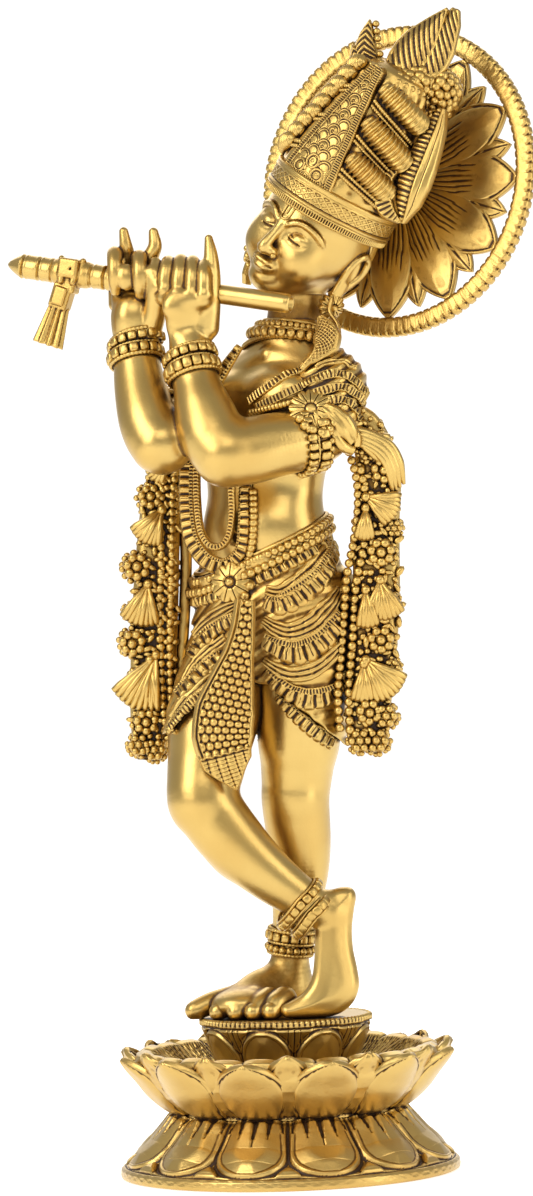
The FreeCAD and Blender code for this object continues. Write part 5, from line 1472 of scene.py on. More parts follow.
for c_, r_ in ((knot + VIEW_N * 5.0 + ax_p * 2.0, 7.8), (knot - SIDE_V * 9.0 + VIEW_N * 7.6 + ax_p * 5.5, 6.8), (knot - SIDE_V * 16.0 + VIEW_N * 8.0 + ax_p * 8.5, 5.2)):
    g_ = math.pi * (3 - math.sqrt(5))
    nb = int(2.1 * (r_ / 1.6) ** 2 * 1.6)
    pts_ = []
    for i in range(nb):
        y_ = 1 - 2 * (i + 0.5) / nb
        q_ = math.sqrt(1 - y_ * y_)
        pts_.append(c_ + kr @ np.array([math.cos(g_ * i) * q_ * r_, y_ * r_, math.sin(g_ * i) * q_ * r_]))
    beads(plume, pts_, 1.7 + 0.8 * krs.rand(nb), nu=8, nv=6)
    beads(plume, [c_], r_ * 0.93, nu=16, nv=10)
plume.piece("crown_side_plume_and_knot", M_ORN, "statue", ("crown_side_plume",))

# ------------------------------------------------------------------ the wrapped garment


cloth = Clay((-48, -48, 150), (48, 42, 252), VOX)
cloth.stack([(1, 1, 186, 27, 19.5), (1, 1, 194, 31, 22), (1, 1, 204, 33.2, 24.2), (0.5, 0.5, 216, 34.2, 25.2), (0, 0, 228, 32.6, 24.4), (0, 0, 238, 29.6, 21.8), (0, 0, 244, 27.6, 20.2)])
cloth.limb([P(11.5, 8, 206), P(10.6, 6, 190), P(9.6, 4, 175.6), P(8.6, 2.6, 158)], [20.5, 19.6, 18.6, 18.2], k=4)
cloth.limb([P(-12.3, -5, 206), P(-18, 1.5, 191), P(-23, 8, 178), P(-27.6, 14.0, 160)], [19.5, 19.6, 19.2, 18.4], k=4)
cloth.egg(P(25.5, 8, 222), (9.5, 9.5, 12.5), k=5)                      # gathered fold over the left hip
HEM_U = np.array([-48, -41, -33, -27, -18, -8, -2, 6, 14, 20, 27, 34], float)
HEM_Z = np.array([170, 173.5, 181.5, 187.0, 189.5, 191.5, 190.0, 184.0, 177.0, 171.5, 165.5, 163.0], float)


def below_hem(X, Y, Z):
    u, w = uw(X, Y)
    zf = np.interp(u, HEM_U, HEM_Z)
    f = step(w, -6.0, 8.0)
    return Z - (zf * f + (168.0 + 0.02 * (u + 5)) * (1 - f))


cloth.carve(below_hem, (-60, -60, 140), (60, 60, 200), 0.6)
gx, gy, gz = [cloth.lo[k] + np.arange(cloth.n[k]) * cloth.v for k in range(3)]
U_, W_ = uw(gx[:, None, None], gy[None, :, None])
Z_ = gz[None, None, :]
fold = np.cos((Z_ + 0.012 * (U_ - 14) ** 2 - 0.22 * U_ + 1.2 * np.sin(U_ * 0.09)) * 2 * math.pi / 5.6)
back_w = 1 - step(W_, -4.0, 6.0)
cloth.d -= (0.55 * fold * (0.45 + 0.55 * back_w)).astype(F32) * (1 - step(Z_, 236.0, 243.0)).astype(F32)
# skin of the thighs, above the hem
left.limb([P(10.8, 6.4, 196), P(9.8, 4.6, 180), P(9.0, 3.2, 168)], [17.2, 16.6, 15.2], k=3)
right.limb([P(-16, -1, 194), P(-21, 5.6, 182), P(-25.4, 11.2, 170)], [17.0, 16.8, 15.7], k=3)
v, f = left.mesh()
make_piece("left_leg_skin", v, f, M_SKIN, "statue", ("left_leg",))
v, f = right.mesh()
make_piece("right_leg_skin", v, f, M_SKIN, "statue", ("right_leg",))
v, f = cloth.mesh()
make_piece("wrapped_garment", v, f, M_ORN, "statue", ("dhoti",))

# the cloth that crosses the back and the left shoulder
shawl = Clay((-36, -34, 262), (62, 44, 344), VOX)
SH = P(25.4, 16.6, 303.5)
shawl.egg(SH, (14.6, 15.4, 15.6), k=0)
shawl.limb([P(24, -2, 315), P(12, -16, 306), P(-4, -24, 290), P(-14, -25.5, 274)], [7.5, 6.5, 6.0, 5.0], k=4)
shawl.limb([P(25, 12, 314), P(19, 6, 321.5), P(10, 8.5, 324)], [7.0, 5.0, 3.2], k=4)
shawl.limb([P(27, 26, 297), P(31.5, 26, 292.5), P(35, 24.5, 289.5)], [6.0, 4.4, 3.4], k=2.5)
gx, gy, gz = [shawl.lo[k] + np.arange(shawl.n[k]) * shawl.v for k in range(3)]
U_, W_ = uw(gx[:, None, None], gy[None, :, None])
Z_ = gz[None, None, :]
rad_ = np.sqrt((U_ - 12) ** 2 + (Z_ - 330) ** 2 + 0.2 * (W_ - 10) ** 2)
shawl.d -= (0.42 * np.cos(rad_ * 2 * math.pi / 4.4)).astype(F32)
v, f = shawl.mesh()
make_piece("shoulder_cloth", v, f, M_ORN, "statue", ("shoulder_shawl",))

flesh = merge(body, left, right, cloth, shawl, face)
def hit(pts, off=0.0, lo=-60.0, hi=72.0, field=None):
    """Where lines of sight through frame points first meet the clay."""
    field = field or flesh
    pts = np.asarray(pts, float)
    D = np.array([through(x, y) for x, y in pts])
    ts = np.arange(CAM_D - hi, CAM_D - lo, 0.6)
    vals = np.stack([field.sample(EYE + D * t) for t in ts], 1) - off
    first = np.argmax(vals < 0, axis=1)
    none = ~(vals < 0).any(axis=1)
    first[none] = np.argmin(vals[none], axis=1)
    i0 = np.maximum(first - 1, 0)
    a, b = vals[np.arange(len(pts)), i0], vals[np.arange(len(pts)), first]
    fr = np.where(none, 1.0, a / np.where(np.abs(a - b) < 1e-9, 1, a - b))
    t = ts[i0] + (ts[first] - ts[i0]) * np.clip(fr, 0, 1)
    return EYE + D * t[:, None]


def lay(mesh, path, half, fn, down, thick=0.9, off=0.2, m=24, n=None, field=None, pitch=0.5):
    """A strip laid on the clay along path; fn(X, S, A) is its relief; A runs from -1 to 1 towards down."""
    field = field or flesh
    L = length_of(np.asarray(path, float))
    n = n or max(12, int(L / (pitch * Q)))
    m = max(8, m // Q)
    p = field.settle(smooth_path(path, n), 0.0, 5)
    p = smooth_path(p[:: max(1, n // 40)], n) if n > 60 else p
    hw = np.interp(np.linspace(0, 1, n), np.linspace(0, 1, len(np.atleast_1d(half))), np.atleast_1d(half))
    tg = np.gradient(p, axis=0)
    tg /= np.linalg.norm(tg, axis=1, keepdims=True)
    nr = field.slope(p, 1.6)
    x = np.cross(nr, tg)
    x /= np.maximum(np.linalg.norm(x, axis=1, keepdims=True), 1e-6)
    sg = np.sign((x @ np.asarray(down, float)).sum()) or 1.0
    x = x * sg
    A = np.linspace(-1, 1, m)
    X = hw[:, None] * A[None]
    G = p[:, None] + x[:, None] * X[..., None]
    q = field.settle(G.reshape(-1, 3), 0.0, 5)
    nq = field.slope(q, 1.6)
    S = np.linspace(0, L, n)[:, None]
    h = (fn(X, S + 0 * X, A[None] + 0 * X) + off).reshape(-1, 1)
    F_ = (q + nq * h).reshape(n, m, 3)
    B_ = (q - nq * thick).reshape(n, m, 3)
    if sg > 0:
        sheet(mesh, F_, B_)
    else:
        sheet(mesh, B_, F_)
    return p, x, nr


def edge_lines(A, w=0.86, a=0.35, s=0.07):
    return a * (bump1(A, -w, s) + bump1(A, w, s))


def hatch_fn(pitch=1.35, h=0.7, lines=True, slant=0.0):
    def fn(X, S, A):
        e = 1 - np.abs(A)
        base_h = h * step(e, 0.0, 0.18)
        r = 0.30 * np.cos((S + slant * X) * 2 * math.pi / pitch) * step(e, 0.10, 0.25)
        return base_h + r + (edge_lines(A) if lines else 0)
    return fn


def tongue_fn(pitch=4.4, h=0.9, cut=0.34, ribs=0):
    """A hatched heading with a row of hanging tongues below it."""
    def fn(X, S, A):
        t = (S / pitch) % 1.0 * 2 - 1
        head = A < -0.45
        rope = 0.75 + 0.28 * np.cos(S * 2 * math.pi / 1.35)
        rope = rope + 0.35 * bump1(A, -0.92, 0.07) + 0.35 * bump1(A, -0.5, 0.06)
        ln = 1.0 - cut * (1 - np.sqrt(np.clip(1 - t ** 2, 0, 1)))
        e = np.minimum((1 - np.abs(t)) * pitch * 0.5, (ln - A) * 3.0)
        tong = h * step(e, -0.05, 0.9) + 0.35 * step(e, 0.5, 1.6) - 0.45 * np.clip(1 - np.abs(t) / 0.13, 0, 1) * (A < 0.55)
        tong = np.where(e < 0, -0.55, tong)
        return np.where(head, rope, tong) * 1.0
    return fn


def fold_fn(count=3, h=0.9):
    def fn(X, S, A):
        e = 1 - np.abs(A)
        r = np.abs(np.sin((A + 1) * 0.5 * math.pi * count + 0.15 * np.sin(S * 0.5)))
        return (h * r ** 0.7) * step(e, 0, 0.12)
    return fn


trim = Mesh()
DOWN = np.array([0, 0, -1.0])


def px(*pts):
    return hit(pts)


# three swags over the left hip: folds, a hatched heading, hanging tongues
lay(trim, px((266, 590), (280, 592), (296, 583), (311, 571), (324, 556), (331, 540)), (2.0, 3.6, 4.0, 3.6, 2.2), fold_fn(3), DOWN, m=30)
lay(trim, px((264, 602), (274, 606), (288, 602), (304, 591), (320, 577), (332, 558), (336, 542)), (3.2, 4.6, 5.0, 4.8, 4.2, 3.0), tongue_fn(4.2), DOWN, m=34, pitch=0.34)
lay(trim, px((263, 620), (275, 628), (292, 632), (310, 625), (326, 610), (340, 590)), (2.2, 3.8, 4.4, 4.2, 2.6), fold_fn(4), DOWN, m=34)
lay(trim, px((263, 640), (276, 648), (294, 653), (312, 648), (328, 635), (342, 616)), (3.2, 4.8, 5.2, 5.0, 3.6), tongue_fn(4.4), DOWN, m=34, pitch=0.34)
lay(trim, px((264, 660), (277, 669), (293, 674), (310, 671), (327, 661), (342, 645)), (1.8, 3.0, 3.4, 3.2, 2.2), fold_fn(3), DOWN, m=30)
lay(trim, px((265, 672), (277, 684), (292, 695), (309, 699), (326, 696), (341, 686)), (2.8, 4.0, 4.6, 4.6, 3.2), tongue_fn(3.8, cut=0.25), DOWN, m=32, pitch=0.34)
lay(trim, px((276, 696), (288, 708), (303, 721), (319, 733), (334, 743)), (1.6, 3.0, 3.6, 3.8, 3.4), tongue_fn(3.6, cut=0.4), DOWN, m=30, pitch=0.34)
# wraps on the right hip and thigh
lay(trim, px((238, 604), (220, 612), (204, 624), (194, 636)), (1.8, 3.0, 3.2, 2.4), fold_fn(3), DOWN, m=28)
lay(trim, px((236, 618), (218, 628), (202, 641), (190, 656)), (2.4, 3.4, 3.6, 3.2), tongue_fn(3.6), DOWN, m=30, pitch=0.34)
lay(trim, px((226, 638), (210, 650), (196, 664), (184, 682)), (2.4, 3.2, 3.4, 3.0), fold_fn(3), DOWN, m=28)
lay(trim, px((222, 655), (206, 667), (192, 680), (178, 697)), (2.8, 3.4, 3.6, 3.2), tongue_fn(3.8), DOWN, m=30, pitch=0.34)
lay(trim, px((216, 674), (201, 686), (186, 700), (172, 718)), (1.8, 2.6, 2.8, 2.4), fold_fn(2), DOWN, m=24)
lay(trim, px((214, 686), (199, 697), (184, 711), (169, 731)), (2.0, 2.4, 2.6, 2.6), hatch_fn(1.5, 0.9), DOWN, m=24, pitch=0.34)


def round_waist(z_fn, lo_deg, hi_deg, n=40, cx=0.0, cy=0.0, a=36, b=28):
    th = np.radians(np.linspace(lo_deg, hi_deg, n))
    p = np.stack([cx + a * np.cos(th), cy + b * np.sin(th), np.array([z_fn(t) for t in th])], 1)
    return flesh.settle(p, 0.0, 12)


# back and flanks: long swags from hip to hip, so the garment is finished all round
for (z0, dip, h0, end) in ((226, 13, 4.2, 165), (209, 13, 4.4, 112), (192, 12, 4.2, 96)):
    pts = round_waist(lambda t: z0 - dip * math.sin(max(0.0, min(1.0, t / math.radians(165))) * math.pi), 0, end, 30)
    lay(trim, pts, (1.6, h0, h0, h0, 1.6), tongue_fn(4.4), DOWN, m=28, pitch=0.45)
pts = round_waist(lambda t: 171.5, -8, 196, 50)
trim.piece("garment_swags_and_fringes", M_ORN, "statue", ())

# ------------------------------------------------------------------ belt
belt = Mesh()
NB = unit([-0.27, -0.385, 1.0])
bx, by, _ = frame_of(NB, (1, 0, 0))


def belt_ring(dz, n, off):
    th = np.linspace(0, 2 * math.pi, n, endpoint=False)
    p = np.array([0, 0, 242.0 + dz]) + np.outer(np.cos(th) * 31, bx) + np.outer(np.sin(th) * 25, by)
    fld = flesh
    q = p.copy()
    for _ in range(8):
        g = fld.slope(q, 1.6)
        g = g - np.outer(g @ NB, NB)
        g /= np.maximum(np.linalg.norm(g, axis=1, keepdims=True), 1e-6)
        q -= g * (fld.sample(q) - off)[:, None] * 0.8
    return q


r0 = smooth_path(belt_ring(0, 90, 0.4), 260 // Q, close=True)
sweep(belt, r0, 3.6, hint=NB, nu=20, flat=0.42, close=True)
for dz, rr, cnt in ((2.1, 1.75, 62), (-1.7, 1.85, 60)):
    pr = smooth_path(belt_ring(dz, 90, 1.7), cnt, close=True)
    beads(belt, pr, rr)
sweep(belt, smooth_path(belt_ring(4.3, 90, 0.8), 300 // Q, close=True), [0.75 + 0.14 * (i % 2) for i in range(300 // Q)], hint=NB, nu=8, close=True)
lay(belt, belt_ring(-5.2, 60, 0.4), 2.7, tongue_fn(3.6, cut=0.5), DOWN, m=20, pitch=0.36)
belt.piece("double_bead_belt", M_ORN, "statue", ("waist_belt",))


def rosette(mesh, c, nrm, up, R, n=7, bead=0.36, core=0.36, pile=1.0, back=True):
    x, y, z = frame_of(nrm, up)
    c = np.asarray(c, float)
    pts, rad = [], []
    for i in range(n):
        t = 2 * math.pi * (i + 0.5) / n
        pts.append(c + (x * math.cos(t) + y * math.sin(t)) * R * 0.66 + z * R * 0.10 * pile)
        rad.append(R * bead)
    pts.append(c + z * R * 0.30 * pile)
    rad.append(R * core)
    beads(mesh, pts, rad, nu=10, nv=7)
    if back:
        beads(mesh, [c - z * R * 0.18], 1, axes=[np.stack([x * R * 0.92, y * R * 0.92, z * R * 0.42], 1)], nu=14, nv=8)


def slit_flower(mesh, c, nrm, up, R, n, h, back_h=1.2):
    """A round flower head cut by radial slits."""
    x, y, z = frame_of(nrm, up)
    nt, nr_ = 30 * n // Q, 22 // Q
    th = np.arange(nt) * 2 * math.pi / nt
    r = np.linspace(0.0, 1.0, nr_ + 1)[1:]
    lobe = (1 - 0.20 * (1 - np.abs(np.cos(th * n / 2)) ** 0.6))
    rr_ = r[None] * R * (1 + (lobe[:, None] - 1) * r[None] ** 2)
    slit = np.clip(1 - np.abs(np.sin(th * n / 2))[:, None] * rr_ * 2.0 / n / 0.24, 0, 1)
    dome_h = h * (1 - r[None] ** 2.4) + 0.3 - slit * 0.8 * step(r[None], 0.22, 0.4)
    dome_h = dome_h - 0.7 * bump1(rr_, R * 0.26, 0.4) * 1.0
    v = np.asarray(c) + (rr_ * np.cos(th)[:, None])[..., None] * x + (rr_ * np.sin(th)[:, None])[..., None] * y + dome_h[..., None] * z
    bk = v[:, -1] - z * (back_h + 0.4)
    ctr = np.asarray(c) + z * (h + 0.3)
    cb = np.asarray(c) - z * back_h
    k = nt * nr_
    verts = np.concatenate([v.reshape(-1, 3), bk, [ctr, cb]])
    idx = np.arange(k).reshape(nt, nr_)
    q = grid_faces(nt, nr_, True, False, flip=True)
    nx = (np.arange(nt) + 1) % nt
    side = np.stack([idx[:, -1], k + np.arange(nt), k + nx, idx[nx, -1]], 1)
    t1 = np.stack([np.full(nt, k + nt), idx[:, 0], idx[nx, 0]], 1)
    t2 = np.stack([np.full(nt, k + nt + 1), k + nx, k + np.arange(nt)], 1)
    mesh.add(verts, [q, side, t1, t2])


bf = Mesh()
cf = hit([(233, 583)])[0]
nf = unit(flesh.slope(cf[None], 2.5)[0] * 0.5 + unit(EYE - cf) * 0.5)
slit_flower(bf, cf + nf * 2.2, nf, (0, 0, 1), 8.0, 9, 1.5, 3.0)
beads(bf, [cf + nf * 4.1], 1.7)
beads(bf, hit([(216, 578), (219, 590), (226, 598), (246, 596), (251, 586), (250, 573)], 0.0) + nf * 1.0, 1.8)
bf.piece("belt_flower_boss", M_ORN, "statue", ("belt_flower",))

# ------------------------------------------------------------------ the long end of the sash
sash = Mesh()
rows_s = [(244.8, 600), (243, 625), (239, 650), (231.7, 680), (224, 712), (222, 738), (227, 762), (237, 790)]
sp = hit(rows_s)
sw = np.array([uw(p[0], p[1])[1] for p in sp])
sw = np.maximum(sw, np.array([28, 29, 30, 31, 31.5, 31.5, 31.0, 30.0])) + 1.6
sp = np.array([through(x, y, w) for (x, y), w in zip(rows_s, sw)])


def sash_h(X, Y, e, w, L):
    t = Y / L
    p = 3.2
    row = np.floor(Y / (p * 0.86))
    cx = (np.floor(X / p + 0.5 * (row % 2)) + 0.5 - 0.5 * (row % 2)) * p
    cy = (row + 0.5) * p * 0.86
    r = np.sqrt((X - cx) ** 2 + ((Y - cy) * 1.05) ** 2)
    bead_h = 1.35 * np.sqrt(np.clip(1 - (r / 1.66) ** 2, 0, 1))
    border = X > w - 3.2
    lines = 0.6 + 0.35 * np.cos((X - w) * 2 * math.pi / 1.5)
    low = t > 0.80
    pleat = 0.9 * np.abs(np.sin(X * math.pi / 3.6)) ** 0.6 + 0.12 * np.cos(Y * 4.2)
    bar = bump1(t, 0.80, 0.008) * 0.9
    h = np.where(low, pleat, np.where(border, lines, bead_h))
    left_b = X < -w + 1.2
    h = np.where(left_b & ~low, 0.5, h)
    return h * step(e, 0.0, 0.7) + bar * step(e, 0, 0.7)


nrm_s = unit(P(-0.12, 0.97, 0.18))
leaf(sash, sp, (4.0, 4.8, 6.3, 9.1, 11.8, 12.0, 9.6, 0.4), nrm_s, 2.6, sash_h, lambda X, Y, e, w, L: 0.4 * np.cos(X * 1.6) * step(e, 0.3, 1.2), n=260, m=110, cup=1.8)
sash.piece("beaded_sash_end", M_ORN, "statue", ("front_sash",))


def cushions(mesh, centres, axes, p=0.55, nu=12, nv=8):
    """Rounded blocks: axes are (n,3,3) columns scaled to half sizes."""
    tv, tt, tq = ball_template(nu, nv)
    w = np.sign(tv) * np.abs(tv) ** p
    centres = np.asarray(centres, float)
    n = len(centres)
    v = centres[:, None, :] + np.einsum("nij,kj->nki", np.asarray(axes, float), w)
    off = (np.arange(n) * len(tv))[:, None, None]
    mesh.add(v.reshape(-1, 3), [(tt[None] + off).reshape(-1, 3), (tq[None] + off).reshape(-1, 4)])


def ring_on(field, c, axis, off, n, r_max=22.0, hint=(0, 0, 1), smooth=3, shift=0.0):
    """A ring round a limb: from the middle outwards to where the clay ends."""
    x, y, z = frame_of(axis, hint)
    c = np.asarray(c, float) + z * shift
    th = np.linspace(0, 2 * math.pi, n, endpoint=False)
    d = np.outer(np.cos(th), x) + np.outer(np.sin(th), y)
    rs = np.arange(2.0, r_max, 0.3)
    vals = np.stack([field.sample(c + d * r) for r in rs], 1)
    out = np.argmax(vals > 0, axis=1)
    r = np.where((vals > 0).any(1), rs[out], r_max)
    r = np.minimum(r, np.median(r) * 1.18)
    for _ in range(smooth):
        r = (np.roll(r, 1) + 2 * r + np.roll(r, -1)) / 4
    return c + d * (r + off)[:, None], d, z


def resample_ring(p, n):
    return smooth_path(p, n, close=True)


def bead_ring(mesh, p, n, half_t, half_a, half_r, axis, p_=0.55, round_=False):
    q = resample_ring(p, n)
    c = q.mean(0)
    t = np.roll(q, -1, 0) - np.roll(q, 1, 0)
    t /= np.linalg.norm(t, axis=1, keepdims=True)
    a = np.broadcast_to(unit(axis), t.shape)
    r = np.cross(t, a)
    r /= np.linalg.norm(r, axis=1, keepdims=True)
    ax_ = np.stack([t * half_t, a * half_a, r * half_r], 2)
    if round_:
        beads(mesh, q, 1, axes=ax_)
    else:
        cushions(mesh, q, ax_, p_)


def cuff(name, node, c, axis, field, rows, size, slot_mat=M_ORN, width=None, base=True, r_max=22.0):
    m_ = Mesh()
    W = (len(rows) - 1) * 0.5
    lo_, hi_ = min(r[0] for r in rows) - size, max(r[0] for r in rows) + size
    # a thin sleeve under the beads
    n1, n2 = 96 // Q, 12
    sl = []
    for s in np.linspace(lo_, hi_, n2):
        p, d, z = ring_on(field, c, axis, 0.5, n1, shift=s, r_max=r_max)
        sl.append((p, d))
    fr_ = np.stack([p for p, d in sl], 0)
    bk_ = np.stack([p - d * 1.6 for p, d in sl], 0)
    n2_ = len(sl)
    k = n1 * n2_
    v = np.concatenate([fr_.reshape(-1, 3), bk_.reshape(-1, 3)])
    g1 = grid_faces(n2_, n1, False, True, flip=True)
    g2 = grid_faces(n2_, n1, False, True) + k
    i = np.arange(n1)
    j = (i + 1) % n1
    e1 = np.stack([i, j, j + k, i + k], 1)
    e2 = np.stack([(n2_ - 1) * n1 + i, (n2_ - 1) * n1 + i + k, (n2_ - 1) * n1 + j + k, (n2_ - 1) * n1 + j], 1)
    m_.add(v, [g1, g2, e1, e2])
    for s, kind, cnt, ht in rows:
        p, d, z = ring_on(field, c, axis, 1.0, 80, shift=s, r_max=r_max)
        if kind == "block":
            bead_ring(m_, p + d * 0.2, cnt, ht[0], ht[1], ht[2], axis, 0.5)
        elif kind == "ball":
            bead_ring(m_, p + d * 0.3, cnt, ht[0], ht[1], ht[2], axis, round_=True)
        else:
            q = resample_ring(p - d * 0.1, cnt * 4)
            rad = ht[0] * (1 + 0.16 * np.cos(np.arange(cnt * 4) * math.pi / 2))
            sweep(m_, q, rad, hint=axis, nu=8, close=True)
    m_.piece(name, slot_mat, "statue", (node,) if node else ())


limbs = merge(body, left, right)
wl_c = through(190.5, 364, 23.5)
wl_a = unit(through(197.4, 388, 27) - through(190.5, 362, 23.5))
cuff("left_wrist_bracelets", "left_bracelet", wl_c, wl_a, body,
     [(-4.9, "rope", 40, (0.75,)), (-2.6, "block", 17, (1.75, 1.75, 1.5)), (0.0, "rope", 40, (0.6,)), (2.8, "block", 17, (1.85, 2.2, 1.6)), (5.6, "rope", 40, (0.8,))], 0.6, r_max=11.5)
wr_c = through(134, 349, 9.5)
wr_a = unit(through(142, 392, 15) - through(134, 349, 9.5))
cuff("right_wrist_bracelets", "right_bracelet", wr_c, wr_a, body,
     [(-4.6, "rope", 40, (0.75,)), (-2.4, "block", 16, (1.75, 1.7, 1.5)), (0.0, "rope", 40, (0.6,)), (2.5, "block", 16, (1.8, 1.9, 1.6)), (4.9, "rope", 40, (0.8,))], 0.6, r_max=11.5)
al_c = through(308, 439, 25.5)
al_a = unit(through(318, 436, 24) - through(292, 441, 28))
cuff("left_upper_armlet", "left_armlet", al_c, al_a, body,
     [(-3.4, "block", 26, (1.35, 1.9, 1.3)), (-0.9, "rope", 52, (0.6,)), (1.8, "block", 22, (1.75, 2.1, 1.6)), (4.4, "ball", 30, (1.3, 1.3, 1.2))], 0.8, r_max=16.0)
ar_c = P(-30.5, -2.6, 294.2)
ar_a = unit(P(-33, 4, 291.5) - P(-27.5, -12, 298))
cuff("right_upper_armlet", "right_armlet", ar_c, ar_a, body,
     [(-3.0, "block", 26, (1.35, 1.9, 1.3)), (-0.7, "rope", 52, (0.6,)), (1.8, "block", 22, (1.75, 2.1, 1.6)), (4.2, "ball", 30, (1.3, 1.3, 1.2))], 0.8, r_max=16.0)
akl_c = P(3.4, -7.6, 89.5)
akl_a = unit(P(2.6, -8.6, 80) - P(4.8, -6.8, 98))
cuff("left_ankle_rings", "left_anklet", akl_c, akl_a, left,
     [(-4.2, "rope", 40, (0.9,)), (-1.8, "block", 16, (1.6, 1.7, 1.4)), (0.6, "rope", 40, (0.7,)), (3.0, "ball", 20, (1.5, 1.5, 1.5)), (5.0, "rope", 40, (0.8,))], 0.6, r_max=11.0)
# crossed ankle: two loose strings of blocks
am = Mesh()
for (c0, tilt, n, r_, s) in ((through(298.5, 902, 19), 0.0, 19, 12.4, 1.0), (through(309, 914, 19), 0.0, 19, 12.2, 1.15)):
    a_ = unit(through(322, 918, 18) - through(288, 884, 20))
    p, d, z = ring_on(right, c0, a_, 0.9, 80, r_max=12.0)
    hang = np.clip(-(d[:, 2]), 0, 1)
    p = p + d * (hang * 2.6)[:, None] - np.array([0, 0, 1.0]) * (hang ** 1.5 * 4.5 * s)[:, None]
    q = resample_ring(p, n)
    bead_ring(am, p, n, 1.75 * s, 1.55 * s, 1.5, a_, 0.5)
    for k in (-1, 1):
        sweep(am, resample_ring(p + a_ * k * 2.0 * s - d * 0.3, 150), 0.55, hint=a_, nu=8, close=True)
am.piece("right_ankle_strings", M_ORN, "statue", ("right_anklet",))

# ------------------------------------------------------------------ collar and necklaces
col = Mesh()
neck = merge(body, face)
cc_ = P(12.2, 2.6, 326.0)
ca_ = unit(P(0.16, -0.06, 1.0))
for s, off, n, ht in ((-1.6, 2.2, 26, (1.9, 2.3, 1.8)), (1.9, 1.2, 34, (1.3, 1.4, 1.2))):
    p, d, z = ring_on(neck, cc_, ca_, off, 90, shift=s, r_max=17)
    bead_ring(col, p, n, *ht, ca_, round_=True)
for s, off, rr_ in ((0.5, 1.4, 0.8), (3.6, 0.8, 0.8)):
    p, d, z = ring_on(neck, cc_, ca_, off, 90, shift=s, r_max=17)
    q = resample_ring(p, 280 // Q)
    sweep(col, q, [rr_ * (1 + 0.14 * (i % 2)) for i in range(280 // Q)], hint=ca_, nu=8, close=True)
# short second necklace on the chest
p, d, z = ring_on(neck, cc_ + ca_ * -6.0, unit(P(0.16, -0.32, 1.0)), 0.9, 90, r_max=21)
q = resample_ring(p, 300 // Q)
sweep(col, q, [1.15 * (1 + 0.12 * math.cos(i * 1.9)) for i in range(300 // Q)], hint=ca_, nu=10, close=True)
col.piece("bead_collar", M_ORN, "statue", ("collar_necklace",))

long_n = Mesh()
N_CH = unit(P(-0.38, 0.92, 0.08))


def strand(pts, least=None, up=1.4):
    """Frame points with the least depth; hangs just clear of the body."""
    xy = [(a, b) for a, b, _ in pts]
    h_ = hit(xy, 0.0, field=body)
    w = np.array([uw(p[0], p[1])[1] for p in h_]) + up
    w0 = np.array([c for _, _, c in pts], float)
    far = np.abs(w - w0) > 9
    w = np.where(far, w0, np.maximum(w, w0))
    return [through(a, b, c) for (a, b), c in zip(xy, w)]


def fringe(pitch, cut=0.3, flip=1):
    def fn(X, S, e, w, L):
        A = np.clip(flip * X / w, -1, 1)
        return tongue_fn(pitch, 0.9, cut)(X, S, A) * step(e, 0, 0.35)
    return fn


def rope_fn(pitch=1.35):
    def fn(X, S, e, w, L):
        return (0.75 * step(e, 0, 0.6) + 0.28 * np.cos(S * 2 * math.pi / pitch) * step(e, 0.35, 0.7) + 0.3 * bump1(e, 0.35, 0.2))
    return fn


outer = strand([(240, 346, 14), (222, 372, 14), (204, 402, 12), (191, 436, 11), (187, 470, 10), (187, 510, 10), (192, 540, 12), (207, 561, 15), (226, 566, 17), (241, 552, 18.5), (244.5, 525, 19), (245, 492, 19), (249, 462, 20), (256, 440, 21)])
leaf(long_n, outer, (1.6, 2.6, 3.2, 3.3, 3.3, 3.4, 3.4, 3.4, 3.4, 3.0, 2.6, 2.5, 2.4, 2.0), N_CH, 1.4, fringe(3.3), None, n=520, m=30, cup=0.4)
inner = strand([(198, 430, 13), (197, 460, 12.5), (197.5, 500, 13), (201, 530, 15), (210, 545, 17.5), (221, 546, 19), (229, 536, 20), (232.5, 515, 20.5), (232, 485, 20.5), (238, 455, 21)])
leaf(long_n, inner, (1.5, 1.5, 1.5, 1.5), N_CH, 1.8, rope_fn(), None, n=360, m=16)
beads(long_n, smooth_path(strand([(249, 560, 20), (252.5, 540, 20.5), (253.5, 515, 20.5), (253, 492, 20.5)]), 12), 1.75)
long_n.piece("long_chest_strings", M_ORN, "statue", ("long_necklace",))

# ------------------------------------------------------------------ trims of the shoulder cloth, braids, ear drop
sh = Mesh()
lay(sh, px((308, 395), (324, 390), (341, 387), (355, 394), (364, 407)), 1.9, hatch_fn(1.5, 0.7), DOWN, m=20, pitch=0.34)
lay(sh, px((322, 402), (338, 399), (352, 405), (361, 420)), 1.9, hatch_fn(1.5, 0.7), DOWN, m=20, pitch=0.34)
lay(sh, px((314, 380), (330, 374), (346, 375), (358, 384), (366, 396)), 1.9, hatch_fn(1.5, 0.7), DOWN, m=20, pitch=0.34)
lay(sh, px((316, 368), (330, 362), (344, 361), (356, 368)), 1.5, fold_fn(2, 0.7), DOWN, m=18)
lay(sh, px((306, 366), (290, 374), (270, 386), (250, 401)), 1.7, hatch_fn(1.5, 0.9), DOWN, m=20, pitch=0.34)
lay(sh, px((317, 378), (300, 387), (278, 397), (256, 408)), 1.7, hatch_fn(1.5, 0.9), DOWN, m=20, pitch=0.34)
beads(sh, smooth_path(px((252, 413), (268, 409), (284, 405), (298, 401)) + N_CH * 1.2, 14), 1.5)
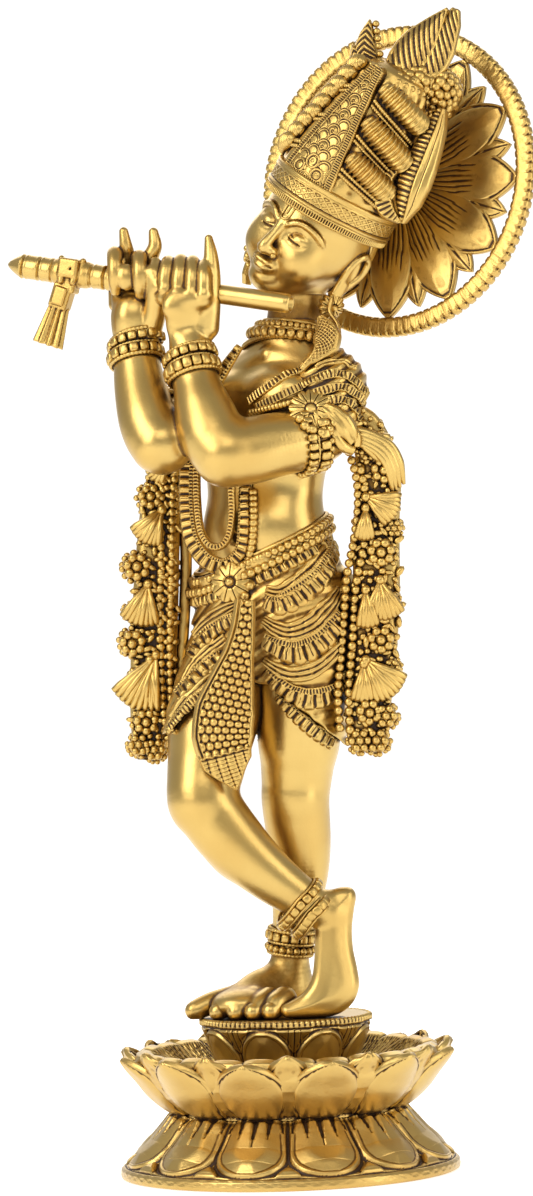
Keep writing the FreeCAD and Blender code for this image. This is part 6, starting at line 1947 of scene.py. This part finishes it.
# the crossing cloth on the back gets the same bands
for s in (-4.2, 0.0, 4.2):
    pts = flesh.settle(np.array([P(24 + s * 0.4, -10, 316), P(12 + s, -22, 306), P(-2 + s, -29, 292), P(-14 + s, -30, 276)]), 0.0, 12)
    lay(sh, pts, 1.7, hatch_fn(1.5, 0.6), P(-1, 0, 0) - P(0, 0, 0), m=18, pitch=0.4)
fan_c = px((311, 412))[0]
fan_n = unit(flesh.slope(fan_c[None], 2.5)[0] * 0.5 + unit(EYE - fan_c) * 0.5)
slit_flower(sh, fan_c + fan_n * 2.4, fan_n, (0, 0, 1), 8.6, 13, 1.2, 4.0)
rosette(sh, px((327, 425))[0] + fan_n * 1.0, fan_n, (0, 0, 1), 4.0, n=6)
beads(sh, px((297, 404), (301, 412), (300, 420), (305, 427), (313, 431), (321, 434)) + fan_n * 1.4, 1.9)
sh.piece("shoulder_bands_and_fan", M_ORN, "statue", ())

ear = Mesh()
for sgn, nm in ((1, "left"), (-1, "right")):
    e = Mesh()
    c0 = H(22.0 * sgn, -2.6, -19.0)
    nrm = unit(SIDE * sgn * 0.8 + FACE * 0.35)
    slit_flower(e, c0 + nrm * 1.0, nrm, UP, 5.2, 12, 1.6, 2.2)
    beads(e, [c0 + nrm * 2.8], 1.5)
    if sgn > 0:
        dl = [(322, 319), (327, 332), (326, 346), (318, 357), (309, 364), (303, 371)]
        ws = (19.0, 22.0, 24.5, 26.0, 26.0, 26.0)
        pts = [through(x, y, w) for (x, y), w in zip(dl, ws)]

        def drop_h(X, Y, e_, w, L):
            net = np.maximum(np.cos((X + Y) * 2 * math.pi / 1.7), np.cos((X - Y) * 2 * math.pi / 1.7))
            return 1.5 * np.sqrt(np.clip(1 - (X / w) ** 2, 0, 1)) + 0.3 * step(net, 0.4, 0.95) * step(e_, 1.0, 1.6) + 0.35 * bump1(e_, 0.5, 0.3)
        leaf(e, pts, (1.6, 4.0, 5.6, 5.2, 3.2, 1.8, 1.4), VIEW_N, 3.0, drop_h, drop_h, n=110, m=44)
        st = smooth_path([H(22.2, 0.0, -16), through(330, 312, 16), through(338, 326, 18), through(338, 344, 21), through(330, 356, 23)], 60)
        sweep(e, st, 1.5, hint=VIEW_N, nu=12, flat=0.6)
    else:
        pts = [H(-22.6, -6.0, -20), H(-22.6, -7.4, -26), H(-21.0, -8.6, -32)]
        leaf(e, pts, (1.4, 3.4, 3.8, 1.2), unit(-SIDE + FACE * 0.3), 2.6, lambda X, Y, e_, w, L: 1.0 * np.sqrt(np.clip(1 - (X / w) ** 2, 0, 1)), None, n=50, m=26)
    e.piece(nm + "_ear_drop", M_ORN, "statue", (nm + "_earring",))


# ------------------------------------------------------------------ hanging garlands
def tuft_fan(mesh, root, way, nrm, length, spread, ribs=7, r0=0.85, r1=1.6, curve=0.0):
    z = unit(nrm)
    y = unit(np.asarray(way, float) - z * np.dot(way, z))
    x = np.cross(y, z)
    for i in range(ribs):
        a = (i / (ribs - 1) - 0.5) * spread
        d = y * math.cos(a) + x * math.sin(a)
        tip = root + d * length * (1 - 0.10 * abs(a)) + z * 0.6 * math.cos(a * 2)
        midp = (root + tip) / 2 + z * (2.4 + 0.3 * math.cos(i * 2.1)) + x * curve * 1.5
        p = smooth_path([root, midp, tip], 14)
        sweep(mesh, p, np.interp(np.linspace(0, 1, 14), [0, 0.3, 0.85, 1], [r0, r0 * 1.25, r1, r1 * 0.75]), hint=z, nu=8)
    beads(mesh, [root + z * 0.8], 2.0)


def garland(name, node, st, ros, tufts, strings, seed, edge=None, w_off=4.2):
    g = Mesh()
    st = np.array(st, float)
    back = np.array([P(*r[:3]) for r in st])
    path = smooth_path(np.concatenate([back, st[:, 3:5]], 1), 150 // Q)
    # the cloth behind: flat, ribbed lengthwise
    nu = 26
    an = np.arange(nu) * 2 * math.pi / nu
    shp = np.stack([np.sign(np.cos(an)) * np.abs(np.cos(an)) ** 0.7, np.sin(an)], 1)
    out = smooth_path(path[:, :3], len(path))
    v = []
    for i in range(len(out)):
        t = unit(np.gradient(out, axis=0)[i])
        n_ = unit(P(0.0, 1, 0) - t * np.dot(P(0, 1, 0), t))
        x_ = np.cross(t, n_)
        wv = path[i, 3] * 0.80
        dv = path[i, 4] * 0.55
        rib = 1 + 0.10 * np.cos(shp[:, 0] * 9)
        v.append(out[i] + x_ * (shp[:, :1] * wv) + n_ * (shp[:, 1:] * dv * rib[:, None]))
    v = np.array(v)
    n, m = v.shape[:2]
    verts = np.concatenate([v.reshape(-1, 3), [v[0].mean(0), v[-1].mean(0)]])
    k = n * m
    q = grid_faces(n, m, False, True)
    i = np.arange(m)
    j = (i + 1) % m
    t1 = np.stack([np.full(m, k), j, i], 1)
    t2 = np.stack([np.full(m, k + 1), (n - 1) * m + i, (n - 1) * m + j], 1)
    vol = 0.0
    g.add(verts, [q, t1, t2])
    zs = st[::-1, 2]

    def depth_at(z):
        return float(np.interp(z, zs, st[::-1, 1]))

    def at(x, y, face_=1):
        w = depth_at(through(x, y, 0)[2]) + w_off * face_
        return through(x, y, w)
    rng = np.random.RandomState(seed)
    for face_ in (1, -1):
        nrm = P(0, face_, 0)
        for (x, y, R) in ros:
            tilt_ = unit(nrm + P(*(rng.rand(3) - 0.5)) * 0.35)
            c = at(x, y, face_)
            rosette(g, c, tilt_, (0, 0, 1), R, n=7 if R > 4.8 else 6, bead=0.35, core=0.34, pile=1.3)
            # smaller balls tucked round the flower
            x_, y_, z_ = frame_of(tilt_, (0, 0, 1))
            for i_ in range(8):
                t = 2 * math.pi * (i_ + rng.rand() * 0.4) / 8
                beads(g, [c + (x_ * math.cos(t) + y_ * math.sin(t)) * R * 1.03 - z_ * 1.6], R * 0.26, nu=8, nv=6)
        for (x0, y0, x1, y1, spread, nrib) in tufts:
            a, b = at(x0, y0, face_), at(x1, y1, face_)
            tuft_fan(g, a, b - a, nrm, float(np.linalg.norm(b - a)), spread, nrib)
        for pts, rr_ in strings:
            p = [at(x, y, face_ * 0.92) for x, y in pts]
            L_ = length_of(smooth_path(p, 60))
            beads(g, smooth_path(p, max(4, int(L_ / (rr_ * 1.85)))), rr_ * (1 + 0.05 * math.sin(seed)), nu=10, nv=7)
        # small flowers and buds packed over the cloth between them
        nz_ = int(length_of(out) / 3.0)
        mid_ = smooth_path(out, nz_)
        wid_ = np.interp(np.linspace(0, 1, nz_), np.linspace(0, 1, len(path)), path[:, 3])
        dep_ = np.interp(np.linspace(0, 1, nz_), np.linspace(0, 1, len(path)), path[:, 4])
        cs, rs_ = [], []
        for i_ in range(1, nz_ - 1):
            t = unit(mid_[i_ + 1] - mid_[i_ - 1])
            n_ = unit(nrm - t * np.dot(nrm, t))
            x_ = np.cross(t, n_) * face_
            cols = int(wid_[i_] * 1.7 / 3.1)
            for j_ in range(cols + 1):
                a_ = (j_ + 0.5 * (i_ % 2)) / max(cols, 1) * 2 - 1
                if abs(a_) > 0.99:
                    continue
                a_ += (rng.rand() - 0.5) * 0.18
                cs.append(mid_[i_] + x_ * a_ * wid_[i_] * 0.86 + n_ * dep_[i_] * (0.62 * math.sqrt(max(0.0, 1 - 0.75 * a_ * a_))) + t * (rng.rand() - 0.5) * 1.2)
                sp_ = rng.rand() * math.pi
                d_ = t * math.cos(sp_) + x_ * math.sin(sp_)
                e_ = np.cross(n_, d_)
                k_ = 1.15 + 0.5 * rng.rand()
                rs_.append(np.stack([d_ * k_ * (1.75 if rng.rand() < 0.45 else 1.05), e_ * k_ * 0.92, n_ * k_ * 1.1], 1))
        beads(g, np.array(cs), 1, axes=np.array(rs_), nu=8, nv=6)
    if edge is not None:
        p = smooth_path([at(x, y, -0.35) for x, y in edge], 90)
        sweep(g, p, 2.3, hint=P(1, 0, 0), nu=12, flat=0.55)
    if seed == 3:
        # the end of the shoulder cloth, folded over the top of the garland
        for off_, r_ in ((0.0, 2.0), (3.4, 2.1), (6.6, 1.9), (9.4, 1.6)):
            line = [(344, 431 + off_ * 0.9, 27), (358, 431 + off_ * 1.2, 28.5), (374, 436 + off_ * 1.5, 29), (390 - off_ * 0.6, 446 + off_ * 1.6, 28.5), (399 - off_ * 1.0, 462 + off_ * 1.3, 27), (404 - off_ * 1.2, 484 + off_, 24.5)]
            q_ = smooth_path([through(x, y, w) for x, y, w in line], 60)
            sweep(g, q_, np.interp(np.linspace(0, 1, 60), [0, 0.15, 0.75, 1], [r_ * 0.8, r_, r_, 0.7]), hint=VIEW_N, nu=12)
        kn_ = [through(x, y, w) for x, y, w in ((324, 409, 32), (333, 418, 33.5), (343, 429, 33), (350, 440, 30))]
        leaf(g, kn_, (3.2, 5.0, 5.6, 5.2, 3.6), VIEW_N, 4.0, lambda X, Y, e, w, L: 1.3 * np.sqrt(np.clip(1 - (X / w) ** 2, 0, 1)) + 0.24 * np.cos((X / w) * 9.5 + 0.25 * np.sin(Y * 0.5)) * step(e, 0.4, 1.6), None, n=60, m=48)
        cl_ = smooth_path([through(x, y, w) for x, y, w in ((329, 424, 33), (335, 436, 33.5), (343, 446, 32.5), (352, 450, 30))], 40)
        sweep(g, cl_, 2.3, hint=VIEW_N, nu=12)
        sweep(g, smooth_path([through(x, y, w) for x, y, w in ((352, 428, 31), (357, 436, 32), (357, 446, 31))], 24), 1.6, hint=VIEW_N, nu=10)
    g.piece(name, M_ORN, "statue", (node,))
    return g


garland("left_flower_garland", "left_garland",
        [(33.0, 22.5, 293.5, 6, 5), (38.5, 22.5, 288.5, 8, 5.5), (42.2, 21.5, 277, 10, 6), (43, 21, 266, 10.8, 6.4), (41.6, 20, 250, 11.2, 6.6), (40.5, 20, 221, 11.4, 6.6), (37.8, 20, 192, 11.0, 6.6), (35.0, 20, 173, 9.8, 6.0), (34.0, 20, 165, 6.5, 5.0)],
        [(384, 470, 5.3), (381, 552, 5.6), (381, 640, 5.4), (369, 712, 5.2), (386, 716, 4.6), (360, 741, 4.6), (377, 741, 4.8), (392, 668, 3.6), (368, 452, 3.6), (391, 600, 3.4), (394, 528, 3.4)],
        [(366, 497, 398, 512, 1.0, 8), (380, 580, 385, 620, 1.0, 9), (366, 660, 396, 694, 0.9, 8), (364, 664, 362, 702, 0.5, 5), (352, 436, 388, 450, 0.7, 6), (366, 508, 364, 540, 0.5, 5), (366, 590, 368, 628, 0.5, 5)],
        [([(349, 452), (356, 476), (358, 505), (354, 540), (347, 575), (344, 615), (341, 655), (338, 695), (340, 728)], 1.75),
         ([(361, 470), (366, 500), (365, 540), (357, 580), (354, 620), (351, 660), (349, 700), (350, 730)], 1.85)], 3)
garland("right_flower_garland", "right_garland",
        [(-33.5, -13.5, 291.5, 6, 5), (-38, -10.5, 279, 8.4, 5.6), (-41.6, -8.5, 263, 9.6, 6.2), (-43.6, -8, 244, 10.6, 6.4), (-45.2, -8, 224, 11.2, 6.6), (-47.2, -8, 195, 11.2, 6.6), (-48.6, -8, 173, 10.0, 6.2), (-49.2, -8, 162, 6.5, 5.0)],
        [(150, 497, 5.0), (137, 567, 5.6), (133, 643, 5.4), (146, 722, 5.2), (139, 745, 4.4), (155, 750, 4.4), (131, 612, 3.4), (160, 478, 3.4), (152, 527, 3.2), (131, 690, 3.2)],
        [(162, 510, 142, 542, 0.9, 8), (148, 584, 138, 626, 0.9, 8), (156, 655, 132, 708, 0.9, 9), (168, 462, 152, 480, 0.8, 5), (150, 660, 150, 708, 0.4, 5)],
        [([(172, 425), (170, 450), (163, 485), (160, 520), (161, 560), (160, 600), (161, 650), (162, 695), (166, 730)], 1.7),
         ([(180, 430), (176, 465), (172, 505), (172, 545), (171, 590), (170, 635), (170, 680), (172, 715)], 1.7)], 8,
        edge=[(182, 500), (186, 550), (185, 600), (182, 650), (178, 700), (176, 722)])

# ------------------------------------------------------------------ flute
fl = Mesh()
FR = np.stack(frame_of(FL, (0, 0, 1)), 1)
grooves = (77.1, 83.0, 99.3, 105.0, 111.9)
ss = np.concatenate([np.linspace(0, 72.8, 60), np.linspace(73.0, 119.4, 300 // Q)])
rad = []
for s in ss:
    r = 3.8 if s < 72.9 else 4.7
    if s < 1.2:
        r = 3.2 + 0.6 * math.sqrt(max(0.0, 1 - ((1.2 - s) / 1.2) ** 2))
    if 72.9 <= s < 74.0:
        r = 4.0 + 0.7 * math.sqrt(max(0.0, 1 - ((74.0 - s) / 1.1) ** 2))
    for g_ in grooves:
        r -= 0.75 * math.exp(-((s - g_) / 0.42) ** 2)
        r += 0.14 * math.exp(-((s - g_ + 1.1) / 0.5) ** 2) + 0.14 * math.exp(-((s - g_ - 1.1) / 0.5) ** 2)
    if s > 113.0:
        t = min(1.0, (s - 113.0) / 6.4)
        r = 4.7 * (1 - t) ** 0.62 * 0.93 + 0.3 * (1 - t)
    rad.append(max(r, 0.05))
turned(fl, np.stack([rad, ss], 1), 72 // Q, lambda th, s, L: 0 * th * s, [(0.02, 119.0), (0.02, 9.0), (2.4, 8.2), (2.4, 0.3), (2.9, -0.02)], centre=E0, axes=FR)
fl.piece("flute_pipe_and_tip", M_SKIN, "flute", ("flute_tube", "flute_barrel", "flute_pommel"))

DOWN_F = unit(np.array([0, 0, -1.0]) - FL * np.dot((0, 0, -1.0), FL))
FV = unit(np.cross(FL, DOWN_F))
if np.dot(FV, P(0, 1, 0)) < 0:
    FV = -FV
FAX = np.stack([FL, FV, DOWN_F], 1)
kc = E0 + FL * 91.5
kn = Clay(kc - 34, kc + 34, 0.3)
kn.cone(kc - FL * 5.2, kc + FL * 5.2, 5.3, 5.3)
kn.slab(kc + FV * 3.2 - DOWN_F * 1.8, (4.2, 3.6, 3.8), FAX, 1.2, k=0.8)
kn.slab(kc + FV * 1.5 + DOWN_F * 3.6 + FL * 0.6, (3.7, 3.4, 4.4), FAX, 1.0, k=1.0)
for s_, sg_ in ((-4.6, 1), (4.6, -1)):
    kn.cone(kc + FL * s_ + FV * 2.5 - DOWN_F * 5.2, kc + FL * (s_ * 0.55) + FV * 5.6 + DOWN_F * 3.4, 1.2, 1.2, k=0.7)
kn.cone(kc + FL * -5.4 - DOWN_F * 7, kc + FL * 0.0 + FV * 8.6, 0.5, 0.5, out=True)
v, f = kn.mesh()
make_piece("flute_cord_knot", v, f, M_ORN, "flute", ("flute_collar",))
tt_ = Clay(kc - 36, kc + 40, 0.3)
sw_ = unit(DOWN_F * 0.985 + FL * 0.17)
TX = np.stack([unit(np.cross(sw_, np.cross(FL, sw_))), FV, sw_], 1)
tc_ = kc + FL * 0.8 + FV * 1.8
tt_.slab(tc_ + sw_ * 9.6, (3.9, 3.2, 5.0), TX, 1.0)
tt_.slab(tc_ + sw_ * 9.6 + FV * 3.3, (2.6, 0.8, 3.6), TX, 0.6, k=0.4)


def skirt(X, Y, Z):
    q = [((X - tc_[0]) * TX[0, i] + (Y - tc_[1]) * TX[1, i] + (Z - tc_[2]) * TX[2, i]) for i in range(3)]
    t = np.clip((q[2] - 14.0) / 15.0, 0, 1)
    a, b = 3.9 + 2.1 * t, 3.0 + 1.2 * t
    ang_ = np.arctan2(q[1] / b, q[0] / a)
    k0 = np.sqrt((q[0] / a) ** 2 + (q[1] / b) ** 2)
    d = (k0 - 1) * b - 0.42 * np.cos(ang_ * 10)
    return np.maximum(d, np.maximum(13.6 - q[2], q[2] - 29.2 - 0.25 * np.cos(ang_ * 10)))


tt_.join(skirt, kc - 36, kc + 40, 0.3)
tt_.cone(tc_ + sw_ * 15.5 + FV * 4.6, tc_ + sw_ * 28.0 + FV * 5.6, 0.9, 1.6, k=0.3, out=True)
v, f = tt_.mesh()
make_piece("flute_hanging_tassel", v, f, M_ORN, "flute", ("flute_tassel",))

# ------------------------------------------------------------------ where the patina and the painted shade lie
def carve_of(me, co):
    """How far each vertex lies below its own surroundings, so engraved lines hold patina."""
    nv = len(co)
    ne = len(me.edges)
    ed = np.empty(ne * 2, np.int32)
    me.edges.foreach_get("vertices", ed)
    a, b = ed[0::2], ed[1::2]
    deg = np.maximum(np.bincount(a, minlength=nv) + np.bincount(b, minlength=nv), 1)
    no = np.empty(nv * 3, F32)
    me.vertices.foreach_get("normal", no)
    no = no.reshape(-1, 3)
    p = co.astype(np.float64)
    out = np.zeros(nv)
    for k in range(1, 11):
        s = np.stack([np.bincount(a, p[b, i], nv) + np.bincount(b, p[a, i], nv) for i in range(3)], 1) / deg[:, None]
        p = p * 0.25 + s * 0.75
        if k == 3:
            out += np.clip(((p - co) * no).sum(1) / 0.10, -0.6, 1.0) * 0.5
        if k == 10:
            out += np.clip(((p - co) * no).sum(1) / 0.26, -0.6, 1.0) * 0.5
    return np.clip(out, -0.3, 0.9)


def deepen():
    """Marks each vertex with how enclosed it is, from the blurred solid of all pieces together: patina in the hollows,
    and painted shade where pieces crowd each other.
    """
    vox = 0.75
    lo = np.array([1e9] * 3)
    hi = -lo
    for o in ALL:
        co = np.empty(len(o.data.vertices) * 3, F32)
        o.data.vertices.foreach_get("co", co)
        co = co.reshape(-1, 3) * 1000.0
        lo = np.minimum(lo, co.min(0))
        hi = np.maximum(hi, co.max(0))
    lo = lo - 6.0
    n = np.ceil((hi + 6.0 - lo) / vox).astype(int) + 1
    solid = np.zeros(tuple(n), F32)
    for o in ALL:
        me = o.data
        co = np.empty(len(me.vertices) * 3, F32)
        me.vertices.foreach_get("co", co)
        co = (co.reshape(-1, 3) * 1000.0 - lo) / vox
        me.calc_loop_triangles()
        tri = np.empty(len(me.loop_triangles) * 3, np.int32)
        me.loop_triangles.foreach_get("vertices", tri)
        tri = tri.reshape(-1, 3)
        try:
            g = vdb.FloatGrid.createLevelSetFromPolygons(co.astype(F32), triangles=tri.astype(np.uint32), halfWidth=2.0)
        except Exception as err:
            print("level set failed for", o.name, err)
            continue
        a = np.maximum(np.floor(co.min(0)).astype(int) - 2, 0)
        b = np.minimum(np.ceil(co.max(0)).astype(int) + 3, n)
        sub = np.zeros(tuple(b - a), F32)
        g.copyToArray(sub, ijk=tuple(int(x) for x in a))
        s = tuple(slice(i, j) for i, j in zip(a, b))
        solid[s] = np.maximum(solid[s], np.clip(0.5 - sub, 0, 1))

    def blur(x, r):
        k = 2 * r + 1
        for axis in range(3):
            c = np.cumsum(x, axis=axis, dtype=F32)
            pad = [(0, 0)] * 3
            pad[axis] = (r + 1, r)
            c = np.pad(c, pad, mode="edge")
            first = [slice(None)] * 3
            first[axis] = slice(0, r + 1)
            c[tuple(first)] = 0
            hi_s, lo_s = [slice(None)] * 3, [slice(None)] * 3
            hi_s[axis] = slice(k, None)
            lo_s[axis] = slice(0, -k)
            x = (c[tuple(hi_s)] - c[tuple(lo_s)]) / k
        return x
    near = blur(blur(solid, 1), 1)
    far = blur(blur(solid, 3), 2)

    def at(grid, q):
        q = np.clip(q, 0, np.array(grid.shape) - 1.001)
        i = np.floor(q).astype(int)
        f = (q - i).astype(F32)
        out = 0
        for dx in (0, 1):
            for dy in (0, 1):
                for dz in (0, 1):
                    w = (f[:, 0] if dx else 1 - f[:, 0]) * (f[:, 1] if dy else 1 - f[:, 1]) * (f[:, 2] if dz else 1 - f[:, 2])
                    out = out + w * grid[i[:, 0] + dx, i[:, 1] + dy, i[:, 2] + dz]
        return out
    for o in ALL:
        me = o.data
        nv = len(me.vertices)
        co = np.empty(nv * 3, F32)
        me.vertices.foreach_get("co", co)
        no = np.empty(nv * 3, F32)
        me.vertices.foreach_get("normal", no)
        no = no.reshape(-1, 3)
        co = co.reshape(-1, 3) * 1000.0
        q1 = (co + no * 0.9 - lo) / vox
        q2 = (co + no * 2.2 - lo) / vox
        d1 = at(near, q1)
        d2 = at(far, q2)
        # painted shade: darker where the blurred solid of all pieces encloses the vertex, added to the patina in the
        # hollows
        shade = np.maximum(0, d1 - 0.26) * 1.5 + np.maximum(0, d2 - 0.34) * 1.5
        if o.name.startswith("flute_"):
            # the flute slides through the hands, so the painted shade that the hands put on it is mostly left off
            shade = shade * 0.12
        # on the back of the halo the painted shade is cut to a fifth
        if o.name.startswith("halo_"):
            shade = shade * np.where(no @ FACE.astype(F32) < -0.2, 0.2, 1.0)
        cav = shade + carve_of(me, co)
        cav = cav * float(o.get("deep", 1.0)) + float(o.get("lift", 0.0))
        if o.name == "left_leg_skin":
            # the standing foot and lower leg darken towards the bottom: patina on the foot, and painted shade on the
            # lower leg
            cav = cav + 0.40 * np.clip((108.0 - co[:, 2]) / 26.0, 0, 1) * np.clip((co[:, 2] - 60.0) / 7.0, 0.35, 1)
        # painted shadow under the jaw: the neck darkens below z 343
        if o.name == "head_and_neck":
            cav = cav + 0.62 * np.clip((343.0 - co[:, 2]) / 8.0, 0, 1)
        cav = np.clip(cav, 0, 1)
        at_ = me.attributes.new("cav", "FLOAT", "POINT")
        at_.data.foreach_set("value", cav.astype(F32))


import time as _time
_t = _time.time()
# deep scales each piece's cav and lift adds to it; on the halo's lotus leaves the lift is partly painted shade, partly
# patina between the petals
for o in ALL:
    for nm, (deep, lift) in {"halo_lotus_leaves": (1.35, 0.27), "halo_outer_ring": (1.25, 0.08), "left_flower_garland": (1.35, 0.06), "right_flower_garland": (1.35, 0.08), "upper_lotus_tier": (1.5, 0.09),
                             "lower_lotus_tier": (1.15, 0.0), "crown_cap": (1.4, 0.12), "wrapped_garment": (1.3, 0.10), "garment_swags_and_fringes": (1.2, 0.0),
                             "left_crown_wound_rolls": (1.25, 0.0), "right_crown_wound_rolls": (1.25, 0.1), "shoulder_cloth": (1.3, 0.1), "bead_collar": (1.3, 0.1),
                             "crown_small_tuft": (1.1, 0.1), "top_pedestal": (1.1, 0.04), "crown_front_plate_scales": (1.25, 0.0), "crown_head_band": (1.2, 0.0)}.items():
        if o.name == nm:
            o["deep"], o["lift"] = deep, lift
deepen()
print("patina", round(_time.time() - _t, 1), "s; faces", sum(len(o.data.polygons) for o in ALL))

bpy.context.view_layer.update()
